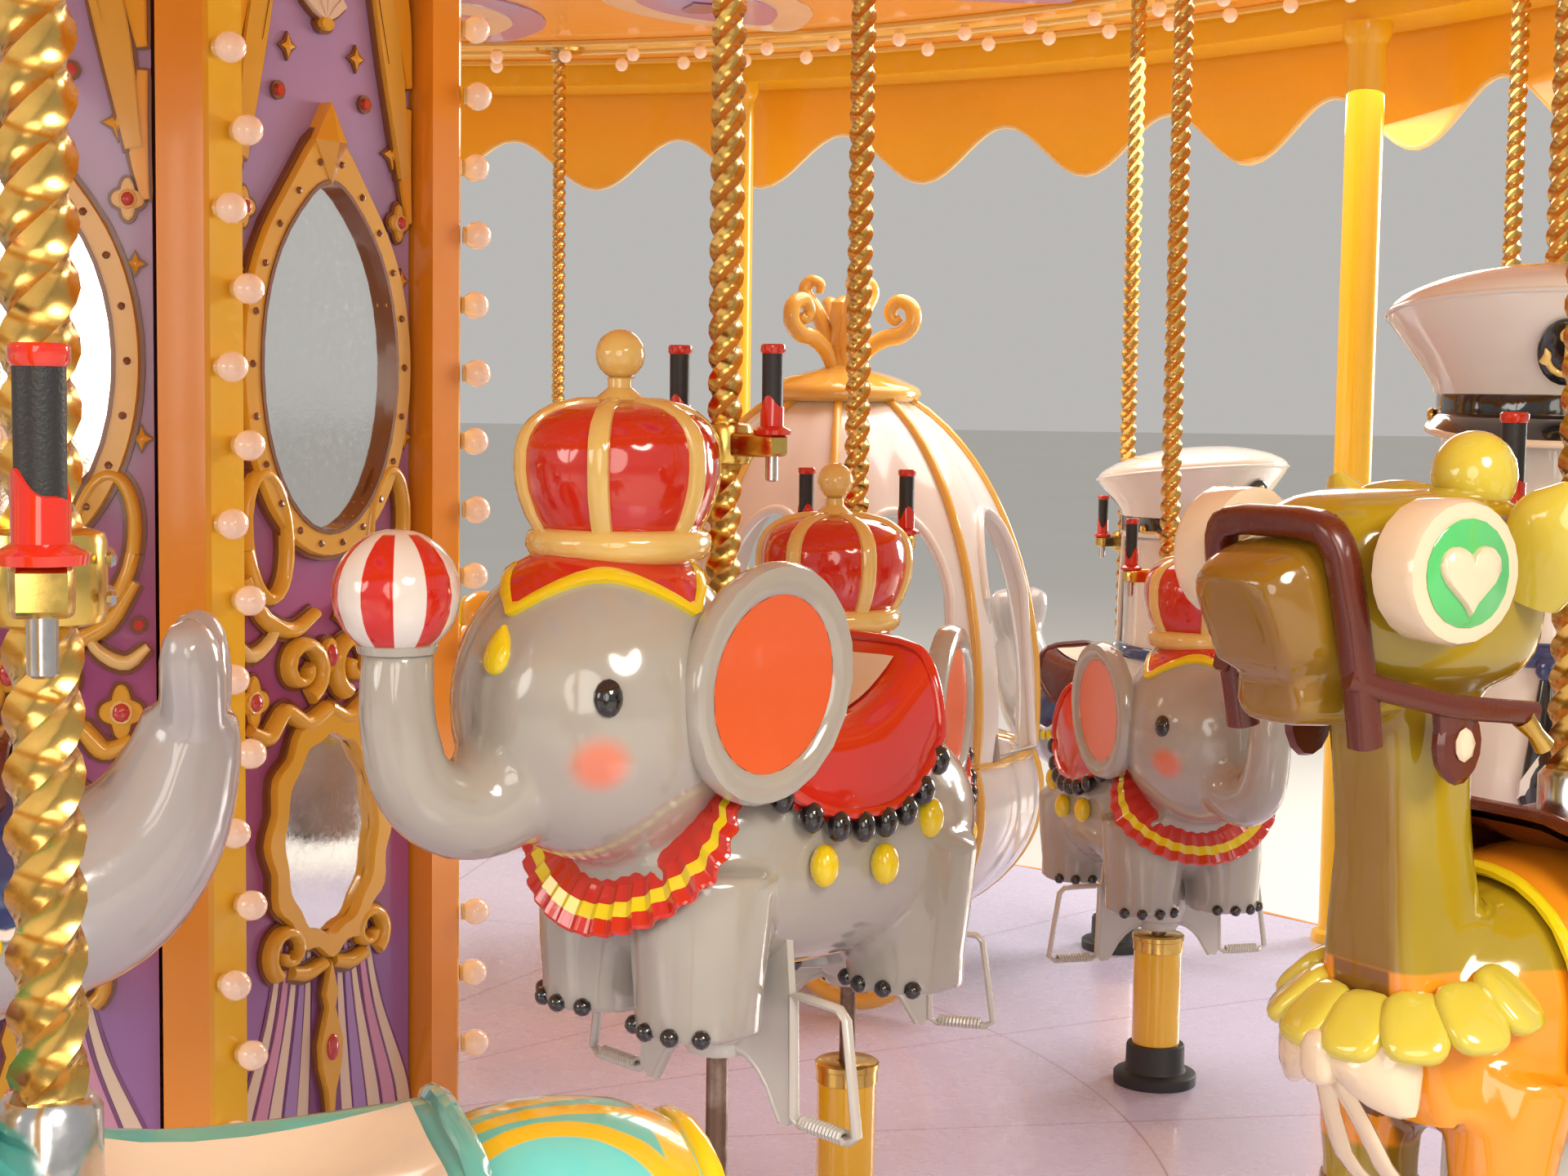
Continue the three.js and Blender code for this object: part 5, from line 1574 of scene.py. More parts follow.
def cap_forms():
    forms = [turned([(0.17, 0.98), (0.1965, 0.983), (0.1985, 0.99), (0.1985, 0.996), (0.195, 0.999)],
        "cap_white", 64)]
    forms.append(turned([(0.18, 0.995), (0.1955, 0.998), (0.1965, 1.003), (0.1965, 1.038), (0.195, 1.043)],
        "black_gloss", 64))
    crown = [(0.19, 1.04), (0.199, 1.043), (0.2015, 1.05), (0.205, 1.062), (0.222, 1.09), (0.246, 1.122),
        (0.261, 1.144), (0.2655, 1.156), (0.263, 1.167), (0.25, 1.18), (0.215, 1.199), (0.165, 1.215),
        (0.11, 1.226), (0.05, 1.231), (0.012, 1.232)]

    def raised_front(form):
        points, faces, finish = form
        moved = points.copy()
        share = np.clip((points[:, 2] - 1.045) / 0.1, 0, 1)
        moved[:, :2] *= 1 + 0.05 * share[:, None]
        moved[:, 2] += share * (points[:, 0] * 0.125 + 0.014)
        moved[:, 0] += share * 0.012
        return (moved, faces, finish)

    forms.append(raised_front(turned(crown, "cap_white", 72)))
    edge = [(0.2655 * cos(a), 0.2655 * sin(a), 1.156, 0.0045) for a in ring(72)]
    forms.append(raised_front(hoop_bar(edge, "cap_white", 8)))
    top, under = [], []
    for t in np.radians(np.linspace(-74, 74, 41)):
        out = 0.092 * cos(t * 90 / 78) ** 0.7
        line = []
        for k in np.linspace(0, 1, 8):
            line.append(((0.192 + out * k) * cos(t), (0.192 + out * k) * sin(t),
                1.01 - 0.04 * k * k * cos(t) + 0.004 * sin(k * pi)))
        top.append(line)
        under.append([(x, y, z - 0.008) for x, y, z in line])
    top, under = np.array(top), np.array(under)
    forms.append(grid_form(top[:, ::-1], "black_gloss"))
    forms.append(grid_form(under, "black_gloss"))
    rim = [(*((top[i, -1] + under[i, -1]) / 2), 0.0062) for i in range(len(top))]
    forms.append(limb(rim, "cream_gloss", 10, straight=True))
    cord = [(0.2005 * cos(t), 0.2005 * sin(t), 1.003 + 0.004 * cos(2 * t), 0.0045)
        for t in np.radians(np.linspace(-88, 88, 45))]
    forms.append(limb(cord, "crown_gold_gloss", 10, straight=True))
    for side in (-1, 1):
        forms.append(ball((0.006, side * 0.2015, 1.008), (0.012, 0.008, 0.012), "clamp_brass", 16, 10))
    seat = Matrix.Translation((0.245, 0, 1.11)) @ spin(90) @ spin(90 + 24, "X")
    forms += anchor_forms(seat)
    return [shifted(form, x=SEAL_CHEST) for form in forms]


def seal_forms():
    clay = seal_clay()
    skin = Skin(clay)
    forms = [clay, *cap_forms()]
    for side in (-1, 1):
        start = (SEAL_CHEST, 0, 0.88)
        forms.append(badge(skin, start, (0.4, side * 0.092, 0.88), oval(0.019, 0.026), 0.006, "black_gloss",
            dome=1.2, rings=5))
        forms.append(badge(skin, (SEAL_CHEST, 0, 0.8), (0.37, side * 0.118, 0.8), oval(0.026, 0.022),
            0.0015, "ear_orange", dome=0.2))
        for k in (-1, 0, 1):
            whisker = [(0.447, side * 0.042, 0.8 + 0.01 * k, 0.0022),
                (0.462, side * 0.075, 0.802 + 0.02 * k, 0.0019),
                (0.458, side * 0.118, 0.796 + 0.03 * k, 0.001)]
            forms.append(limb(whisker, "black_gloss", 6, 4))
    forms.append(ball((0.452, 0, 0.822), (0.02, 0.026, 0.019), "black_gloss", 22, 14))
    knot_height = 0.628
    scarf = []
    for a in ring(64):
        place, normal = skin.hit((SEAL_CHEST, 0, knot_height),
            (SEAL_CHEST + cos(a), sin(a), knot_height + 0.06 - 0.05 * cos(a)))
        scarf.append((*(place + normal * 0.004), 0.0135))
    forms.append(hoop_bar(scarf, "navy_gloss", 12, across=1.5))
    tie = [(-0.016, 0.12), (-0.04, -0.06), (-0.046, -0.1), (-0.03, -0.15), (0.0, -0.168), (0.03, -0.15),
        (0.046, -0.1), (0.04, -0.06), (0.016, 0.12)]
    forms.append(badge(skin, (SEAL_CHEST, 0, 0.5), (0.6, 0, 0.5), tie, 0.014, "black_gloss", dome=0.4,
        rings=5))
    stripe = [(-0.0465, -0.076), (-0.0475, -0.1), (0.0475, -0.1), (0.0465, -0.076)]
    forms.append(badge(skin, (SEAL_CHEST, 0, 0.5), (0.6, 0, 0.5), np.array(stripe), 0.0175, "cap_white",
        dome=0.1, rings=3))
    forms.append(ball((SEAL_CHEST + 0.197, 0, 0.612), (0.02, 0.028, 0.022), "navy_gloss", 20, 14, box=2.6))
    cloth, grid = draped(skin, (0, 0, 0.4), -0.27, 0.09, radians(92), 0.013, "navy_gloss", "cap_white",
        columns=45, rows=25, scallops=4, depth=0.14)
    forms += cloth
    forms.append(drops_along(grid, 0.018, 0.0115, 1.5))
    saddle, _ = saddle_shell(0.29, 0.175, -0.07, 0.588, 0.014, 0.03, "oxblood_gloss", "cream_paint")
    forms += saddle
    forms.append(saddle_collar(0.576))
    keel = [(0.1, 0, 0.245, 0.05), (-0.1, 0, 0.235, 0.055), (-0.22, 0, 0.26, 0.04)]
    forms.append(limb(keel, "seal_skin", 16, 5))
    return forms + stirrup_forms()


# Drum: panels share one design, drawn across (y) and up (z) with +X towards the riders
PANEL_HALF, PANEL_LOW, PANEL_HIGH = 0.258, 0.4205, 3.1295
PANEL_REACH = 0.793
MIRROR_HEIGHT, MIRROR_HALF = 2.04, (0.1855, 0.32)
LOW_MIRROR_HEIGHT, LOW_MIRROR_HALF = 1.12, (0.128, 0.195)


def facing_out(bearing, reach=0.0, height=0.0):
    """Turns +X outwards at a bearing, at a distance from the mast."""
    return Matrix.Translation(spot(reach, bearing, height)) @ spin(90 - bearing)


def grown_outline(outline, amount):
    outline = np.asarray(outline, float)
    along = np.roll(outline, -1, 0) - np.roll(outline, 1, 0)
    along /= np.maximum(np.linalg.norm(along, axis=1), 1e-9)[:, None]
    return outline + np.column_stack([along[:, 1], -along[:, 0]]) * amount


def counterclockwise(outline):
    outline = np.asarray(outline, float)
    x, y = outline[:, 0], outline[:, 1]
    area = float(np.sum(x * np.roll(y, -1) - np.roll(x, -1) * y))
    return outline if area > 0 else outline[::-1]


def raised(outline, high, finish, low=0.006, border=0.006, outline_finish="umber_outline_paint", slope=0.0):
    """A flat ornament with a darker border standing a little lower round it."""
    outline = counterclockwise(outline)
    forms = []
    if border:
        forms += plate(grown_outline(outline, border), low, low + (high - low) * 0.55, outline_finish)
    forms += plate(grown_outline(outline, -0.0005), low, high - 0.003, finish)
    if slope:
        forms += plate(outline, high - 0.003, high, finish, slope=slope)
    else:
        forms += plate(grown_outline(outline, -0.003), low, high, finish)
    return forms


def swept_outline(path, half_widths):
    """The outline of a ribbon along a path of points, from half widths at each."""
    path = np.asarray(path, float)
    along = np.gradient(path, axis=0)
    along /= np.linalg.norm(along, axis=1)[:, None]
    side = np.column_stack([-along[:, 1], along[:, 0]])
    half = np.asarray(half_widths, float)[:, None]
    return np.vstack([path + side * half, (path - side * half)[::-1]])


def ribbon(stops, high, finish, **words):
    """A painted or carved band through stops of y, z and half width."""
    path = smooth_path(stops, 7)
    return raised(swept_outline(path[:, :2], path[:, 2]), high, finish, **words)


def roll(stops, high, finish="gold_relief_paint", low=0.004, border=0.007, sides=10):
    """A rounded moulding through stops of y, z and half width, with a dark border under it."""
    path = smooth_path(stops, 7)
    forms = plate(counterclockwise(swept_outline(path[:, :2], path[:, 2] + border)), low, low + 0.01,
        "umber_outline_paint")
    depth = high - low
    rows = []
    along = np.gradient(path[:, :2], axis=0)
    along /= np.linalg.norm(along, axis=1)[:, None]
    side = np.column_stack([-along[:, 1], along[:, 0]])
    for point, across, half in zip(path[:, :2], side, path[:, 2]):
        t = np.linspace(0, pi, sides)
        y = point[0] + across[0] * half * np.cos(t)
        z = point[1] + across[1] * half * np.cos(t)
        rows.append(np.column_stack([low + 0.006 + (depth - 0.006) * np.sin(t) ** 0.7, y, z]))
    form = grid_form(rows, finish, caps=True)
    return forms + [form]


def spiral(centre, start_radius, end_radius, start, turns, half, count=26):
    """Stops of a scroll that winds in; half is the moulding's half width where it starts."""
    stops = []
    for t in np.linspace(0, 1, count):
        angle = radians(start) + turns * TAU * t
        radius = start_radius + (end_radius - start_radius) * t
        stops.append((centre[0] + radius * cos(angle), centre[1] + radius * sin(angle),
            half * (1 - 0.45 * t)))
    return stops


def flipped(stops):
    return [(-y, z, *rest) for y, z, *rest in stops]


def pointed_oval(half_across, half_up, centre, peak=0.0, count=72, ripple=0.0, lobes=10):
    angle = ring(count)
    swell = 1 + ripple * np.cos(lobes * angle)
    across = half_across * swell * np.cos(angle)
    up = centre + half_up * swell * np.sin(angle) + peak * np.clip(np.sin(angle), 0, 1) ** 14
    return np.column_stack([across, up])


def flower(centre, size):
    """A four-lobed gold flower with a domed gem."""
    angle = ring(48)
    reach = size * (0.62 + 0.38 * np.abs(np.cos(2 * angle)) ** 1.5)
    outline = np.column_stack([centre[0] + reach * np.cos(angle) * 0.86,
        centre[1] + reach * np.sin(angle) * 1.12])
    forms = raised(outline, 0.02, "gold_relief_paint")
    forms.append(ball((0.02, centre[0], centre[1]), (0.012, size * 0.36, size * 0.4), "gem_red", 20, 10))
    rim = [(0.021, centre[0] + size * 0.38 * cos(a), centre[1] + size * 0.42 * sin(a), 0.0035)
        for a in ring(24)]
    return forms + [hoop_bar(rim, "pale_gold_paint", 8, hint=(1, 0, 0))]


def small_star(centre, size):
    angle = ring(8, pi / 2)
    reach = np.where(np.arange(8) % 2 == 0, size, size * 0.42)
    outline = np.column_stack([centre[0] + reach * np.cos(angle) * 0.85, centre[1] + reach * np.sin(angle)])
    return raised(outline, 0.018, "amber_paint", slope=0.8)


def curtains():
    """Gold hangings gathered at the top and drawn to both sides."""
    forms = []
    folds = [
        ([(0.03, 3.118, 0.014), (0.085, 3.02, 0.022), (0.14, 2.86, 0.026), (0.19, 2.64, 0.03),
            (0.228, 2.42, 0.016)], "gold_relief_paint", 0.026),
        ([(0.06, 3.12, 0.014), (0.125, 3.03, 0.024), (0.185, 2.89, 0.028), (0.222, 2.74, 0.026),
            (0.243, 2.6, 0.01)], "amber_paint", 0.022),
        ([(0.095, 3.12, 0.016), (0.165, 3.055, 0.026), (0.218, 2.955, 0.028), (0.242, 2.85, 0.012)],
            "gold_relief_paint", 0.026),
        ([(0.15, 3.118, 0.018), (0.205, 3.08, 0.024), (0.243, 3.01, 0.012)], "amber_paint", 0.022),
        ([(0.243, 2.56, 0.01), (0.234, 2.44, 0.018), (0.246, 2.33, 0.008)], "amber_paint", 0.02),
    ]
    for stops, finish, high in folds:
        for side in (stops, flipped(stops)):
            forms += ribbon(side, high, finish)
    stops = [(0.02, 3.085, 0.004), (0.074, 2.985, 0.004), (0.128, 2.83, 0.004), (0.176, 2.64, 0.003)]
    for side in (stops, flipped(stops)):
        forms += ribbon(side, 0.0275, "umber_outline_paint", border=0)
    swag = [(y, 3.105 - 0.045 * cos(pi * y / 0.09) * 0.5 - 0.022, 0.016)
        for y in np.linspace(-0.09, 0.09, 9)]
    return forms + ribbon(swag, 0.03, "gold_relief_paint")


def fan_ornament(height):
    """A cream scallop shell under a gold ring."""
    forms = []
    for k in range(-3, 4):
        angle = radians(90 + 27 * k)
        tip = (0.052 * cos(angle), height + 0.06 * sin(angle) * 1.25)
        forms += ribbon([(0.0, height - 0.03, 0.004),
            (tip[0] * 0.5, height - 0.03 + (tip[1] - height + 0.03) * 0.5, 0.011), (*tip, 0.012)],
            0.024 + 0.002 * (k % 2), "cream_paint", border=0.005)
    forms += raised(oval(0.02, 0.014, 20, (0.0, height - 0.036)), 0.028, "gold_relief_paint")
    hoop = [(0.02, 0.03 * cos(a), height + 0.118 + 0.034 * sin(a), 0.0065) for a in ring(28)]
    forms.append(hoop_bar(hoop, "gold_relief_paint", 10, hint=(1, 0, 0)))
    forms += raised(oval(0.01, 0.01, 16, (0.0, height + 0.162)), 0.026, "gem_red")
    return forms


def mirror_and_frame():
    forms = []
    glass = pointed_oval(*MIRROR_HALF, MIRROR_HEIGHT, 0.03)
    forms += plate(glass * np.array([1.02, 1.0]), 0.004, 0.012, "mirror_silver")
    outer = pointed_oval(MIRROR_HALF[0] + 0.05, MIRROR_HALF[1] + 0.052, MIRROR_HEIGHT, 0.085)
    forms += band(glass, outer, 0.004, 0.034, "gold_relief_paint")
    forms += band(grown_outline(outer, -0.002), grown_outline(outer, 0.009), 0.004, 0.02,
        "umber_outline_paint")
    forms += band(grown_outline(glass, -0.001), grown_outline(glass, 0.008), 0.01, 0.037,
        "umber_outline_paint")
    middle = pointed_oval(MIRROR_HALF[0] + 0.027, MIRROR_HALF[1] + 0.028, MIRROR_HEIGHT, 0.05, count=22)
    points = [(0.034, y, z) for y, z in middle]
    forms.append(studs(points, [(1, 0, 0)] * len(points), "umber_outline_paint", 0.0075, 0.8, segments=10,
        rings=6))
    gem = [(0.0, 2.545), (-0.044, 2.47), (0.0, 2.385), (0.044, 2.47)]
    forms += plate(counterclockwise(gem), 0.006, 0.036, "amber_paint")
    # painted light and shade: the gem's four facets take amber, gold, dark umber and amber paints
    facets = np.array([(0.036, y, z) for y, z in counterclockwise(gem)] + [(0.056, 0, 2.468)])
    for k in range(4):
        shade = ("amber_paint", "gold_relief_paint", "umber_light_paint", "amber_paint")[k]
        forms.append(as_form(facets[[k, (k + 1) % 4, 4]], [(0, 1, 2)], shade))
    return forms


def lower_mirror():
    forms = plate(pointed_oval(*LOW_MIRROR_HALF, LOW_MIRROR_HEIGHT), 0.004, 0.012, "mirror_silver")
    inner = pointed_oval(LOW_MIRROR_HALF[0], LOW_MIRROR_HALF[1], LOW_MIRROR_HEIGHT, ripple=0.02, lobes=12)
    outer = pointed_oval(LOW_MIRROR_HALF[0] + 0.042, LOW_MIRROR_HALF[1] + 0.045, LOW_MIRROR_HEIGHT,
        ripple=0.045, lobes=12)
    forms += band(inner, outer, 0.004, 0.036, "gold_relief_paint")
    forms += band(grown_outline(outer, -0.002), grown_outline(outer, 0.008), 0.004, 0.02,
        "umber_outline_paint")
    for flip in (list, flipped):
        forms += roll(flip(spiral((0.115, 0.905), 0.052, 0.014, -60, 1.15, 0.016)), 0.04)
        forms += roll(flip(spiral((0.075, 1.455), 0.062, 0.014, 250, -1.25, 0.018)), 0.044)
        forms += roll(flip([(0.0, 1.37, 0.016), (0.06, 1.345, 0.018), (0.118, 1.375, 0.016),
            (0.165, 1.33, 0.018), (0.215, 1.35, 0.01)]), 0.04)
        forms += roll(flip([(0.012, 0.862, 0.014), (0.06, 0.85, 0.016), (0.105, 0.86, 0.014)]), 0.036)
    forms += raised(oval(0.022, 0.034, 24, (0.0, 1.475)), 0.034, "gold_relief_paint")
    forms.append(ball((0.034, 0.0, 1.475), (0.01, 0.014, 0.022), "gem_red", 18, 10))
    return forms


def side_loops():
    """Interlaced gold loops below the mirror and the curling ends that run down from them."""
    forms = []
    for flip in (list, flipped):
        tilt = radians(24)
        loop = []
        for a in np.linspace(0, TAU, 30):
            u, v = 0.056 * cos(a), 0.128 * sin(a)
            loop.append((0.168 + u * cos(tilt) + v * sin(tilt) * 0.4, 1.715 - u * sin(tilt) + v * cos(tilt),
                0.0135))
        forms += roll(flip(loop), 0.04)
        forms += roll(flip([(0.222, 1.64, 0.012), (0.17, 1.56, 0.016), (0.095, 1.53, 0.016),
            (0.03, 1.56, 0.012)]), 0.034)
        forms += roll(flip([(0.245, 1.52, 0.008), (0.205, 1.49, 0.014), (0.16, 1.51, 0.012),
            (0.13, 1.55, 0.008)]), 0.03, "pale_gold_paint")
        sign = 1 if flip is list else -1
        for y, z, size in ((0.196, 1.4, 0.046), (0.216, 2.33, 0.034)):
            forms += flower((sign * y, z), size)
        for y, z, size in ((0.2, 2.465, 0.03), (0.228, 2.215, 0.02), (0.236, 1.9, 0.022)):
            forms += small_star((sign * y, z), size)
        forms += raised(oval(0.012, 0.012, 18, (sign * 0.12, 2.555)), 0.02, "gem_red")
        forms += raised(oval(0.01, 0.01, 18, (sign * 0.228, 1.56)), 0.02, "gem_red")
        forms += small_star((sign * 0.095, 2.64), 0.022)
    return forms


def lower_drapery():
    """Cream and purple folds that spread from under the lower mirror to scallops along the panel's foot."""
    forms = []
    fan = [(0.23, "cream_paint"), (0.185, "pink_paint"), (0.142, "cream_paint"), (0.1, "lilac_paint"),
        (0.062, "cream_paint"), (0.03, "plum_paint")]
    for k, (foot, finish) in enumerate(fan):
        for flip in (list, flipped):
            top = 0.016 + foot * 0.42
            stops = [(top, 0.905 + 0.05 * (foot > 0.16), 0.007), (top + (foot - top) * 0.35, 0.76, 0.012),
                (foot, 0.56, 0.02), (min(0.242, foot + 0.012), 0.45, 0.021)]
            forms += ribbon(flip(stops), 0.01 + 0.002 * (k % 2), finish, border=0.004,
                outline_finish="plum_paint")
    for centre, radius in ((0.172, 0.082), (-0.172, 0.082), (0.0, 0.088)):
        for size, finish, high in ((1.0, "lilac_paint", 0.018), (0.8, "plum_paint", 0.02),
                (0.66, "yellow_relief_paint", 0.024)):
            arc = [(centre + radius * size * cos(a), 0.424 + radius * 1.15 * size * sin(a))
                for a in np.linspace(0, pi, 20)]
            forms += raised(arc, high, finish, border=0.004)
    spear = [(0.0, 0.868), (-0.02, 0.8), (-0.012, 0.77), (-0.034, 0.7), (-0.03, 0.65), (-0.014, 0.6),
        (0.0, 0.5)]
    spear += [(-y, z) for y, z in spear[-2:0:-1]]
    forms += raised(spear, 0.032, "gold_relief_paint")
    forms.append(ball((0.032, 0.0, 0.69), (0.01, 0.017, 0.027), "gem_red", 20, 10))
    return forms


def drum_panel_forms():
    ground = [(-PANEL_HALF, PANEL_LOW), (PANEL_HALF, PANEL_LOW), (PANEL_HALF, PANEL_HIGH),
        (-PANEL_HALF, PANEL_HIGH)]
    forms = plate(ground, -0.014, 0.006, "panel_ground_paint")
    forms += curtains() + fan_ornament(2.73) + mirror_and_frame()
    return forms + side_loops() + lower_mirror() + lower_drapery()


def prism(outline, low, high, finishes):
    """An upright bar with a plan outline, anticlockwise from above, and a finish for each side."""
    outline = np.asarray(outline, float)
    count = len(outline)
    bottom = np.column_stack([outline, np.full(count, low)])
    top = np.column_stack([outline, np.full(count, high)])
    forms = []
    for k in range(count):
        n = (k + 1) % count
        forms.append(as_form([bottom[k], bottom[n], top[n], top[k]], [(0, 1, 2, 3)], finishes[k]))
    forms.append(as_form(top, [tuple(range(count))], finishes[0]))
    forms.append(as_form(bottom, [tuple(range(count))[::-1]], finishes[0]))
    return forms


PILASTER_LOW, PILASTER_HIGH = 0.3003, 3.2497
PILASTER_FACE, PILASTER_DEPTH = 0.088, 0.066
PILASTER_APEX = 0.926
RAIL_LOW_TOP, RAIL_HIGH_FOOT, RAIL_HALF = 0.42, 3.13, 0.275
HALF_PANEL = 180 / DRUM_SIDES
BULB_PITCH, BULB_SHIFT, BULB_AT = 0.142, 0.021, 2.6


def pilaster_forms():
    half = radians(HALF_PANEL)
    apex = np.array([PILASTER_APEX, 0.0])

    def side_points(sign):
        along = np.array([-sin(half), sign * cos(half)])
        inward = -np.array([cos(half), sign * sin(half)])
        edge = apex + along * PILASTER_FACE
        return [edge, edge + inward * PILASTER_DEPTH]

    left, right = side_points(1), side_points(-1)
    soft = 0.006
    tip = [apex + (right[0] - apex) * soft / PILASTER_FACE, apex + (left[0] - apex) * soft / PILASTER_FACE]
    outline = [tip[0], tip[1], left[0], left[1], np.array([PILASTER_APEX - 0.085, 0.0]), right[1], right[0]]
    finishes = ["amber_paint", "pilaster_yellow", "pilaster_yellow", "orange_paint", "orange_paint",
        "orange_paint", "orange_paint"]
    forms = prism(outline, PILASTER_LOW, PILASTER_HIGH, finishes)
    for low, high in ((PILASTER_LOW, RAIL_LOW_TOP), (RAIL_HIGH_FOOT, PILASTER_HIGH)):
        wide = [apex * 1.01 + (p - apex) * 1.06 for p in outline]
        forms += prism(wide, low, high, ["amber_paint"] * len(wide))
    return forms


def bulb_places():
    """Where the bulbs sit on a pilaster's yellow face, and the way they point."""
    half = radians(HALF_PANEL)
    along = np.array([-sin(half), cos(half), 0.0])
    out = np.array([cos(half), sin(half), 0.0])
    first = BULB_AT - floor((BULB_AT - 0.5) / BULB_PITCH) * BULB_PITCH
    places = []
    for k, z in enumerate(np.arange(first, 3.1, BULB_PITCH)):
        shift = BULB_SHIFT if k % 2 else -BULB_SHIFT
        places.append(np.array([PILASTER_APEX, 0, z]) + along * (PILASTER_FACE / 2 + shift))
    return places, out


def bulbs_on(places, aims, radius=0.029):
    """Faceted glass bulbs in short sockets."""
    places, aims = np.array(places), np.array(aims)
    sockets = studs(places + aims * 0.007, aims, "pale_gold_paint", radius * 0.62, 0.016, segments=14,
        top=radius * 0.52)
    glass = studs(places + aims * (0.012 + radius * 0.86), aims, "bulb_glass", radius, 1.0, segments=12,
        rings=8)
    return [sockets, glass]


def build_drum():
    bearings = [FIRST_CORNER_BEARING - 2 * HALF_PANEL * k for k in range(DRUM_SIDES)]
    relief = thinned("panel_relief", drum_panel_forms(), PANEL_SHARE)
    for k, bearing in enumerate(bearings):
        piece = put(f"drum_panel_{k + 1}_relief", relief.copy(),
            facing_out(bearing - HALF_PANEL, PANEL_REACH), crease=30)
        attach(piece, "platform")
        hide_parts(f"drum_panel_{k + 1}")
    corner = pilaster_forms()
    places, out = bulb_places()
    bulb_forms = bulbs_on(places, [out] * len(places))
    forms = []
    for bearing in bearings:
        turn = facing_out(bearing)
        forms += [placed(form, turn) for form in corner + bulb_forms]
    apothem = DRUM_CORNER * cos(radians(HALF_PANEL))
    for low, high in ((PILASTER_LOW, RAIL_LOW_TOP), (RAIL_HIGH_FOOT, PILASTER_HIGH)):
        face, groove, back = apothem - 0.008, apothem - 0.02, apothem - 0.055
        section = [(back, low), (face, low), (face, low + 0.03), (groove, low + 0.045)]
        section += [(groove, high - 0.045), (face, high - 0.03), (face, high), (back, high)]
        rail = [[(x, y, z) for y in (-RAIL_HALF, RAIL_HALF)] for x, z in section]
        for bearing in bearings:
            forms.append(placed(grid_form(np.array(rail), "orange_paint"),
                facing_out(bearing - HALF_PANEL)))
    frame_piece = put("drum_pilasters", forms, Matrix.Identity(4))
    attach(frame_piece, "platform")
    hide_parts("drum_frame")


# Deck and its guide tubes
def around(count, start=0.0):
    return [start + 360.0 * k / count for k in range(count)]


def circles(profile, count, centre=(0.0, 0.0)):
    """A row of points round an upright axis for each radius and height."""
    angle = ring(count)
    x, y = centre[:2]
    return [np.column_stack([x + r * np.cos(angle), y + r * np.sin(angle), np.full(count, z)])
        for r, z in profile]


def circle_tube(radius, height, thickness, finish, count=160):
    bearings = np.linspace(0, 360, count, endpoint=False)
    return hoop_bar([(*spot(radius, -bearing, height), thickness) for bearing in bearings], finish, 8)


def hoop_wall(inner, outer, low, high, finish, count=160):
    """A closed round wall with square edges."""
    rows = circles([(outer, low), (outer, high), (inner, high), (inner, low)], count)
    return grid_form(rows, finish, round_across=True, round_along=True)


def guide_forms():
    """A yellow guide tube with a brass collar on top and a black rubber foot."""
    top = GUIDE_HEIGHT + 0.004
    foot = [(0.0585, 0.0), (0.1015, 0.0), (0.1024, 0.006), (0.1024, 0.025), (0.098, 0.029), (0.077, 0.033),
        (0.073, 0.04), (0.072, 0.094), (0.069, 0.1), (0.06, 0.102)]
    forms = [turned(foot, "foot_rubber", 44)]
    forms.append(turned([(0.0585, 0.09), (0.059, 0.1), (0.059, top - 0.04), (0.0585, top - 0.035)],
        "guide_yellow", 44))
    collar = [(0.059, top - 0.04), (0.0615, top - 0.038), (0.0615, top - 0.012), (0.064, top - 0.01),
        (0.064, top), (0.06, top + 0.003), (0.0215, top + 0.003), (0.019, top), (0.019, top - 0.03)]
    forms.append(grid_form(circles(collar, 44), "clamp_brass", round_across=True))
    return forms


def build_guides():
    guide = guide_forms()
    forms = []
    for name in MOUNT_NAMES:
        x, y, _ = pole_foot(name)
        forms += [shifted(form, x, y, DECK_TOP) for form in guide]
    piece = put("guide_sleeves", forms)
    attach(piece, "platform")


def build_skirt():
    inner, outer, low = 4.1503, 4.1683, 0.06
    forms = [hoop_wall(inner, outer, low, DECK_TOP, "orange_paint", 200)]
    forms.append(circle_tube(outer - 0.001, 0.283, 0.01, "gold_relief_paint", 200))
    forms.append(circle_tube(outer - 0.001, 0.078, 0.01, "gold_relief_paint", 200))
    for bearing in around(40, 4.5):
        turn = facing_out(bearing, outer, 0.18)
        oval_frame = band(oval(0.155, 0.048, 28), oval(0.18, 0.068, 28), -0.002, 0.01, "pale_gold_paint")
        field = plate(oval(0.16, 0.052, 28), -0.002, 0.004, "lilac_paint")
        diamond = plate([(-0.05, 0.0), (0.0, -0.026), (0.05, 0.0), (0.0, 0.026)], 0.003, 0.014, "gem_red",
            slope=0.6)
        forms += [placed(form, turn) for form in oval_frame + field + diamond]
    places = [spot(outer, bearing, 0.18) for bearing in around(40, 0.0)]
    aims = [spot(1.0, bearing) for bearing in around(40, 0.0)]
    forms += bulbs_on(places, aims, 0.024)
    piece = put("skirt_boards", forms)
    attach(piece, "platform")
    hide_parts("deck_skirt")


# Canopy
def build_posts():
    beam_low, beam_high = 3.1597, 3.2497
    forms = [hoop_wall(3.99, 4.24, beam_low, beam_high, "post_yellow_paint", 200)]
    shaft = [(0.08, DECK_TOP + 0.0003), (0.082, DECK_TOP + 0.012), (0.078, DECK_TOP + 0.03),
        (0.062, DECK_TOP + 0.04), (0.058, DECK_TOP + 0.056), (0.058, 3.09), (0.066, 3.104), (0.074, 3.12),
        (0.076, beam_low + 0.002)]
    for bearing in around(POST_COUNT, FIRST_POST_BEARING):
        forms.append(placed(turned(shaft, "post_yellow_paint", 40),
            Matrix.Translation(spot(POST_RING, bearing))))
    piece = put("outer_posts", forms)
    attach(piece, "platform")
    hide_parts("post_frame")


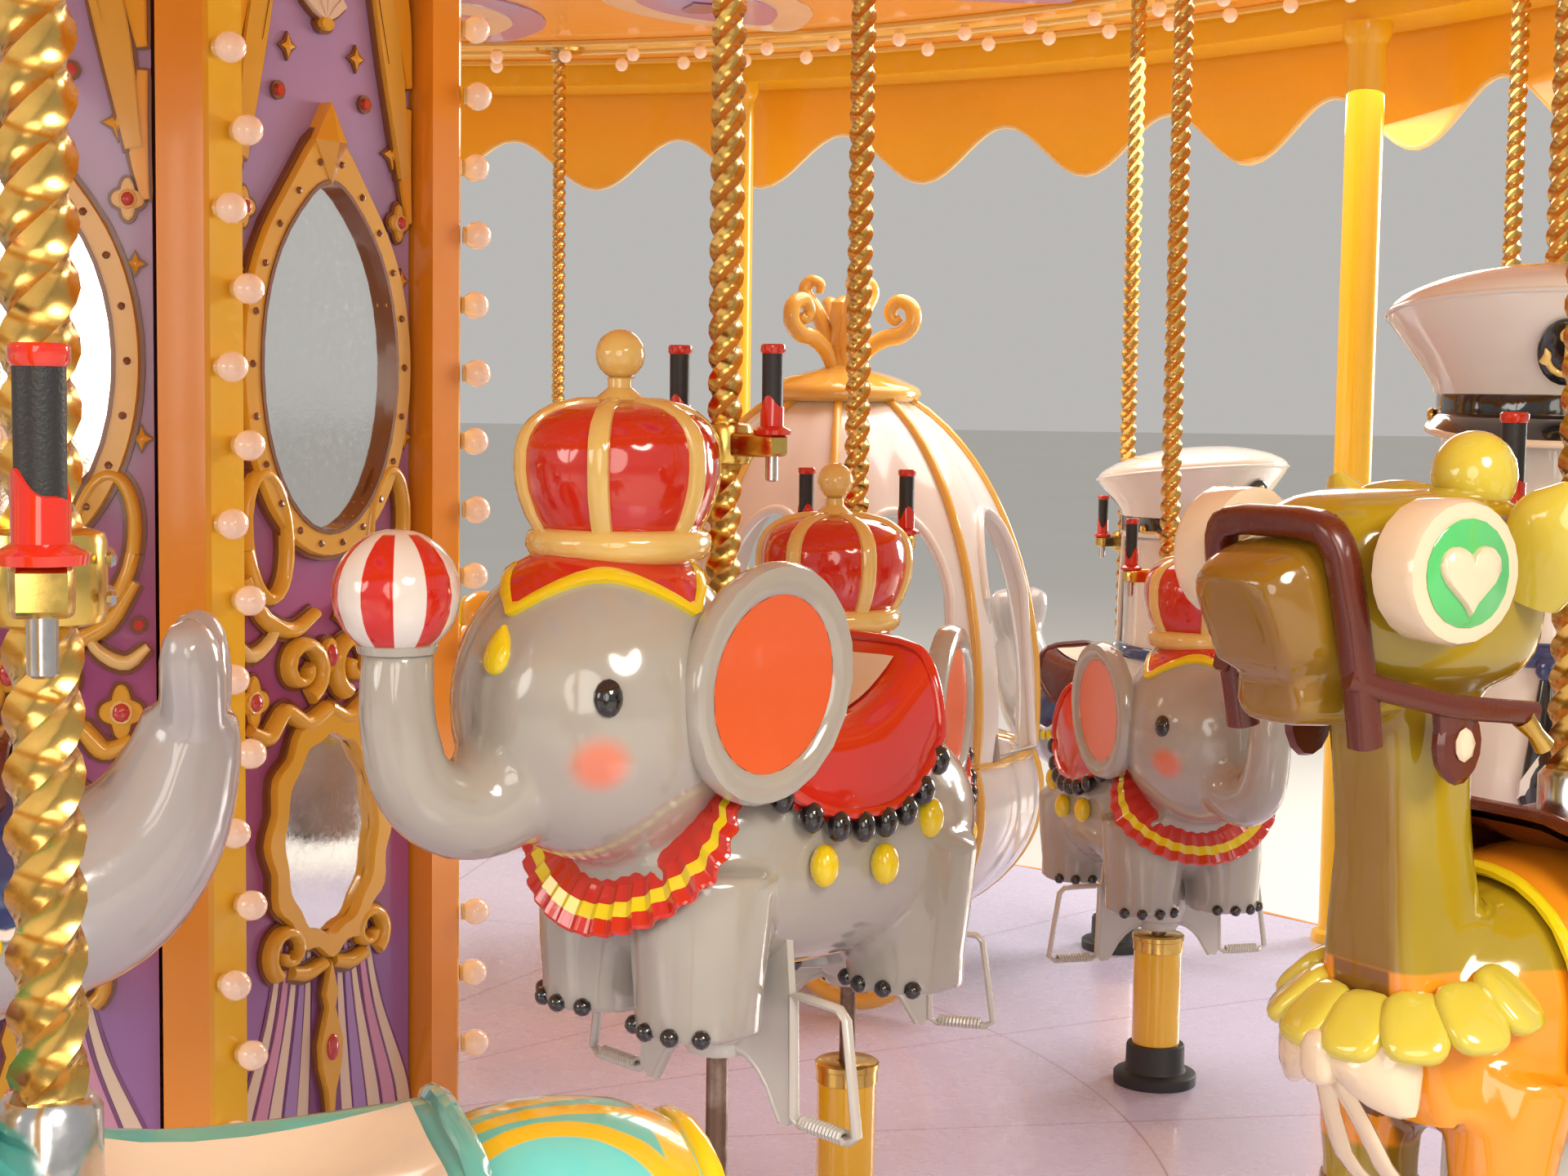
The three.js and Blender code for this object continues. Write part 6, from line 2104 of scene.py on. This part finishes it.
VALANCE_LOW, VALANCE_HIGH, VALANCE_TOP, VALANCE_THICKNESS = 2.8, 2.99, 3.27, 0.02
VALANCE_WAVES, FIRST_WAVE_BEARING = 40, 2.2


def valance_edge(bearing):
    swing = (VALANCE_HIGH - VALANCE_LOW) / 2
    return (VALANCE_LOW + VALANCE_HIGH) / 2 - swing * cos(radians((bearing - FIRST_WAVE_BEARING)
        * VALANCE_WAVES))


def build_valance():
    settings = {"Low": VALANCE_LOW, "High": VALANCE_HIGH, "Top": VALANCE_TOP, "Waves": float(VALANCE_WAVES),
        "First low bearing": FIRST_WAVE_BEARING}
    forms = []
    finish = "valance_orange_paint"
    for radius, outwards in ((VALANCE_OUTSIDE, True), (VALANCE_OUTSIDE - VALANCE_THICKNESS, False)):
        skin = grown("valance_skin", WAVY_WALL, {**settings, "Radius": radius}, finish)
        points, faces, _ = form_of(skin, finish)
        corner, second, third = points[list(faces[0][:3])]
        away = np.cross(second - corner, third - corner) @ (corner * [1, 1, 0])
        if (away > 0) != outwards:
            faces = [face[::-1] for face in faces]
        forms.append((points, faces, finish))
    # The rolled lower edge along the scallops, its pale paint a painted highlight
    edge, count = [], 640
    for k in range(count):
        bearing = -360.0 * k / count
        edge.append((*spot(VALANCE_OUTSIDE - 0.01, bearing, valance_edge(bearing) + 0.002), 0.0115))
    forms.append(hoop_bar(edge, "valance_edge_paint", 8))
    forms.append(hoop_wall(VALANCE_OUTSIDE - VALANCE_THICKNESS, VALANCE_OUTSIDE - 0.0005, 3.262, 3.2698,
        "valance_orange_paint", 200))
    piece = put("scalloped_valance", forms)
    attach(piece, "platform")
    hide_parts("valance")


def build_ceiling_trim():
    """Bulb rings, flat painted shapes and pole bushes under the ceiling's painted board."""
    forms = []
    under = CEILING_UNDERSIDE
    for radius, count in ((3.86, 100), (3.62, 88)):
        places = [spot(radius, bearing, under - 0.001) for bearing in around(count)]
        forms += bulbs_on(places, [(0, 0, -1)] * count, 0.025)
    for radius, thickness in ((3.95, 0.016), (3.74, 0.01), (3.5, 0.016), (2.3, 0.014), (1.08, 0.02)):
        finish = "pale_gold_paint" if radius == 3.74 else "gold_relief_paint"
        forms.append(circle_tube(radius, under - 0.004, thickness, finish))
    for k, bearing in enumerate(around(20, 9.0)):
        petal = pointed_oval(0.3, 0.47, 2.9, 0.1, count=48)
        inner = pointed_oval(0.19, 0.33, 2.9, 0.07, count=48)
        heart_shape = heart(0.22) + np.array([0, 2.92])
        finishes = ("cream_paint", "lilac_paint", "plum_paint") if k % 2 else ("lilac_paint", "cream_paint",
            "pink_paint")
        for outline, finish, depth in ((petal, finishes[0], 0.006), (inner, finishes[1], 0.01),
                (heart_shape, finishes[2], 0.014)):
            turn = radians(-bearing)
            for points, faces, name in plate(counterclockwise(outline), 0.0, depth, finish):
                x, across, out = points.T
                moved = np.column_stack([across * cos(turn) - out * sin(turn),
                    across * sin(turn) + out * cos(turn), under - 0.001 - x])
                forms.append((moved, [face[::-1] for face in faces], name))
    for name in MOUNT_NAMES:
        profile = [(0.04, under + 0.01), (0.04, under - 0.012), (0.052, under - 0.018),
            (0.085, under - 0.014), (0.09, under - 0.002)]
        rows = circles(profile, 28, pole_foot(name))
        forms.append(grid_form(np.array(rows)[::-1], "clamp_brass", round_across=True))
    piece = put("ceiling_lights", thinned("lights", forms, LIGHTS_SHARE))
    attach(piece, "platform")


CORNICE_INSIDE, CORNICE_OUTSIDE, CORNICE_LOW = 4.2603, 4.2683, 3.2703


def crest_height(bearing):
    return 3.65 + 0.19 * abs(sin(radians(bearing - FIRST_POST_BEARING) * POST_COUNT / 2))


def build_cornice():
    count = 400
    bearings = [-360.0 * k / count for k in range(count)]
    inner, outer = CORNICE_INSIDE, CORNICE_OUTSIDE
    rows = []
    section = [(outer, share) for share in (0.0, 0.25, 0.5, 0.75, 1.0)] + [(inner, share)
        for share in (1.0, 0.5, 0.0)]
    for radius, share in section:
        rows.append([tuple(spot(radius, b, CORNICE_LOW + (crest_height(b) - CORNICE_LOW) * share))
            for b in bearings])
    forms = [grid_form(rows, "cornice_paint", round_across=True, round_along=True)]
    edge = [(*spot(outer + 0.01, b, crest_height(b) - 0.016), 0.022) for b in bearings]
    forms.append(hoop_bar(edge, "gold_relief_paint", 10))
    lower_edge = [(*spot(outer + 0.01, b, CORNICE_LOW + 0.024), 0.02) for b in bearings[::2]]
    forms.append(hoop_bar(lower_edge, "gold_relief_paint", 10))
    places, aims = [], []
    for bearing in around(120, 1.5):
        for height in (crest_height(bearing) - 0.085, CORNICE_LOW + 0.095):
            places.append(spot(outer - 0.002, bearing, height))
            aims.append(spot(1.0, bearing))
    forms += bulbs_on(places, aims, 0.018)
    for k in range(POST_COUNT):
        bearing = FIRST_POST_BEARING + POST_PITCH * k + POST_PITCH / 2
        turn = facing_out(bearing, outer - 0.004, 0.0)
        centre = 3.555
        art = plate(pointed_oval(0.33, 0.15, centre), 0.0, 0.012, "mirror_silver")
        art += band(pointed_oval(0.325, 0.146, centre),
            pointed_oval(0.375, 0.19, centre, ripple=0.03, lobes=16), 0.0, 0.03, "gold_relief_paint")
        for flip in (list, flipped):
            art += roll(flip(spiral((0.52, centre - 0.02), 0.1, 0.02, 170, -1.3, 0.024)), 0.03, low=0.002)
            art += roll(flip([(0.4, centre - 0.1, 0.02), (0.55, centre - 0.15, 0.026),
                (0.72, centre - 0.12, 0.02), (0.86, centre - 0.15, 0.01)]), 0.028, low=0.002)
        art += plate(oval(0.05, 0.05, 24, (0.0, centre + 0.235)), 0.002, 0.026, "gem_red", slope=0.2)
        forms += [placed(form, turn) for form in bent_round(art, outer - 0.004)]
        post_turn = facing_out(bearing - POST_PITCH / 2, outer - 0.004, 0.0)
        mark = plate(pointed_oval(0.085, 0.115, 3.475), 0.0, 0.014, "lilac_paint")
        mark += band(pointed_oval(0.083, 0.112, 3.475), pointed_oval(0.115, 0.145, 3.475), 0.0, 0.028,
            "gold_relief_paint")
        mark += plate(heart(0.1) + np.array([0, 3.475]), 0.002, 0.028, "gem_red", slope=0.2)
        forms += [placed(form, post_turn) for form in bent_round(mark, outer - 0.004)]
    piece = put("cornice_boards", thinned("cornice", forms, CORNICE_SHARE))
    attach(piece, "platform")
    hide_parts("rounding_boards")


def bent_round(forms, radius):
    """Wraps flat ornament round a wall of that radius."""
    out = []
    for points, faces, finish in forms:
        angle = points[:, 1] / radius
        reach = radius + points[:, 0]
        out.append((np.column_stack([reach * np.cos(angle) - radius, reach * np.sin(angle), points[:, 2]]),
            faces, finish))
    return out


def build_roof_trim():
    """Gold ribs and an eaves roll on the striped roof, and the turned crown at its top."""
    forms = []
    for bearing in around(20, 9.0):
        low, high = spot(4.235, bearing, 3.742), spot(0.3, bearing, 4.886)
        forms.append(limb([(*low, 0.02), (*high, 0.016)], "gold_relief_paint", 10, straight=True))
    forms.append(hoop_wall(4.19, 4.245, 3.69, 3.735, "gold_relief_paint", 160))
    piece = put("roof_ribs", forms)
    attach(piece, "platform")
    profile = [(0.345, 4.902), (0.35, 4.93), (0.345, 4.985), (0.3, 5.0), (0.25, 5.03), (0.242, 5.06),
        (0.262, 5.11), (0.292, 5.17), (0.296, 5.215), (0.27, 5.275), (0.215, 5.325), (0.15, 5.36),
        (0.085, 5.385), (0.058, 5.41), (0.055, 5.45), (0.066, 5.475), (0.09, 5.505), (0.095, 5.525),
        (0.084, 5.56), (0.055, 5.59), (0.022, 5.606), (0.004, 5.618)]

    def lobed(angle, height):
        share = max(0.0, 1 - abs(height - 5.19) / 0.16)
        return 1 + 0.045 * share * np.abs(np.cos(6 * angle)) - 0.03 * share

    crown = [turned(profile, "crown_gold_gloss", 96, wobble=lobed)]
    for bearing in around(12, 15.0):
        crown.append(placed(ball((0, 0, 0), (0.03, 0.03, 0.03), "gem_red", 16, 10),
            Matrix.Translation(spot(0.335, bearing, 4.955))))
    piece = put("roof_finial", crown)
    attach(piece, "platform")
    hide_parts("roof_crown")


# Pumpkin carriage, in its own axes: +X the way it travels, +Y outwards, zero on the deck
SPLIT = 0.66
LOBES, LOBE_PITCH, LOBED_SIDES = 8, 45, 96
SHELL = (0.6, 0.545, 0.96, 0.78)
TUB = (0.62, 0.56, 0.43, 0.52)


def lobed_shell(radii, centre, low, high, finish, depth=0.035, rows=30):
    """Part of a pumpkin-shaped skin between two heights, closed with flat ends."""
    out = []
    for z in np.linspace(low, high, rows):
        level = sqrt(max(0.0, 1 - ((z - centre) / radii[2]) ** 2))
        angle = ring(LOBED_SIDES)
        swell = 1 - depth * (1 - np.abs(np.cos(LOBES / 2 * (angle - radians(LOBE_PITCH / 2))))) ** 1.6
        out.append(np.column_stack([radii[0] * level * swell * np.cos(angle),
            radii[1] * level * swell * np.sin(angle), np.full(LOBED_SIDES, z)]))
    return grid_form(out, finish, round_across=True, caps=True)


def carved(body, cutters, finish):
    """Cuts forms out of a form."""
    target = put("shell_clay", [body])
    tools = []
    for k, cutter in enumerate(cutters):
        tool = put(f"cutter_{k}", cutter)
        cut = target.modifiers.new("cut", "BOOLEAN")
        cut.operation, cut.object, cut.solver = "DIFFERENCE", tool, "EXACT"
        tools.append(tool)
    mesh = settled(target).data
    form = form_of(mesh, finish)
    for piece in (target, *tools):
        bpy.data.objects.remove(piece)
    return form


def window_outline(half=0.145, low=0.7, spring=1.13, top=1.37):
    arch = [(half * cos(a), spring + (top - spring) * sin(a) ** 1.25) for a in np.linspace(0, pi, 25)]
    return [(-half, low), (half, low), *arch]


def gold_rib(skin, number, heights, lift):
    """A gold bar up the groove between two lobes."""
    turn = radians(LOBE_PITCH * number + LOBE_PITCH / 2)
    stops = []
    for z in heights:
        place, normal = skin.hit((0, 0, z), (cos(turn), sin(turn), z))
        stops.append((*(place + normal * lift), 0.0135))
    return limb(stops, "carriage_gold", 12, straight=True)


def carriage_shell_forms():
    outer = lobed_shell(SHELL[:3], SHELL[3], SPLIT + 0.002, 1.735, "white_shell", rows=34)
    inner_radii = (SHELL[0] - 0.042, SHELL[1] - 0.042, SHELL[2] - 0.045)
    hollow = lobed_shell(inner_radii, SHELL[3], SPLIT - 0.05, 1.68, "white_shell", depth=0.02, rows=26)
    cutters = [[hollow]]
    for angle in range(0, 180, LOBE_PITCH):
        opening = plate(window_outline(low=0.64), -0.9, 0.9, "white_shell")
        cutters.append([placed(form, spin(angle)) for form in opening])
    shell = carved(outer, cutters, "white_shell")
    forms = [shell]
    skin = Skin(lobed_shell(SHELL[:3], SHELL[3], SPLIT + 0.002, 1.735, "white_shell", rows=60))
    for k in range(LOBES):
        turn = radians(LOBE_PITCH * k)
        rim = []
        for y, z in window_outline(half=0.148, low=0.672, top=1.376):
            x_dir = np.array([cos(turn), sin(turn), 0])
            y_dir = np.array([-sin(turn), cos(turn), 0])
            far = x_dir * 0.95 + y_dir * y + np.array([0, 0, z])
            place, _ = skin.hit(far, far - x_dir)
            rim.append((*place, 0.014))
        forms.append(hoop_bar(rim, "white_shell", 12))
        forms.append(gold_rib(skin, k, np.linspace(0.67, 1.7, 22), 0.006))
    ring_profile = [(0.15, 1.678), (0.215, 1.684), (0.232, 1.694), (0.236, 1.708), (0.23, 1.722),
        (0.214, 1.732), (0.196, 1.74), (0.17, 1.752), (0.12, 1.768), (0.07, 1.778), (0.046, 1.79),
        (0.04, 1.8)]
    forms.append(turned(ring_profile, "carriage_gold", 48))
    for k in range(6):
        turn = spin(60 * k + 10)
        stem = [(0.04, 0, 1.78, 0.02), (0.075, 0, 1.835, 0.024), (0.125, 0, 1.868, 0.026),
            (0.176, 0, 1.88, 0.026), (0.212, 0, 1.915, 0.025), (0.206, 0, 1.962, 0.024),
            (0.166, 0, 1.978, 0.022), (0.142, 0, 1.948, 0.02), (0.156, 0, 1.922, 0.017),
            (0.176, 0, 1.932, 0.01)]
        if k % 2:
            stem = [(0.03, 0, 1.79, 0.02), (0.05, 0, 1.87, 0.024), (0.085, 0, 1.95, 0.024),
                (0.12, 0, 2.005, 0.022), (0.104, 0, 2.038, 0.019), (0.074, 0, 2.03, 0.016),
                (0.078, 0, 2.002, 0.01)]
        forms.append(placed(limb(stem, "carriage_gold", 14, 6), turn))
    forms.append(turned([(0.05, 1.775), (0.044, 1.84), (0.036, 1.9), (0.046, 1.94), (0.04, 1.975),
        (0.012, 1.995)], "carriage_gold", 28))
    return forms


def spoked_wheel(x, y):
    turn = Matrix.Translation((x, y, 0.252)) @ spin(90)
    forms = [hoop_bar([(0, 0.215 * cos(a), 0.215 * sin(a), 0.024) for a in ring(48)], "carriage_gold", 12,
        hint=(1, 0, 0))]
    forms.append(hoop_bar([(0, 0.165 * cos(a), 0.165 * sin(a), 0.01) for a in ring(40)], "pale_gold_paint",
        8, hint=(1, 0, 0)))
    for a in ring(10):
        forms.append(limb([(0, 0.03 * cos(a), 0.03 * sin(a), 0.015),
            (0, 0.12 * cos(a), 0.12 * sin(a), 0.01), (0, 0.21 * cos(a), 0.21 * sin(a), 0.016)],
            "carriage_gold", 10, 4, hint=(1, 0, 0)))
    forms.append(ball((0, 0, 0), (0.045, 0.05, 0.05), "crown_gold_gloss", 24, 14))
    return [placed(form, turn) for form in forms]


def carriage_tub_forms():
    outer = lobed_shell(TUB[:3], TUB[3], 0.12, SPLIT - 0.0003, "white_shell", rows=26)
    hollow = lobed_shell((0.555, 0.495, 0.385), 0.56, 0.19, SPLIT + 0.1, "white_shell", depth=0.02, rows=24)
    doorway = plate([(-0.21, 0.36), (0.21, 0.36), (0.21, 0.95), (-0.21, 0.95)], 0.2, 0.9, "white_shell")
    door_tool = [placed(form, spin(90)) for form in doorway]
    forms = [carved(outer, [[hollow], door_tool], "white_shell")]
    skin = Skin(lobed_shell(TUB[:3], TUB[3], 0.1, SPLIT + 0.02, "white_shell", rows=60))
    forms += [gold_rib(skin, k, np.linspace(0.15, 0.645, 14), 0.004) for k in range(LOBES)]
    lip = []
    for a in np.radians(np.linspace(90 + 24, 450 - 24, 90)):
        place, _ = skin.hit((0, 0, 0.655), (cos(a), sin(a), 0.655))
        lip.append((*(place * [0.985, 0.985, 1]), 0.02))
    forms.append(limb(lip, "carriage_gold", 12, straight=True, hint=(0, 0, 1)))
    forms.append(turned([(0.285, 0.001), (0.3, 0.01), (0.3, 0.05), (0.27, 0.07), (0.25, 0.14)],
        "carriage_gold", 48))
    seat = ball((-0.33, 0, 0.44), (0.12, 0.36, 0.05), "scarlet_panel", 32, 14, box=5)
    back = ball((-0.43, 0, 0.56), (0.045, 0.33, 0.11), "scarlet_panel", 32, 14, box=4)
    base = ball((-0.33, 0, 0.3), (0.125, 0.37, 0.11), "white_shell", 28, 12, box=8)
    forms += [seat, back, base]
    for x in (-0.33, 0.33):
        forms += spoked_wheel(x, -0.57)
        forms.append(limb([(x, -0.545, 0.252, 0.03), (x, -0.3, 0.252, 0.03)], "carriage_gold", 14,
            straight=True, hint=(0, 0, 1)))
    return forms


def build_carriage():
    place = station(CARRIAGE_RADIUS, CARRIAGE_BEARING, DECK_TOP, CARRIAGE_TURN)
    for name, forms, node in (("pumpkin_shell", carriage_shell_forms(), "carriage_canopy"),
            ("pumpkin_tub", carriage_tub_forms(), "carriage_body")):
        piece = put(name, forms, place, crease=42)
        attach(piece, "platform")
        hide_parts(node)


# Each mount rides with its own body
KINDS = {"elephant": elephant_forms, "camel": camel_forms, "pony": pony_forms, "seal": seal_forms}


def mount_place(name):
    """Where a mount's axes stand in the frame: at its pole, above its guide tube."""
    x, y, foot = pole_foot(name)
    bearing = degrees(atan2(x, y))
    return Matrix.Translation((x, y, foot - ROD_FOOT)) @ spin(TURNED_MOUNTS.get(name, 0.0) - bearing)


def build_mounts():
    bar_form = form_of(pole_bar_mesh(), "twisted_brass")
    fittings = pole_fittings()
    for kind, make in KINDS.items():
        figure_mesh = thinned(kind, make(), FIGURE_SHARE)
        for number in range(1, MOUNT_COUNTS[kind] + 1):
            name = f"{kind}_{number}"
            place = mount_place(name)
            figure = put(name + "_shell", figure_mesh.copy(), place)
            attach(figure, name + "_ride")
            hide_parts(name)
            pole = put(name + "_twisted_pole", [bar_form, *fittings], place)
            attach(pole, name + "_ride")
            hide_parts(name + "_pole")


def keep_frame_nodes():
    """The nodes that stay as the frame has them get their finish."""
    kept = {"deck": "deck_sheet_paint", "ceiling": "ceiling_board_paint", "roof": "roof_gore_paint",
        "base_plate": "mast_grey_paint", "centre_mast": "mast_grey_paint", "deck_frame": "mast_grey_paint"}
    for node, finish in kept.items():
        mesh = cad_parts[node].data
        mesh.materials.clear()
        mesh.materials.append(FINISHES[finish])


build_mounts()
build_drum()
build_guides()
build_skirt()
build_posts()
build_valance()
build_ceiling_trim()
build_cornice()
build_roof_trim()
build_carriage()
keep_frame_nodes()


# Camera, light and floor
CAMERA_PLACE, CAMERA_DIP, CAMERA_LEAN = (1.59, -4.89, 1.99), 4.75, 0.8
SENSOR_WIDTH, LENS = 36.0, 52.5
FLOOR_HALF = 150
DAYLIGHT, EXPOSURE = 0.75, -0.6


def aim_camera():
    data = bpy.data.cameras.new("camera")
    data.sensor_width, data.lens = SENSOR_WIDTH, LENS
    data.clip_start, data.clip_end = 0.05, 200.0
    camera = bpy.data.objects.new("camera", data)
    bpy.context.scene.collection.objects.link(camera)
    camera.matrix_world = Matrix.Translation(CAMERA_PLACE) @ spin(90 - CAMERA_DIP, "X") @ spin(CAMERA_LEAN)
    bpy.context.scene.camera = camera


def lamp(name, place, target, size, power, paint):
    data = bpy.data.lights.new(name, "AREA")
    data.shape, data.size, data.energy, data.color = "DISK", size, power, paint
    light = bpy.data.objects.new(name, data)
    light.location = place
    light.rotation_euler = (Vector(target) - Vector(place)).to_track_quat("-Z", "Y").to_euler()
    bpy.context.scene.collection.objects.link(light)


def build_studio():
    world = bpy.data.worlds.new("studio")
    world.use_nodes = True
    background = world.node_tree.nodes["Background"]
    background.inputs["Color"].default_value = colour(1.0, 0.97, 0.93)
    background.inputs["Strength"].default_value = DAYLIGHT
    bpy.context.scene.world = world
    lamp("key_light", (7.0, -11.0, 8.0), (0.5, 0, 1.6), 5.0, 1500, (1.0, 0.93, 0.82))
    lamp("fill_light", (-9.0, -8.0, 5.0), (0, 0, 1.6), 6.0, 650, (1.0, 0.96, 0.92))
    lamp("rim_light", (-6.0, 10.0, 8.0), (0, 0, 2.0), 5.0, 1700, (1.0, 0.88, 0.72))
    lamp("front_wash", (1.2, -7.5, 2.6), (0.6, 0, 1.5), 3.0, 110, (1.0, 0.93, 0.82))
    lamp("far_wash", (8.0, 5.0, 2.6), (1.8, 1.8, 0.9), 3.0, 650, (1.0, 0.95, 0.88))
    lamp("deck_wash", (2.6, 2.0, 3.05), (2.4, 1.4, 0.3), 2.0, 60, (1.0, 0.94, 0.88))
    corners = [[(x, y, 0) for x in (-FLOOR_HALF, FLOOR_HALF)] for y in (-FLOOR_HALF, FLOOR_HALF)]
    floor = put("studio_floor", [grid_form(corners, "studio_floor_paint")])
    settings = bpy.context.scene.view_settings
    settings.view_transform = "Standard"
    settings.look = "None"
    settings.exposure = EXPOSURE


aim_camera()
build_studio()
